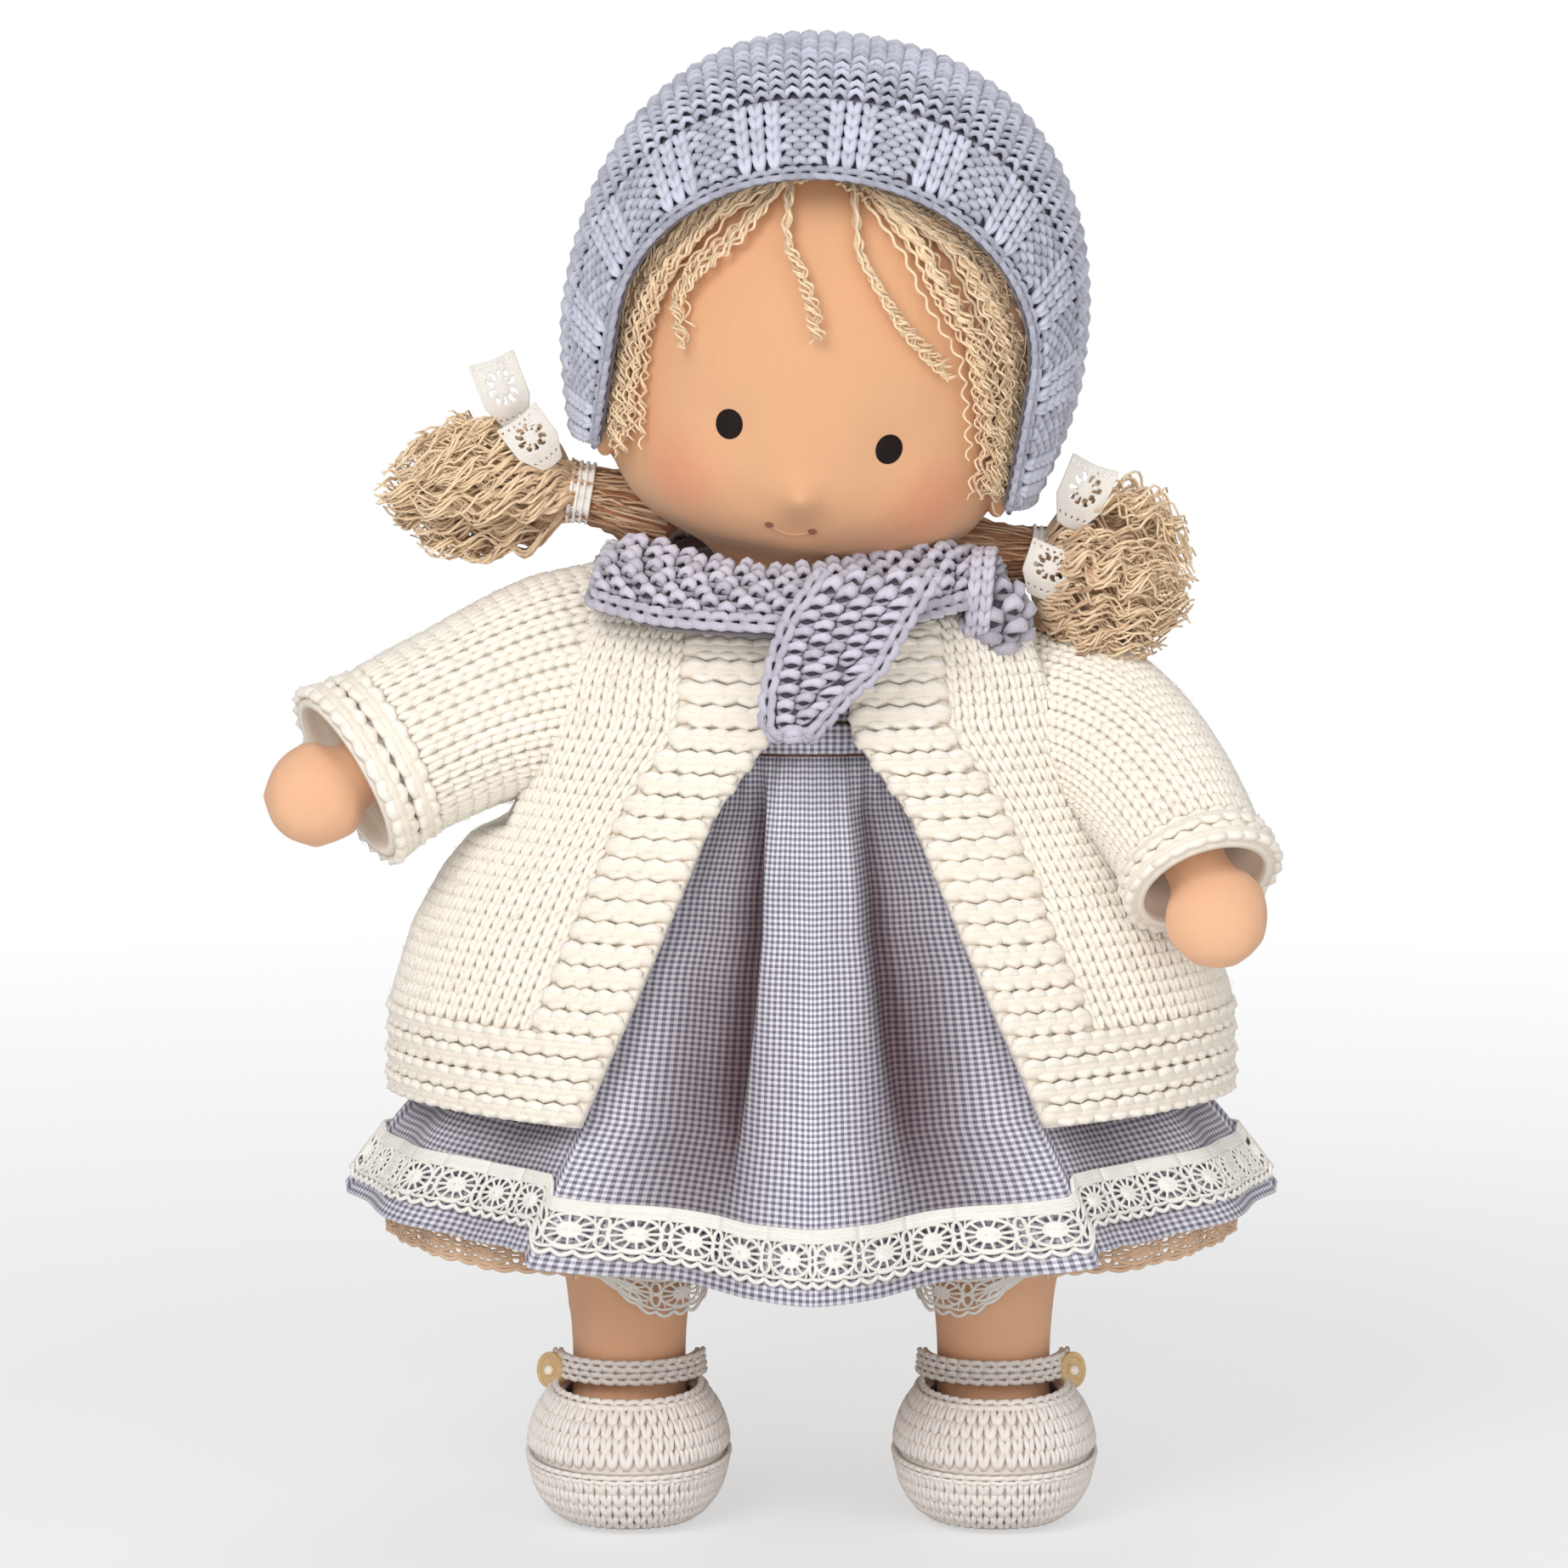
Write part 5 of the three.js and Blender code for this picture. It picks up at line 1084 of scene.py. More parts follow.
petticoat_cloth = petticoat_surface(PETTICOAT_HEM_Z, SKIRT_TOP_Z - 0.4, 0.0, 240, 24)
petticoat = cloth("petticoat_cotton", petticoat_cloth, 0.5, TAN_COTTON, "torso", "petticoat", "petticoat")
hem_turn = full_turn(360)
lace_low = np.minimum(skirt_hem(hem_turn) - PETTICOAT_LACE_DROP, 60.5)
lace_low = np.where(np.abs(hem_turn) < PANEL_EDGE, 57.0, lace_low)
petticoat_lace = build_lace("petticoat_lace_threads", petticoat_surface(lace_low, lace_low + 6.6, 0.7), 36, TAN_THREAD,
                            0.33, 0.2)
declare([petticoat_lace], "torso", "petticoat", "petticoat_lace")
declare_sheet(petticoat, petticoat_cloth, ["waistband_gingham"])

# %% Bloomers
seat_stops = [stop for stop in TORSO_STOPS if 93 < stop[0] < 126]
seat_cloth = ring_surface([(92.8, 41.5, 22.4), *seat_stops, (126, 37.9, 24.9)], 160, 30, 1.2)
seat = cloth("bloomers_seat_cotton", seat_cloth, 0.6, COTTON, "torso", "lace", "bloomers_seat")
declare_sheet(seat, seat_cloth, ["torso_jersey"])

LEG_X = 37  # a leg's distance from the body's middle
BLOOMER_CURVE = [(52.0, 16.6), (53.5, 18.0), (58.0, 18.9), (63.0, 19.0), (68.0, 18.6)]


def leg_surface(side, curve, columns=120, rows=20, gathers=18, depth=0.35, drop=None):
    """Cloth round a leg; drop shortens it at the bottom by angle."""
    sign = SIDES[side]
    curve = np.asarray(curve, float)
    turn = full_turn(columns)
    share = shares(rows)[None, :]
    low = curve[0, 0] + (drop(turn * sign) if drop else 0)
    z = low + (curve[-1, 0] - low) * share + 0 * turn
    radius = np.interp(z, curve[:, 0], curve[:, 1]) + depth * (np.cos(gathers * turn) - 1)
    return sheet_at(LEG_X * sign + radius * np.sin(turn), -radius * np.cos(turn), z)


def point_drop(turn):
    """Bloomer lace hangs in a point on the inner front of the leg and is short elsewhere."""
    away = np.abs(np.angle(np.exp(1j * (turn + 0.62))))
    return 8.6 * smooth_step(0.2, 1.1, away)


for side in SIDES:
    leg_cloth = leg_surface(side, BLOOMER_CURVE)
    leg_piece = cloth("bloomer_cotton_" + side, leg_cloth, 0.6, COTTON, "leg_" + side, "lace", "bloomer_leg_" + side)
    lace_cloth = leg_surface(side, [(41.6, 16.6), (46.0, 16.8), (52.0, 16.8)], 120, 12, 12, 0.2, point_drop)
    leg_lace = build_lace("bloomer_lace_threads_" + side, lace_cloth, 9, LACE_THREAD, 0.26, 0.3)
    declare([leg_lace], "leg_" + side, "lace", "bloomer_lace_" + side)
    declare_sheet(leg_piece, leg_cloth, ["leg_jersey_" + side])


# %% [markdown]
# ## The cardigan
# Thick cream yarn: back and fronts in stockinette, whose V columns run down, with garter ridges along the front edges
# and the hem. Each panel is a grid between its edges. Where a sleeve is set in, the panel is pulled flat to the
# armhole, and the stitches that the sleeve hides are left out.

# %% A knitted sheet
def knitted(name, surface, walls, tone, stitches, body, nodes, slot_name, rests_on, closed=False):
    """The ground that a knitted piece is worked on, with its stitches lying on it; the ground's flat size is printed.
    """
    ground = Pieces()
    # painted shade: the ground takes the given tone, low for the bonnet and the scarf, so that the gaps between the
    # stitches look dark
    ground.add(*slab(surface, walls[0] * MM, walls[1] * MM, closed), tones=tone)
    sheet = ground.build(name, stitches[0].data.materials[0])
    declare([sheet], body, slot_name)
    declare(stitches, body, slot_name, *nodes)
    declare_sheet(sheet, surface, rests_on)


# %% Cardigan form
COAT_TOP_Z, COAT_HEM_Z = 188.0, 86.0
COAT_POWER = 2 / 1.75
COAT_STOPS = np.array([  # height, half width, half depth
    (188, 41, 22), (185, 47, 27), (180, 51.5, 31), (172, 55.5, 34), (163, 58, 36), (146.8, 62, 39), (139.9, 66.5, 41),
    (131, 73.9, 45), (119.9, 80, 49.5), (105.3, 84.5, 55.5), (86, 85, 60)])[::-1]
EDGE_DROP = [0, 0.25, 0.41, 0.65, 1]
EDGE_GAP = [6, 8.2, 20.2, 30.9, 46.9]
ARMHOLES = {"right": ((-51, 0, 168), 27), "left": ((50, 0, 162), 32)}
SLEEVES = {"right": (22, 18.5, 17.5, 14.5), "left": (18, 16, 14, 15)}  # half heights along the arm, and half depth
BAND_WIDE, HEM_TALL, GARTER = 19.0, 16.5, 4.7
STITCH_WIDE, STITCH_TALL, RIDGE_WIDE = 3.4, 2.8, 4.2


def armhole_normal(name):
    return np.array([SIDES[name] * math.cos(ARMHOLE_TILT), 0, math.sin(ARMHOLE_TILT)])


def flatten_armholes(points):
    """Pull what lies past an armhole's plane back to it; also 1 where the sleeve then covers a point."""
    points, hidden = points.copy(), np.zeros(points.shape[:-1])
    for name, (centre, drop) in ARMHOLES.items():
        normal = armhole_normal(name)
        past = np.maximum((points - np.array(centre)) @ normal + 0.6, 0)
        past = past * smooth_step(centre[2] - drop - 3, centre[2] - drop + 1, points[..., 2])
        points -= past[..., None] * normal
        rise = (points - np.array(centre)) @ np.array([-normal[2] * np.sign(normal[0]), 0, abs(normal[0])])
        high, _, _, deep = SLEEVES[name]
        covered = (rise / high) ** 2 + (points[..., 1] / deep) ** 2 < 0.72
        hidden = np.maximum(hidden, covered * np.minimum(past / 2.0, 1))
    return points, hidden


def coat_point(turn, z):
    wide, deep = (np.interp(z, COAT_STOPS[:, 0], COAT_STOPS[:, k]) for k in (1, 2))
    x, y = fuller_round(turn, COAT_POWER)
    return np.stack([wide * x, deep * y, z], -1)


def edge_turn(z):
    """Angle of the front edge at a height."""
    gap = np.interp((COAT_TOP_Z - z) / (COAT_TOP_Z - COAT_HEM_Z), EDGE_DROP, EDGE_GAP)
    return np.arcsin((gap / np.interp(z, COAT_STOPS[:, 0], COAT_STOPS[:, 1])) ** (1 / COAT_POWER))


def panel_surface(part, columns=70, rows=60):
    heights = np.linspace(COAT_HEM_Z, COAT_TOP_Z, 200)
    column = coat_point(np.full(200, 0.8 if part != "back" else pi), heights)
    heights = evenly(column, rows)[:, 2]
    rings = []
    for z in heights:
        edge, side_seam = edge_turn(z), pi / 2
        low, high = {"left": (edge, side_seam), "right": (-side_seam, -edge), "back": (side_seam, 3 * side_seam)}[part]
        rings.append(evenly(coat_point(np.linspace(low, high, 240), np.full(240, z)), columns))
    points, hidden = flatten_armholes(np.array(rings).transpose(1, 0, 2))
    surface = Surface(on_body(points))
    surface.hidden = np.repeat(hidden[..., None], 3, axis=-1)
    return surface


# %% Knitting a panel
def garter(pieces, surface, low_u, high_u, v, cell_v, wide, tone=0.74):
    """One garter ridge from one share of u to another: a soft roll with the bumps of its stitches on it."""
    count = max(1, round((high_u - low_u) * surface.width(v) / (wide * MM)))
    cell = (high_u - low_u) / count
    along = np.linspace(low_u, high_u, 4 * count + 1)
    puff = 1 + 0.07 * np.cos(np.arange(len(along)) * pi / 2 + scatter(0, 6))
    path, up = surface.at(along, v, -0.75 * MM), surface.out(along, v)
    # painted shade: the roll under the bumps and the upturned arches are painted a little darker
    pieces.stamp(*tubes(path[None], (0.36 * GARTER * MM * puff)[None], 10, up[None]), tone - 0.05)
    u = low_u + (np.arange(count) + 0.5) * cell + scatter(-0.1, 0.1, count) * cell
    over, under = arch(wide, GARTER, 0.24, 1.0, 0.3), arch(wide, GARTER, 0.22, -1.0, 0.3)
    cast(pieces, surface, over, u, v + 0.16 * cell_v, cell * 1.25, cell_v, -0.35 * MM, tone)
    u = u[:-1] + 0.5 * cell
    cast(pieces, surface, under, u, v - 0.2 * cell_v, cell * 1.2, cell_v, -0.45 * MM, tone - 0.06)


def fuzz(pieces, surface, count, tone=0.9):
    """Loose fibres that stand off the yarn."""
    u, v = scatter(0.01, 0.99, (count, 1)), scatter(0.01, 0.99, (count, 1))
    share = shares(4)[None, :]
    reach = rng.normal(0, 1.6 * MM, (2, count, 1)) * share
    lift = (0.2 + scatter(0.2, 1.1, (count, 1)) * np.sin(share * scatter(1.2, 2.6, (count, 1)))) * MM
    places = surface.at(u + reach[0] / surface.width(0.5), v + reach[1] / surface.length(), lift)
    places = places[surface.sample(surface.hidden, u[:, 0], v[:, 0])[:, 0] < 0.3]
    pieces.stamp(*tubes(places, 0.045 * MM, 3), tone)


def stockinette(pieces, surface, low_u, high_u, columns, v, cell_v, tone=0.8):
    cell = (high_u - low_u) / columns
    u = low_u + (np.arange(columns) + 0.5) * cell
    u = u[surface.sample(surface.hidden, u, v)[:, 0] < 0.5]
    if len(u):
        stitch = knit_legs(STITCH_WIDE, STITCH_TALL, 0.28, 4)
        cast(pieces, surface, stitch, u, v - 0.5 * cell_v, cell, cell_v, -0.8 * MM, tone)


def build_panel(part, node):
    surface = panel_surface(part)
    length = surface.length()
    knit = Pieces()
    v, cell_v = 0.0, GARTER * MM / length
    while v < HEM_TALL * MM / length:
        garter(knit, surface, 0.0, 1.0, v + 0.5 * cell_v, cell_v, RIDGE_WIDE)
        v += cell_v
    start = v

    def band(v):
        """Shares of the front band and of the plain knitting beside it."""
        wide = 0.0 if part == "back" else min(0.85, BAND_WIDE * MM / surface.width(v))
        return ((1 - wide, 1.0), (0.0, 1 - wide)) if part == "right" else ((0.0, wide), (wide, 1.0))

    while part != "back" and v + cell_v <= 1.0:
        garter(knit, surface, *band(v)[0], v + 0.5 * cell_v, cell_v, RIDGE_WIDE)
        v += cell_v
    v, cell_v = start, STITCH_TALL * MM / length
    columns = round(surface.width(0.35) / (STITCH_WIDE * MM)) - (0 if part == "back" else 5)
    while v + 0.6 * cell_v <= 1.0:
        middle_v = v + 0.5 * cell_v
        stockinette(knit, surface, *band(middle_v)[1], columns, middle_v, cell_v)
        v += cell_v
    fuzz(knit, surface, 700)
    stitches = [knit.build("cardigan_knit_" + part, CREAM_YARN)]
    knitted("cardigan_ground_" + part, surface, (-3.4, -1.0), 0.8, stitches, "torso", [node], "cardigan_knit",
            ["bodice_gingham", "skirt_gingham"])


build_panel("left", "cardigan_left_front")
build_panel("right", "cardigan_right_front")
build_panel("back", "cardigan_back")

# %% [markdown]
# ## Sleeves
# A sleeve is knitted in the round, so its columns run along the arm, and it ends in two garter ridges for the cuff.

# %% Sleeves and cuffs
CUFF_LONG, CUFF_ROLL = 6.5, 1.2


def sleeve_surface(name, columns=72, rows=40):
    mouth, mid, end, depth = SLEEVES[name]
    points, tangents, across, ups = arm_line(name, rows)
    share = shares(rows)
    inside = np.linspace(-13, 0, 11, endpoint=False)[:, None] * MM
    points = np.concatenate([points[0] + inside * tangents[0], points])
    share, across, ups = (np.concatenate([np.repeat(line[:1], 11, axis=0), line]) for line in (share, across, ups))
    high = np.interp(share, [0, 0.5, 1], [mouth, mid, end])
    deep = depth * (1.16 - 0.16 * share)
    length = steps_of(points).sum() / MM
    roll = CUFF_ROLL * smooth_step(1 - CUFF_LONG / length, 1 - 0.6 * CUFF_LONG / length, share)
    turn = pi - np.linspace(0, 2 * pi, columns)[:, None, None]
    rings = points[None] + MM * (
        (high + roll)[:, None] * np.cos(turn) * ups + (deep + roll)[:, None] * np.sin(turn) * across)
    centre, normal = np.array(joints["shoulder_" + name]["pos_m"]), armhole_normal(name)
    behind = np.minimum((rings - centre) @ normal + 9.0 * MM, 0)
    surface = Surface(rings - behind[..., None] * normal)
    surface.hidden = np.repeat(np.minimum(-behind / (2 * MM), 1)[..., None], 3, axis=-1)
    return surface


def build_sleeve(name):
    surface = sleeve_surface(name)
    length = surface.length()
    knit = Pieces()
    columns = round(surface.width(0.5) / (STITCH_WIDE * MM))
    stop = 1 - (CUFF_LONG + 1.0) * MM / length
    rows = round(stop * length / (STITCH_TALL * MM))
    for k in range(rows):
        stockinette(knit, surface, 0.0, 1.0, columns, (k + 0.5) * stop / rows, stop / rows)
    cell_v = (1 - stop) / 2
    for k in range(2):
        garter(knit, surface, 0.0, 1.0, stop + (k + 0.5) * cell_v, cell_v, RIDGE_WIDE)
    fuzz(knit, surface, 500)
    stitches = [knit.build("sleeve_knit_" + name, CREAM_YARN)]
    knitted("sleeve_ground_" + name, surface, (-2.6, -1.0), 0.8, stitches, "arm_" + name,
            ["sleeve_" + name, "cuff_" + name], "cardigan_knit", ["arm_jersey_" + name], True)


for name in ARMS:
    build_sleeve(name)

# %% [markdown]
# ## The scarf
# A seed-stitch band round the neck, edged with a chain, with a leaf-shaped tail pulled through a knitted keeper.
# The collar leans on the coat below and on the chin above, so its edges change height and width round the neck.

# %% Collar
COLLAR_X = -6.0
COLLAR_TURN = np.radians([0, 35, 58, 75, 90, 110, 150, 180])
COLLAR_TOP_Z = [194.0, 196.0, 199.5, 196, 191.8, 191.5, 196, 197]
COLLAR_TOP_R = [26, 27, 31, 36, 38, 36, 31, 30]
COLLAR_EDGE_Z = [183.3, 184, 186.2, 188.6, 188.4, 188, 188, 188]
COLLAR_EDGE_R = [42, 43, 44, 44, 43, 42, 40, 39]
SCARF_WIDE, SCARF_TALL = 3.9, 3.5


def collar_surface(columns=180, rows=26):
    turn = np.linspace(-pi, pi, columns)
    bend = np.abs(turn)
    low = np.stack([np.interp(bend, COLLAR_TURN, COLLAR_EDGE_R), np.interp(bend, COLLAR_TURN, COLLAR_EDGE_Z)], 1)
    high = np.stack([np.interp(bend, COLLAR_TURN, COLLAR_TOP_R), np.interp(bend, COLLAR_TURN, COLLAR_TOP_Z)], 1)
    share = shares(rows)[None, :, None]
    bulge = 3.2 * np.sin(pi * share) * np.array([0.8, 0.6])
    profile = low[:, None] + (high - low)[:, None] * share + bulge
    across, ahead = np.sin(turn)[:, None], -np.cos(turn)[:, None]
    points = np.stack([COLLAR_X + profile[..., 0] * across, profile[..., 0] * ahead, profile[..., 1]], -1)
    return Surface(on_body(flatten_armholes(points)[0]))


def chain(pieces, surface, line, wide, tall, tone=0.75, lift=0.0):
    """A chain edge along a line of places u, v: slanted bits one after the other, on two sides."""
    line = np.asarray(line, float)
    u, v = line[:, 0], line[:, 1]
    along = distances(surface.at(u, v))
    count = max(3, round(along[-1] / (wide * MM)))
    centre = np.linspace(0, along[-1], count)

    def place(spot):
        spot = np.clip(spot, 0, along[-1])
        return np.interp(spot, along, u), np.interp(spot, along, v)

    for sign in (-1, 1):
        paths = []
        for share, rise, out in ((-0.65, 0.0, 0.08), (-0.2, 0.55, 0.3), (0.25, 0.55, 0.36), (0.7, 0.0, 0.12)):
            here = np.clip(centre + share * wide * MM, 0, along[-1])
            ahead = surface.at(*place(here + 0.2 * MM)) - surface.at(*place(here - 0.2 * MM))
            side = unit(np.cross(surface.sample(surface.normals, *place(here)), unit(ahead)))
            spot = surface.at(*place(here), (lift + rise * tall * 0.5) * MM)
            paths.append(spot + side * sign * tall * MM * out)
        pieces.stamp(*tubes(np.stack(paths, 1), tall * 0.27 * MM, 6), tone + scatter(-0.1, 0.1, (count, 1)))


def seed_stitches(pieces, surface, u, v, cell_u, cell_v, wide, tall, tone):
    """One row of bumps, every second one half a row higher, with darker links between them: the links are painted
    shade, the bumps painted a little lighter.
    """
    rise = (0.5 * (np.arange(len(u)) % 2) - 0.25) * cell_v
    spot = u + scatter(-0.1, 0.1, len(u)) * cell_u
    height = v + rise + scatter(-0.07, 0.07, len(u)) * cell_v
    bump, link = arch(wide, tall, 0.33, 1.0, 0.35), arch(wide, tall, 0.2, -1.0, 0.4)
    cast(pieces, surface, bump, spot, height, 0.92 * cell_u, cell_v, 0.3 * MM, tone + 0.12, 0.22)
    cast(pieces, surface, link, u, v + rise - 0.48 * cell_v, cell_u, cell_v, -0.4 * MM, tone - 0.3)


def seed_sheet(pieces, surface, wide, tall, low=0.0, high=1.0, tone=0.6):
    rows = max(1, round((high - low) * surface.length() / (tall * MM)))
    cell_v = (high - low) / rows
    for k in range(rows):
        v = low + (k + 0.5) * cell_v
        count = max(2, round(surface.width(v) / (wide * MM)))
        seed_stitches(pieces, surface, (np.arange(count) + 0.5) / count, v, 1 / count, cell_v, wide, tall, tone)


def build_collar():
    surface = collar_surface()
    knit = Pieces()
    seed_sheet(knit, surface, 3.6, 3.0, 0.2, 0.99)
    chain(knit, surface, level_line(0.09, 240), 3.4, 3.4)
    stitches = [knit.build("scarf_collar_knit", SCARF_YARN)]
    knitted("scarf_collar_ground", surface, (-3.2, -0.8), 0.06, stitches, "torso", ["scarf_collar"], "scarf_knit",
            ["cardigan_ground_back"], True)


build_collar()

# %% Tail
TAIL_LEFT = [(163.2, -5.5), (165, -9.4), (172, -9.6), (179, -8.6), (187, -5.5), (194.5, 0.5)]
TAIL_RIGHT = [(163.2, -1.2), (166, 2.0), (172, 8.0), (177, 14.5), (187.4, 20.5), (194.5, 25.5)]


def tail_surface(columns=40, rows=40):
    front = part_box("scarf_tail")[0][1] / MM + 0.6
    z = np.linspace(TAIL_LEFT[0][0], TAIL_LEFT[-1][0], rows)
    left = np.interp(z, *np.array(TAIL_LEFT).T)
    right = np.interp(z, *np.array(TAIL_RIGHT).T)
    share = shares(columns)[:, None]
    x = left + (right - left) * share
    y = front + np.interp(z, [z[0], 191, z[-1]], [0.0, 2.6, 6.0]) + 1.6 * (2 * share - 1) ** 2
    return sheet_at(x, y, z)


def build_tail():
    surface = tail_surface()
    knit = Pieces()
    rows = round(surface.length() / (SCARF_TALL * MM))
    for k in range(rows):
        v = (k + 0.5) / rows
        wide = surface.width(v)
        inset = min(0.3, 3.0 * MM / wide)
        count = max(1, round(wide * (1 - 2 * inset) / (SCARF_WIDE * MM)))
        cell = (1 - 2 * inset) / count
        u = inset + (np.arange(count) + 0.5) * cell
        seed_stitches(knit, surface, u, v, cell, 1 / rows, SCARF_WIDE, SCARF_TALL, 0.62)
    share, inset = shares(60), 1.6 * MM / surface.width(0.6)
    rim = np.concatenate([np.stack([1 - inset + 0 * share, 1 - share], 1),
                          np.stack([1 - share, 0.03 + 0 * share], 1)[5:-5],
                          np.stack([inset + 0 * share, share], 1)])
    chain(knit, surface, rim, 3.4, 3.2)
    stitches = [knit.build("scarf_tail_knit", SCARF_YARN)]
    knitted("scarf_tail_ground", surface, (-3.0, -0.7), 0.06, stitches, "scarf_tail", ["scarf_tail"], "scarf_knit",
            ["scarf_keeper_knit"])


build_tail()

# %% Keeper
def build_keeper():
    centre = middle("scarf_loop") / MM - X_WAY * BODY_X / MM
    turn = full_turn(60)
    rise = np.linspace(-1.25, 1.25, 20)[None, :]
    bunch = sheet_at(centre[0] + 2.5 + 7.2 * np.cos(rise) * np.sin(turn),
                     centre[1] - 1.5 - 6.0 * np.cos(rise) * np.cos(turn), centre[2] - 0.6 + 7.4 * np.sin(rise))
    knit = Pieces()
    # painted shade: the grounds of the bunch and of the strap are nearly the shadow colour, for the gaps between the
    # stitches
    knit.add(*slab(bunch, -4.2 * MM, -0.7 * MM, closed=True), tones=0.05)
    seed_sheet(knit, bunch, 4.4, 3.7, 0.02, 0.98, 0.42)
    share = shares(24)[None, :]
    across = np.linspace(-1, 1, 9)[:, None]
    arc = pi * (share - 0.5) * 1.15
    strap = sheet_at(centre[0] - 1.5 + 2.6 * across + 3 * share, centre[1] - 9.5 * np.cos(arc),
                     centre[2] + 3.5 + 9.0 * np.sin(arc))
    knit.add(*slab(strap, -1.6 * MM, -0.4 * MM), tones=0.15)
    rows = round(strap.length() / (3.2 * MM))
    for k in range(rows):
        cast(knit, strap, knit_legs(2.6, 3.2, 0.3), np.array([0.26, 0.74]), k / rows, 0.5, 1 / rows, 0.2 * MM, 0.65)
    declare([knit.build("scarf_keeper_knit", SCARF_YARN)], "torso", "scarf_knit", "scarf_loop")


build_keeper()

# %% [markdown]
# ## The bonnet
# It is knitted from the face backwards: an edge row, a band of blocks where three knit ribs and a patch of purl
# take turns, and then purl ridges over the crown. So its grid runs along the face opening first, and back from
# there. Rows parallel to the opening then come by themselves.

# %% Bonnet form
BONNET_RADIUS, BONNET_RISE, BONNET_SPRING, BONNET_POWER = 51.0, 59.6, 52.0, 2.3
OPENING_HALF, OPENING_TOP, BONNET_EDGE, BONNET_TAPER = 41.5, 87.0, 26.0, 5.5
BONNET_STITCH, BONNET_ROW, BAND_ROWS = 3.3, 3.0, 5


def bonnet_radius(z):
    over = np.clip((z - BONNET_SPRING) / BONNET_RISE, 0, 1)
    under = np.clip((BONNET_SPRING - z) / (BONNET_SPRING - BONNET_EDGE), 0, 1)
    return BONNET_RADIUS * (1 - over ** BONNET_POWER) ** (1 / BONNET_POWER) - BONNET_TAPER * under ** 1.6


def upright_arch(half, top, low, count):
    """Outline of a door with a round head, from one foot over the top to the other."""
    turn = np.linspace(pi, 0, 90)
    head = np.stack([half * np.cos(turn), np.zeros(90), BONNET_SPRING + (top - BONNET_SPRING) * np.sin(turn)], 1)
    foot = np.stack([np.full(20, -half), np.zeros(20), np.linspace(low, BONNET_SPRING, 20, endpoint=False)], 1)
    return evenly(np.concatenate([foot, head, (foot * [-1, 1, 1])[::-1]]), count)


def bonnet_surface(columns=116, rows=68):
    edge = upright_arch(OPENING_HALF, OPENING_TOP, BONNET_EDGE, columns)
    heights = np.concatenate([np.linspace(BONNET_EDGE, BONNET_SPRING, 20, endpoint=False),
                              np.linspace(BONNET_SPRING, BONNET_SPRING + BONNET_RISE, 90)])
    half = np.stack([-bonnet_radius(heights), 0 * heights, heights], 1)
    crown = evenly(np.concatenate([half, (half * [-1, 1, 1])[::-1][1:]]), columns)
    spine = crown * [0.012, 1, 1]
    spine[:, 2] = BONNET_EDGE + (crown[:, 2] - BONNET_EDGE) * 0.62
    lines = []
    for front, top, end in zip(edge, crown, spine):
        share = np.sin(np.linspace(0, pi / 2, 60))[:, None]
        fore = front + (top - front) * share
        fore[:, 1] = -np.sqrt(np.maximum(bonnet_radius(fore[:, 2]) ** 2 - fore[:, 0] ** 2, 0))
        share = 1 - np.cos(np.linspace(0, pi / 2, 60))[1:, None]
        aft = top + (end - top) * share
        aft[:, 1] = np.sqrt(np.maximum(bonnet_radius(aft[:, 2]) ** 2 - aft[:, 0] ** 2, 0))
        lines.append(evenly(np.concatenate([fore, aft]), rows))
    return Surface(on_head(np.array(lines)))


bonnet_cloth = bonnet_surface()
print("bonnet", round(bonnet_cloth.width(0.0) * 1000), "by", round(bonnet_cloth.length() * 1000), "mm")

# %% Knit the bonnet
def bonnet_band(knit, cell_v):
    """Blocks of three knit ribs, and between them patches of purl bumps."""
    columns = round(bonnet_cloth.width(0.12) / (BONNET_STITCH * MM))
    cell_u = 1 / columns
    u = (np.arange(columns) + 0.5) * cell_u
    ribbed = (np.arange(columns) // 3) % 2 == 0
    ribs, bumps = knit_legs(3.2, BONNET_ROW, 0.27), arch(3.5, 2.2, 0.4, 1.0, 0.35)
    for k in range(BAND_ROWS):
        v = (k + 1.3) * cell_v
        cast(knit, bonnet_cloth, ribs, u[ribbed], v - 0.5 * cell_v, cell_u, cell_v, 0.45 * MM, 0.66)
        for half, shift in ((-0.25, 0.0), (0.25, 0.5)):
            spot = u[~ribbed] + (shift - 0.25) * cell_u
            cast(knit, bonnet_cloth, bumps, spot, v + half * cell_v, cell_u, cell_v * 0.72, 0.0, 0.5, 0.18)


def bonnet_crown(knit, cell_v):
    """Rows of purl bumps in columns, with a small upturned loop in each gap, painted dark as shade."""
    bump, gap = arch(3.5, 3.1, 0.27, 1.0, 0.5, 4), arch(2.4, 2.2, 0.24, -1.0, 0.4, 4)
    full = round(bonnet_cloth.width(0.4) / (3.5 * MM))
    v = (BAND_ROWS + 1.6) * cell_v
    while v < 1 - 0.4 * cell_v:
        wide = bonnet_cloth.width(v)
        columns = full if wide > 0.75 * full * 3.5 * MM else max(4, round(wide / (3.5 * MM)))
        u = (np.arange(columns) + 0.5 + scatter(-0.05, 0.05, columns)) / columns
        rows = v + scatter(-0.1, 0.1, columns) * cell_v
        cast(knit, bonnet_cloth, bump, u, rows, 1.04 / columns, cell_v, 0.3 * MM, 0.66, 0.2)
        cast(knit, bonnet_cloth, gap, u[:-1] + 0.5 / columns, v - 0.45 * cell_v, 0.9 / columns, cell_v * 0.8,
             -0.25 * MM, 0.3)
        v += cell_v


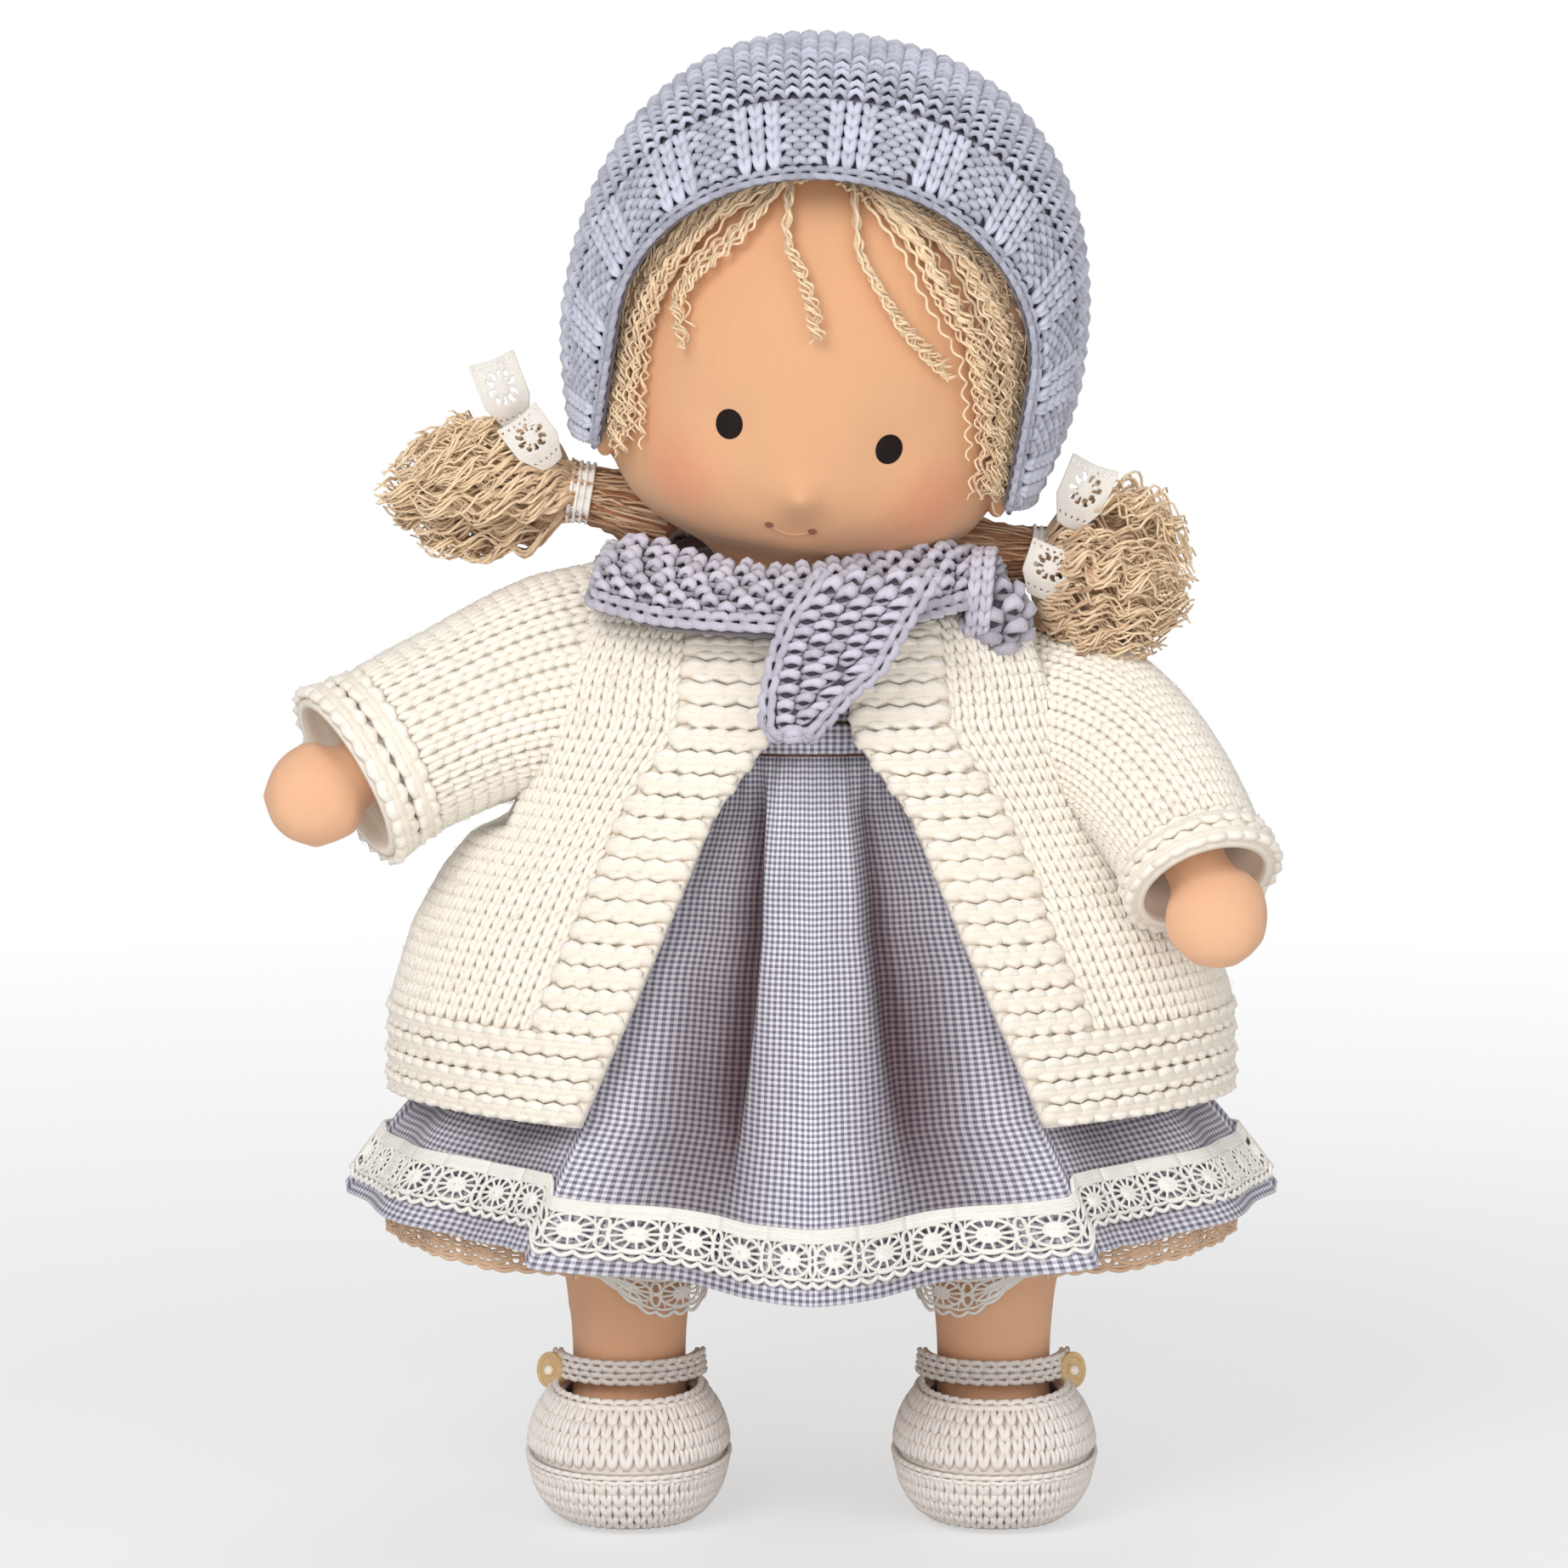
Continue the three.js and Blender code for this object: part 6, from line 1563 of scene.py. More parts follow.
def build_bonnet():
    crown, knit = Pieces(), Pieces()
    cell_v = BONNET_ROW * MM / bonnet_cloth.length()
    bonnet_crown(crown, cell_v)
    bonnet_band(knit, cell_v)
    chain(knit, bonnet_cloth, level_line(0.3 * cell_v, 240), 3.0, 2.5, 0.55, -0.5)
    for side in (0.006, 0.994):
        chain(knit, bonnet_cloth, level_line(side, 240)[:, ::-1], 3.0, 2.5, 0.5, -0.5)
    chain(knit, bonnet_cloth, level_line(0.988, 240), 3.2, 2.8, 0.55, -0.2)
    rise = np.linspace(0, 0.5, 24)  # the two halves meet behind in a seam that is rolled in
    halves = [bonnet_cloth.at(u, 1.0, -0.95 * MM) for u in (rise, 1 - rise)]
    # painted shade: the rolled-in seam is nearly the shadow colour
    crown.stamp(*tubes((halves[0] + halves[1])[None] / 2, 0.95 * MM, 6), 0.1)
    stitches = [knit.build("bonnet_band_knit", BONNET_YARN), crown.build("bonnet_crown_knit", BONNET_YARN)]
    knitted("bonnet_ground", bonnet_cloth, (-1.5, -0.6), 0.0, stitches, "bonnet", ["bonnet"], "bonnet_knit",
            ["hair_cap_curls"])


build_bonnet()

# %% [markdown]
# ## Hair
# Crinkly mohair, sewn to the head as a cap, with locks that escape round the face. Each hair is a thin tube that
# follows a guide line and winds round it more and more towards its tip. The two pigtails are bunches of the same hair,
# spread from a tie. Under the curls lies a plain form, so that nothing shines through.

# %% Hair cap
HAIRLINE_HALF, HAIRLINE_TOP, HAIRLINE_SPRING, EAR_Z, NAPE_Z, HAIR_OUT = 40.0, 86.5, 42.0, 30, 13.0, 3.2


def hairline_z(turn):
    """Lower edge of the hair at an angle from the front: an arch over the face, the nape behind."""
    across = np.abs(head_radius(60.0) * np.sin(turn))
    inside = np.clip(across / HAIRLINE_HALF, 0, 1)
    arch_z = HAIRLINE_SPRING + (HAIRLINE_TOP - HAIRLINE_SPRING) * np.sqrt(1 - inside ** 2)
    beside = smooth_step(0.7, 1.0, np.abs(np.sin(turn)))
    behind = EAR_Z - (EAR_Z - NAPE_Z) * smooth_step(0.0, 0.5, -np.cos(turn))
    return np.where(np.cos(turn) > 0, arch_z * (1 - beside) + EAR_Z * beside, behind)


def hair_surface(columns=140, rows=40):
    turn = full_turn(columns)
    low = hairline_z(turn)
    share = np.sin(np.linspace(0, pi / 2, rows))[None, :]
    z = low + (HEAD_TOP_Z - 0.4 - low) * share
    radius = head_radius(z) + HAIR_OUT * np.minimum(1, 0.35 + share * 3)
    top = 1 - smooth_step(0.97, 1.0, share) * 0.9
    return sheet_at(radius * top * np.sin(turn), -HEAD_DEPTH * radius * top * np.cos(turn),
                    z + HAIR_OUT * smooth_step(0.6, 1.0, share), on_head)


def curls(guides, grow, turns, thick):
    """Wind each guide [n, k, 3] into a curl whose radius grows from 0.2 to 1 of grow [n]; returns copies and faces."""
    n, k = guides.shape[:2]
    forward = unit(np.gradient(guides, axis=1))
    side = unit(np.cross(forward, unit(rng.normal(size=(n, 1, 3)))))
    lift = np.cross(side, forward)
    share = shares(k)[None, :, None]
    angle = 2 * pi * turns[:, None, None] * share ** 1.1 + scatter(0, 6.3, (n, 1, 1))
    reach = grow[:, None, None] * (0.2 + 0.8 * share)
    path = guides + reach * (np.cos(angle) * side + np.sin(angle) * lift)
    return tubes(path, thick * (1 - 0.5 * share[..., 0]), 4, side)


def build_hair_cap():
    surface = hair_surface()
    hair = Pieces()
    # painted shade: the plain form under the curls is dark, for the shade between them
    hair.add(*slab(surface, -2.2 * MM, -0.3 * MM, closed=True), tones=0.3)
    count, steps = 380, 22
    start = scatter(0, 1, count)
    share = np.linspace(0.98, 0.0, steps)[None, :]
    reach = scatter(0.0, 0.25, (count, 1))
    u = (start[:, None] + rng.normal(0, 0.012, (count, steps)).cumsum(1) * 0.25) % 1.0
    v = np.clip(reach + share * (1 - reach), 0, 1)
    guides = surface.at(u, v, scatter(-0.2, 0.5, (count, 1)) * MM)
    wound = curls(guides, scatter(0.3, 0.8, count) * MM, scatter(3, 7, count), 0.34 * MM)
    hair.stamp(*wound, scatter(0.5, 0.96, (count, 1)))
    return hair.build("hair_cap_curls", HAIR_YARN)


# %% Locks round the face
LOCKS = [  # hairs, spread, and the line from the parting, as across and up in the head's frame
    (6, 0.5, [(-11.7, 86), (-10.6, 73), (-6.4, 67), (-3.6, 61.5), (-1.4, 55.2)]),
    (8, 0.9, [(0.2, 87), (3.8, 72.8), (8.8, 66.3), (13.7, 60.5), (20.3, 55.0), (25.1, 52.1)]),
    (15, 1.5, [(2, 87), (14.3, 76), (19, 69.4), (24.0, 63.6), (28.3, 59.2), (31.9, 48.1), (34.5, 39.9)]),
    (28, 2.3, [(4, 87), (24, 76), (33.5, 63.6), (37.8, 52.1), (38.4, 40.1), (38, 29)]),
    (21, 1.6, [(10, 88), (29, 77), (37.5, 65), (40.5, 53), (41, 40), (40, 30)]),
    (10, 1.0, [(-11, 87), (-20, 73.5), (-28.0, 64), (-30.6, 57.2), (-28.0, 50.3)]),
    (28, 2.2, [(-12, 87), (-25, 76), (-34.1, 62), (-37.4, 48.8), (-37.4, 37.0), (-36.1, 27.9)]),
    (21, 1.6, [(-14, 88), (-29, 77), (-37.8, 63), (-40.5, 50), (-40.5, 39), (-39, 29)]),
]


def over_head(x, z, lift):
    """Points straight before the head's front, this far over it."""
    radius = head_radius(np.clip(z, CHIN_Z, HEAD_TOP_Z)) + lift
    y = -HEAD_DEPTH * np.sqrt(np.maximum(radius ** 2 - np.minimum(np.abs(x), radius * 0.995) ** 2, 0))
    return on_head(np.stack([x, y, z], -1))


def comb_locks(hair, steps=84):
    for count, spread, line in LOCKS:
        guide = evenly(np.array(line, float), steps)
        share = shares(steps)[None, :]
        drift = rng.normal(0, spread, (count, 1, 2)) * (0.5 + 0.7 * share[..., None])
        sway = spread * 0.5 * np.sin(share * scatter(5, 11, (count, 1)) + scatter(0, 6, (count, 1)))
        spot = guide + drift + np.stack([sway, -sway], -1) * 0.6
        guides = over_head(spot[..., 0], spot[..., 1], scatter(0.5, 2.8, (count, 1)))
        turns = steps_of(guide).sum() / scatter(3.4, 5.2, count)
        wound = curls(guides, scatter(0.6, 1.2, count) * MM, turns, 0.42 * MM)
        hair.stamp(*wound, scatter(0.6, 1.2, (count, 1)))


def edge_curls(hair, count=260, steps=28):
    """Short loose curls along the bonnet's edge, lying away from the parting."""
    edge = upright_arch(HAIRLINE_HALF + 0.5, HAIRLINE_TOP + 1.0, 29.0, 200)
    starts = scatter(0.02, 0.98, count)
    way = np.where(starts < 0.46, -1.0, 1.0)
    share = shares(steps)[None, :]
    along = np.clip(starts[:, None] + way[:, None] * scatter(0.03, 0.12, (count, 1)) * share, 0, 1)
    spot = np.stack([np.interp(along, shares(200), edge[:, axis]) for axis in (0, 2)], -1)
    inwards = unit(np.array([0.0, 45.0]) - spot)
    drop = scatter(-1.0, 2.6, (count, 1)) + scatter(-0.5, 2.6, (count, 1)) * share
    spot = spot + inwards * drop[..., None]
    guides = over_head(spot[..., 0], spot[..., 1], scatter(0.4, 2.4, (count, 1)))
    wound = curls(guides, scatter(0.6, 1.5, count) * MM, scatter(2.5, 5.0, count), 0.4 * MM)
    hair.stamp(*wound, scatter(0.56, 1.15, (count, 1)))


def build_hair():
    cap = build_hair_cap()
    hair = Pieces()
    comb_locks(hair)
    edge_curls(hair)
    fringe = hair.build("hair_fringe_curls", HAIR_YARN)
    declare([cap, fringe], "head", "hair", "hair_cap")


build_hair()

# %% Pigtails
BUNCHES = {  # root, tie, tip and half height of the bunch, in the head's frame, and its outline from tie to tip
    "right": {"root": (-25, 3, 12), "tie": (-43, 1, 14), "tip": (-82, -1, 11), "half": 14.0, "sag": 2.0,
              "outline": (0.3, 0.5, 0.84, 1.0, 0.95, 0.72, 0.35)},
    "left": {"root": (26, 3, 13), "tie": (50, 1, 15.5), "tip": (81, -1, 11.5), "half": 19.0, "sag": 1.0,
             "outline": (0.3, 0.72, 0.95, 1.0, 0.95, 0.78, 0.45)},
}
OUTLINE_AT = (0.0, 0.1, 0.25, 0.45, 0.7, 0.88, 1.0)
ROOT_RADII = (6.6, 6.6, 6.4, 6.0, 5.4, 4.9, 4.8, 5.5)  # from the head to the tie
WISP_SPREAD = (1.3, 1.3, 1.26, 1.18, 1.06, 0.95, 0.92, 1.1)


def lock_lines(data, locks, per_lock, steps=28):
    """Guide lines for hair: crimped locks spread from the tie, and hairs close together in each lock. Also a painted
    light tone for each hair: lighter where its lock faces up and to the front, with a random spread per lock.
    """
    root_axis = data["tip"] - data["tie"]
    axis = unit(root_axis)
    over = unit(np.cross(axis, Y_WAY))
    beside = np.cross(over, axis)

    def each(low, high, loose=0.0):
        return (np.repeat(scatter(low, high, locks), per_lock) + rng.normal(0, loose, locks * per_lock))[:, None]

    turn, layer = each(0, 2 * pi, 0.12), np.sqrt(np.clip(each(0.0, 1.0, 0.04), 0, 1.1))
    stop = np.sqrt(np.clip(1.06 - 0.45 * layer ** 4, 0.2, 1)) * each(0.75, 1.0, 0.03)
    share = shares(steps)[None, :] * stop
    swell = np.interp(share, OUTLINE_AT, data["outline"]) * data["half"] * layer
    phase = share * each(20, 33) + each(0, 6.3)
    crimp = np.minimum(share * 8, 1) * each(0.8, 2.0)
    rise, aside = swell * np.cos(turn) + crimp * np.cos(phase), swell * 0.9 * np.sin(turn) + crimp * np.sin(phase)
    lines = data["tie"] + share[..., None] * root_axis + rise[..., None] * over + aside[..., None] * beside
    lines[..., 2] -= data["sag"] * share ** 2
    painted_light_facing = np.cos(turn) * over[2] + np.sin(turn) * beside[2] - 0.35 * np.sin(turn) * beside[1]
    return lines, (painted_light_facing + each(-1.5, 1.6))[:, 0]


def build_pigtail(side):
    data = {key: np.array(value, float) if np.ndim(value) else value for key, value in BUNCHES[side].items()}
    bunch = Pieces()
    lines, shade = lock_lines(data, 100, 5)
    count, steps = lines.shape[:2]
    copies, faces = curls(on_head(lines), scatter(0.3, 1.5, count) * MM, scatter(1.0, 3.5, count), 0.44 * MM)
    # painted light and shade on the hairs: lighter where their lock faces up and to the front, darker towards the tie
    rise = np.concatenate([np.repeat(np.linspace(-0.25, 0.12, steps), 4), [-0.25, 0.12]])
    bunch.stamp(copies, faces, (0.8 + 0.17 * shade + scatter(-0.15, 0.15, count))[:, None] + rise)
    # painted shade: the core, the root and the wisps round the root are darker, for the shade inside the bunch and
    # round the tie
    share = np.linspace(0, 0.78, 12)
    core_line = data["tie"] + share[:, None] * (data["tip"] - data["tie"])
    core_line[:, 2] -= data["sag"] * share ** 2
    radii = np.interp(share, OUTLINE_AT, data["outline"]) * data["half"] * 0.6 * np.sqrt(1 - (share / 0.8) ** 4)
    bunch.stamp(*tubes(on_head(core_line)[None], radii[None] * MM, 20), 0.45)
    line = np.stack([data["root"] + (data["tie"] - data["root"]) * s for s in np.linspace(0, 1.15, 8)])
    bunch.stamp(*tubes(on_head(line)[None], np.array([ROOT_RADII]) * MM, 16), 0.05)
    wisps = 140
    turn = scatter(0, 2 * pi, (wisps, 1))
    around = np.stack([0 * turn, np.cos(turn), np.sin(turn)], -1) * scatter(4.6, 5.8, (wisps, 1, 1))
    guides = line[None, :] + around * np.array(WISP_SPREAD)[None, :, None]
    wound = curls(on_head(guides), scatter(0.3, 0.9, wisps) * MM, scatter(1, 3, wisps), 0.4 * MM)
    bunch.stamp(*wound, scatter(0.0, 0.6, (wisps, 1)))
    declare([bunch.build("pigtail_curls_" + side, HAIR_YARN)], "pigtail_" + side, "hair", "pigtail_" + side)
    return data


# %% [markdown]
# ## Hair ties and lace bows
# Each bunch is tied with a strip of lace that also makes the bow's loops. A loop is a small curved sheet with holes:
# a grid from which some faces are left out, given a wall by solidify and softened by subdivision.

# %% Ties and bows
def holed_sheet(name, points, holes, material):
    """A thin sheet through points[u, v], without the faces for which holes[u, v] is true."""
    columns, rows = points.shape[:2]
    index = np.arange(columns * rows).reshape(columns, rows)
    faces = np.stack([index[:-1, :-1], index[1:, :-1], index[1:, 1:], index[:-1, 1:]], -1)[~holes]
    sheet = Pieces()
    # painted shade: the sheet takes a middle tone between the thread's lit and shadow colours
    sheet.add(points, [faces], tones=0.45)
    piece = sheet.build(name, material)
    apply(piece, "SOLIDIFY", thickness=0.0005, offset=0.0)
    apply(piece, "SUBSURF", levels=1, render_levels=1)
    outwards(piece)
    return piece


BOWS = {  # foot of each loop, lean to the doll's left in degrees, height and width
    "right": [((-49.0, -8.5, 19.5), -46.0, 12.0, 9.6), ((-57.0, -3.0, 25.0), -30.0, 15.0, 9.5)],
    "left": [((54.0, -7.5, 23.0), 14.0, 14.0, 10.0), ((50.5, -10.0, 8.5), 10.0, 11.0, 10.5)],
}


def build_loop(name, foot, lean, tall, wide):
    tilt = math.radians(lean)
    x_way = np.array([math.cos(tilt), 0, -math.sin(tilt)])
    up_way = np.array([math.sin(tilt), 0, math.cos(tilt)])
    u = np.linspace(-1, 1, 23)[:, None]
    v = shares(27)[None, :]
    pinch = 0.5 + 0.5 * np.minimum(1, v * 2.6)
    depth = 2.6 * np.sin(pi * v * 0.8) + 0.5 * np.cos(5 * u) * v
    where = (np.array(foot, float) + (u * wide / 2 * pinch)[..., None] * x_way
             + (v * tall + 0.5 * u * u)[..., None] * up_way - depth[..., None] * Y_WAY)
    i, j = np.meshgrid(np.arange(22), np.arange(26), indexing="ij")
    ring = np.hypot((i - 10.5) / 7.0, (j - 15.5) / 6.5)
    spokes = np.mod(np.arctan2(j - 15.5, i - 10.5) * 10 / (2 * pi), 1) < 0.5
    holes = ((ring > 0.5) & (ring < 1.0) & spokes) | ((j == 23) & (i % 3 == 1)) | ((j == 4) & (i % 4 == 2))
    return holed_sheet(name, on_head(where), holes, LACE_THREAD)


def build_bow(side, data):
    """The tie round the bunch and the two loops above it."""
    sign, turn = SIDES[side], full_turn(60)
    share = np.linspace(-1, 1, 8)[None, :]
    crumple = 5.6 + 0.35 * np.cos(9 * turn) + 0.3 * share * np.sin(4 * turn)
    x, y, z = data["tie"]
    band = sheet_at(x + share * 2.2 * sign, y + crumple * np.sin(turn), z - crumple * sign * np.cos(turn), on_head)
    tie = Pieces()
    tie.add(*slab(band, -0.8 * MM, 0.0, closed=True), tones=0.6)
    sew(tie, band, [straight_path(v, 0.2) for v in (0.05, 0.35, 0.65, 0.95)], 6, 0.4 * MM, 5, 0.8)
    tie_piece = tie.build("hair_tie_lace_" + side, LACE_THREAD)
    loops = [build_loop("lace_bow_%s_%d" % (side, k), *loop) for k, loop in enumerate(BOWS[side])]
    declare(loops, "pigtail_" + side, "lace", "lace_bow_" + side)
    declare([tie_piece], "pigtail_" + side, "lace", "hair_tie_" + side)


for side in SIDES:
    build_bow(side, build_pigtail(side))

# %% [markdown]
# ## Crochet shoes
# White cotton worked in the round: a flat sole that turns up at a ridge, four rounds for the upper, a chain edge, and
# a strap with a button on the outer side. One crochet stitch looks like a small V with a hole above it.

# %% Shoe rounds
SHOE_HALF_WIDE, SHOE_HALF_LONG, SHOE_Y, SHOE_POWER = 20.5, 27.0, -9.0, 2 / 2.2
UPPER_STOPS = [(13.4, 1.0), (16.0, 0.99), (18.0, 0.97), (20.5, 0.93), (22.4, 0.88), (24.4, 0.81), (26.2, 0.73)]
SOLE_STOPS = [(0.9, 0.66), (2.86, 0.8), (5.4, 0.89), (7.8, 0.945), (13.0, 1.0)]
CROCHET_WIDE, CROCHET_TALL = 2.7, 2.9


def shoe_surface(side, stops, columns=120, rows=24):
    stops = np.asarray(stops, float)
    turn = full_turn(columns)
    profile = np.stack([stops[:, 1] * SHOE_HALF_WIDE, np.zeros(len(stops)), stops[:, 0]], 1)
    z = evenly(profile, rows)[:, 2]
    share = np.interp(z, stops[:, 0], stops[:, 1]) - 0.025
    x, y = fuller_round(turn, SHOE_POWER)
    return sheet_at(LEG_X * SIDES[side] + SHOE_HALF_WIDE * x * share, SHOE_Y + SHOE_HALF_LONG * y * share, z)


def crochet(pieces, surface, low=0.0, high=1.0, tone=0.7):
    rows = max(1, round((high - low) * surface.length() / (CROCHET_TALL * MM)))
    cell_v = (high - low) / rows
    for k in range(rows):
        v = low + k * cell_v
        count = round(surface.width(min(1, v + 0.5 * cell_v)) / (CROCHET_WIDE * MM))
        u = (np.arange(count) + 0.5 * (k % 2)) / count
        cast(pieces, surface, knit_legs(CROCHET_WIDE, CROCHET_TALL, 0.27), u % 1.0, v + 0.1 * cell_v, 1 / count, cell_v,
             -0.2 * MM, tone, 0.08)


def build_shoe(side):
    upper_form, sole_form = shoe_surface(side, UPPER_STOPS), shoe_surface(side, SOLE_STOPS)
    upper = Pieces()
    # painted shade: the upper's ground has a low tone, for the gaps between the stitches
    upper.add(*slab(upper_form, -2.0 * MM, -0.5 * MM, closed=True), tones=0.45)
    crochet(upper, upper_form, 0.1, 0.9)
    chain(upper, upper_form, level_line(0.97, 160), 2.6, 2.4, 0.8)
    upper_piece = upper.build("shoe_upper_crochet_" + side, SHOE_YARN)
    sole = Pieces()
    # painted light: the sole's ground and stitches get higher tones than the upper's, so that the sole, which faces
    # down, looks lit
    sole.add(*slab(sole_form, -2.2 * MM, -0.5 * MM, closed=True), tones=0.8)
    turn = open_turn(48)
    centre = np.array([LEG_X * SIDES[side], SHOE_Y, 0])
    rim = np.stack([SHOE_HALF_WIDE * 0.64 * np.sin(turn), -SHOE_HALF_LONG * 0.64 * np.cos(turn), 0 * turn], 1)
    rings = [centre + share * rim + z * Z_WAY for share, z in ((0.99, 2.6), (1.0, 1.4), (0.96, 0.3))]
    points = on_body(np.concatenate([*rings, [centre + 2.6 * Z_WAY, centre + 0.3 * Z_WAY]]))
    sole.add(points, [face[:, ::-1] for face in tube_faces(3, 48)], tones=0.5)
    crochet(sole, sole_form, 0.0, 0.92, 0.95)
    chain(sole, sole_form, level_line(0.97, 160), 2.6, 1.9, 0.9, -0.1)
    declare([upper_piece], "leg_" + side, "shoe_crochet", "shoe_upper_" + side)
    sole_piece = sole.build("shoe_sole_crochet_" + side, SHOE_YARN)
    declare([sole_piece], "leg_" + side, "shoe_crochet", "shoe_sole_" + side)


def build_strap(side):
    turn = full_turn(60) / 2
    share = shares(10)[None, :]
    radius = 15.0 - 0.5 * share
    form = sheet_at(LEG_X * SIDES[side] + radius * np.sin(turn), -radius * np.cos(turn), 27.6 + 4.6 * share)
    strap = Pieces()
    # painted shade: the strap's ground has a low tone, for the gaps between its chains
    strap.add(*slab(form, -1.1 * MM, -0.3 * MM), tones=0.45)
    for v in (0.22, 0.78):
        chain(strap, form, level_line(v, 80, 0.02, 0.98), 2.5, 2.2, 0.75)
    piece = strap.build("shoe_strap_crochet_" + side, SHOE_YARN)
    declare([piece], "strap_" + side, "shoe_crochet", "shoe_strap_" + side)


for side in SIDES:
    build_shoe(side)
    build_strap(side)

# %% [markdown]
# ## Buttons
# A small wooden disc with a raised rim, a groove and a pearl in the middle. A cylinder is inset twice and extruded,
# then bevelled, and the pearl is a sphere set on it.

# %% Buttons
wood = Finish("button_wood", roughness=0.4, coat_weight=0.2)
grain = wood.noise(700.0, 3.0, (1.0, 1.0, 4.0))
wood.feed("Base Color", wood.mix(grain, colour(196, 150, 92), colour(236, 208, 160)))
BUTTON_WOOD = wood.material
PEARL = Finish("pearl", roughness=0.2, coat_weight=0.6, base_color=colour(250, 240, 222)).material


BUTTON_X, BUTTON_Y, BUTTON_Z = 52.6, -5.5, 28.6
BUTTON_STEPS = [(0.0007, -0.0005), (0.0006, 0.0004), (0.0006, -0.0004)]  # groove, rim and hollow: inset and push


def build_button(side):
    sign = SIDES[side]
    out = unit(np.array([sign * 0.72, -0.67, 0.12]))
    across = unit(np.cross(Z_WAY, out))
    up = np.cross(out, across)
    centre = on_body([sign * BUTTON_X, BUTTON_Y, BUTTON_Z])
    bpy.ops.object.select_all(action="DESELECT")
    bpy.ops.mesh.primitive_cylinder_add(vertices=40, radius=0.0037, depth=0.0018)
    piece = bpy.context.object
    piece.name = piece.data.name = "shoe_button_" + side + "_wood"
    bpy.ops.object.mode_set(mode="EDIT")
    bpy.ops.mesh.select_all(action="DESELECT")
    bpy.ops.mesh.select_mode(type="FACE")
    bpy.ops.object.mode_set(mode="OBJECT")
    top = max(piece.data.polygons, key=lambda face: face.center.z)
    top.select = True
    bpy.ops.object.mode_set(mode="EDIT")
    for inset, push in BUTTON_STEPS:
        bpy.ops.mesh.inset(thickness=inset)
        bpy.ops.transform.translate(value=(0, 0, push))
    bpy.ops.object.mode_set(mode="OBJECT")
    apply(piece, "BEVEL", width=0.00018, segments=2, limit_method="ANGLE")
    bpy.ops.object.shade_smooth()
    move_to(piece, centre + spots_of(piece.data) @ np.array([across, up, out]))
    piece.data.materials.append(BUTTON_WOOD)
    outwards(piece)
    pearl = pebble("shoe_pearl_" + side, centre + out * 0.0008, [across, up, out], [0.0011, 0.0011, 0.0009], PEARL)
    declare([piece, pearl], "leg_" + side, "button", "shoe_button_" + side)


for side in SIDES:
    build_button(side)

# %% [markdown]
# ## Floor, light and camera
# The photograph is a cut-out on white. The floor is white to the camera, but still catches light and shadow for
# everything else, and four soft lamps at a plain level stand in for a studio.

# %% Floor and backdrop
def white_stage():
    """White to what the camera sees, straight or mirrored, dimmer near the doll; grey paint to all other light."""
    finish = Finish("white_stage")
    camera, glossy, through = (finish.node("ShaderNodeLightPath", output="Is %s Ray" % kind)
                               for kind in ("Camera", "Glossy", "Transmission"))
    seen = through.math("MAXIMUM", through, camera.math("MAXIMUM", camera, glossy))
    away = finish.node("ShaderNodeVectorMath", {"operation": "LENGTH"}, {0: finish.place()}, "Value")
    far = finish.node("ShaderNodeMapRange", None, {
        "Value": away, "From Min": 0.2, "From Max": 0.75, "To Min": 0.55, "To Max": 1.0})
    paint = finish.node("ShaderNodeBsdfDiffuse", None, {"Color": (0.82, 0.82, 0.82, 1)})
    shown = finish.node("ShaderNodeMixShader", None, {0: seen * far, 1: paint, 2: finish.node("ShaderNodeEmission")})
    finish.tree.nodes.remove(finish.shader)
    finish.tree.links.new(shown.socket, finish.tree.nodes["Material Output"].inputs["Surface"])
    return finish.material


bpy.ops.object.select_all(action="DESELECT")
bpy.ops.mesh.primitive_plane_add(size=60.0, location=(0, 0, -0.0002))
floor = bpy.context.object
floor.name = "floor"
floor.data.materials.append(white_stage())

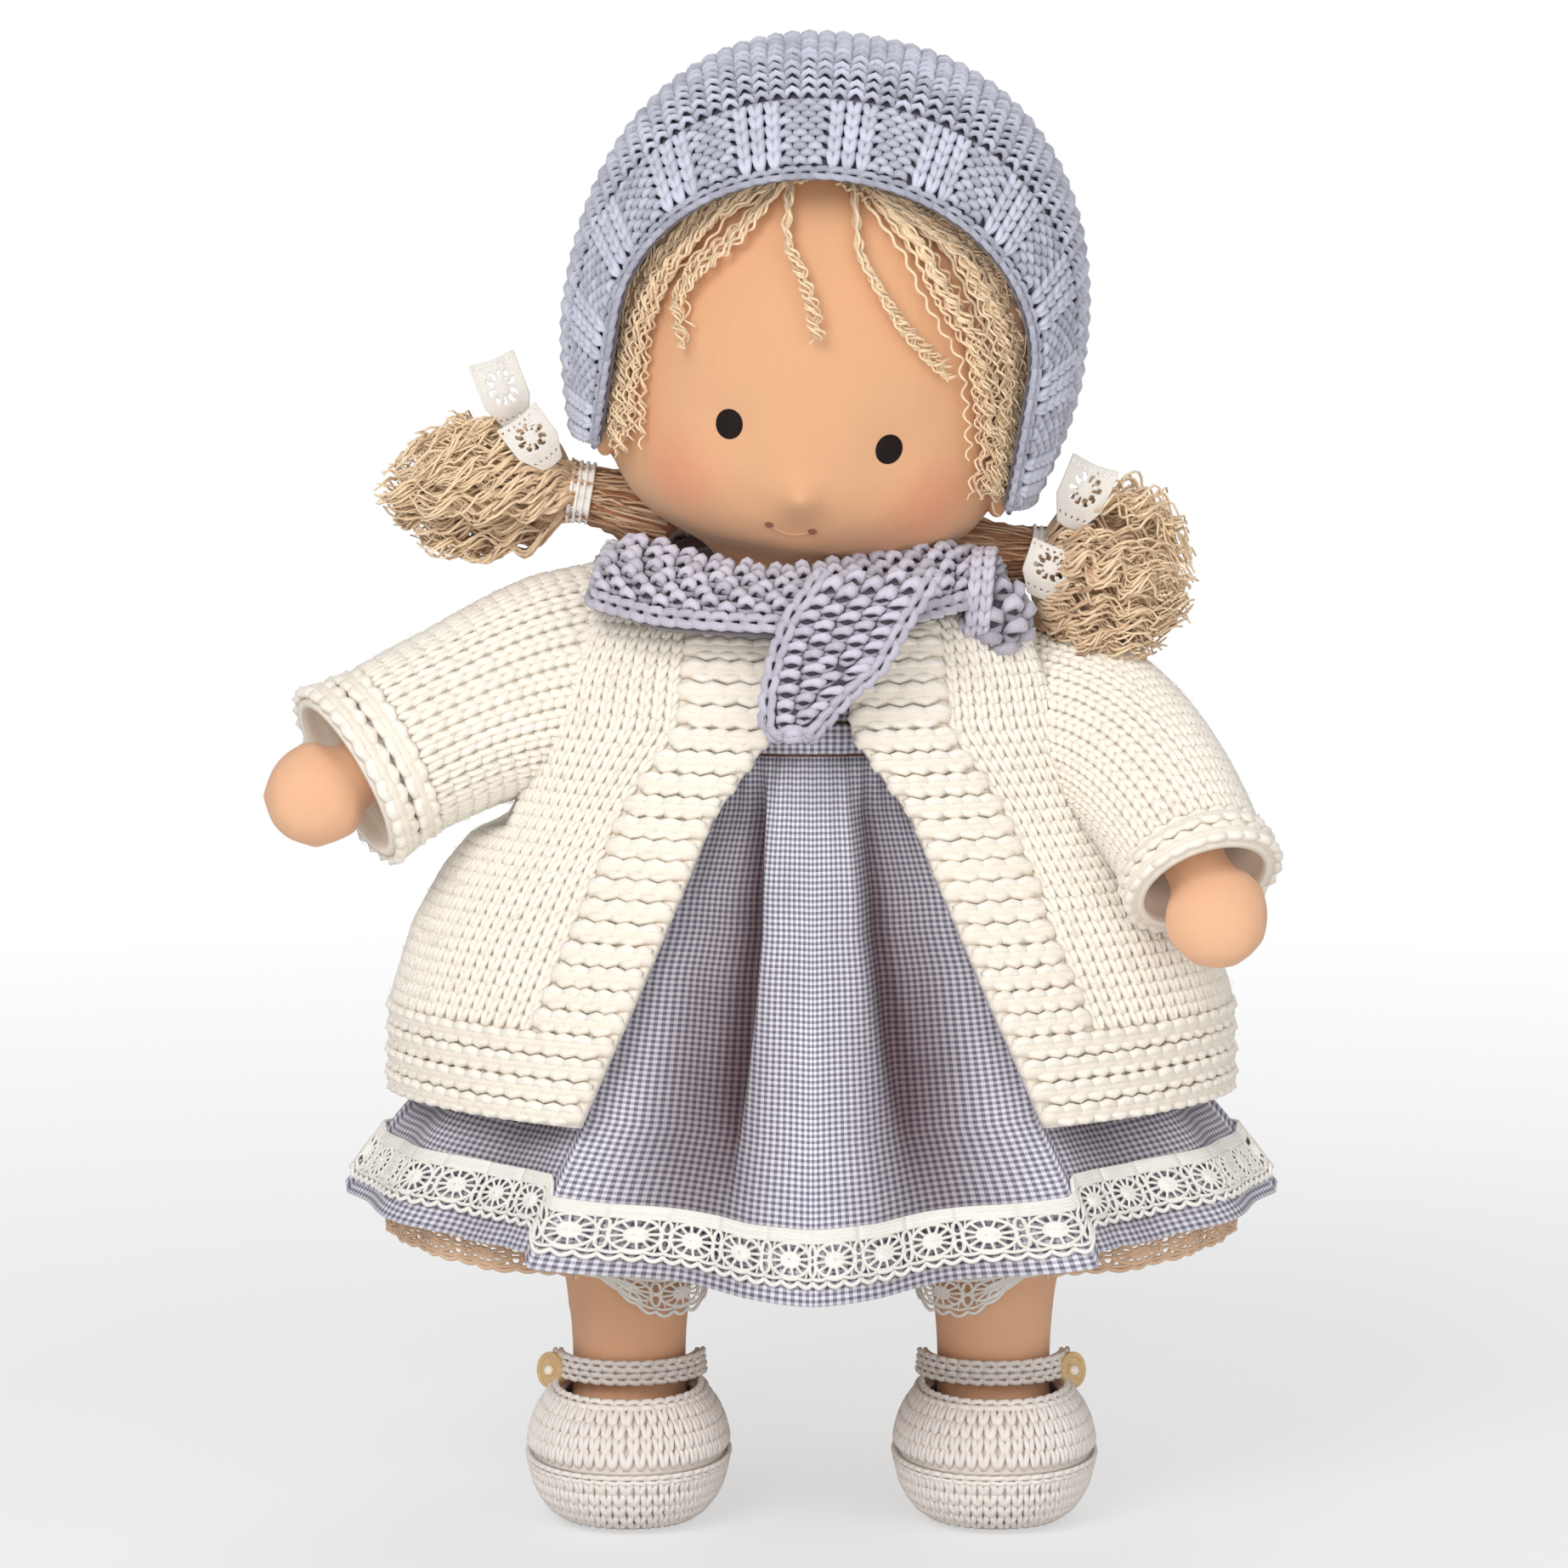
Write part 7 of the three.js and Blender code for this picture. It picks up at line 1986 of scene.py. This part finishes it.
# %% World and lamps
world = bpy.data.worlds.new("studio")
bpy.context.scene.world = world
world.use_nodes = True
tree = world.node_tree
sky, backdrop = tree.nodes["Background"], tree.nodes.new("ShaderNodeBackground")
path, blend = tree.nodes.new("ShaderNodeLightPath"), tree.nodes.new("ShaderNodeMixShader")
for light in (sky, backdrop):
    light.inputs["Color"].default_value = (1, 1, 1, 1)
sky.inputs["Strength"].default_value = 0.38
for output, socket in ((path.outputs["Is Camera Ray"], blend.inputs[0]), (sky.outputs[0], blend.inputs[1]),
                       (backdrop.outputs[0], blend.inputs[2]),
                       (blend.outputs[0], tree.nodes["World Output"].inputs["Surface"])):
    tree.links.new(output, socket)


def lamp(name, place, size, power):
    light = bpy.data.lights.new(name, "AREA")
    light.size, light.energy = size, power
    piece = bpy.data.objects.new(name, light)
    bpy.context.collection.objects.link(piece)
    piece.location = place
    aim = Vector((BODY_X, 0, 0.16)) - Vector(place)
    piece.rotation_euler = aim.to_track_quat("-Z", "Y").to_euler()


lamp("key", (-0.5, -1.15, 1.0), 0.7, 9.8)
lamp("fill", (0.6, -1.1, 0.45), 1.0, 4.1)
lamp("low", (-0.2, -1.2, 0.1), 0.8, 3.1)
lamp("rim", (0.3, 0.9, 1.1), 0.8, 4.0)

# %% Camera
PHOTO_SIZE = 1845
MM_PER_PIXEL = 0.171
BODY_PIXEL = 955  # column of the body's middle in the photograph
SIGHT_HEIGHT = 147.7  # height seen in the middle of the photograph, in millimetres
ELEVATION = math.radians(8)
DISTANCE = 1.6
target = on_body([(PHOTO_SIZE / 2 - BODY_PIXEL) * MM_PER_PIXEL, 0, SIGHT_HEIGHT])
camera = bpy.data.objects.new("camera", bpy.data.cameras.new("camera"))
bpy.context.collection.objects.link(camera)
back = np.array([0, -math.cos(ELEVATION), math.sin(ELEVATION)])
camera.location = Vector(target + back * DISTANCE)
camera.rotation_euler = (pi / 2 - ELEVATION, 0, 0)
camera.data.sensor_width = 36.0
camera.data.lens = 36.0 * DISTANCE / (PHOTO_SIZE * MM_PER_PIXEL * MM)
camera.data.clip_start = 0.05
scene = bpy.context.scene
scene.camera = camera
scene.view_settings.view_transform = "Standard"
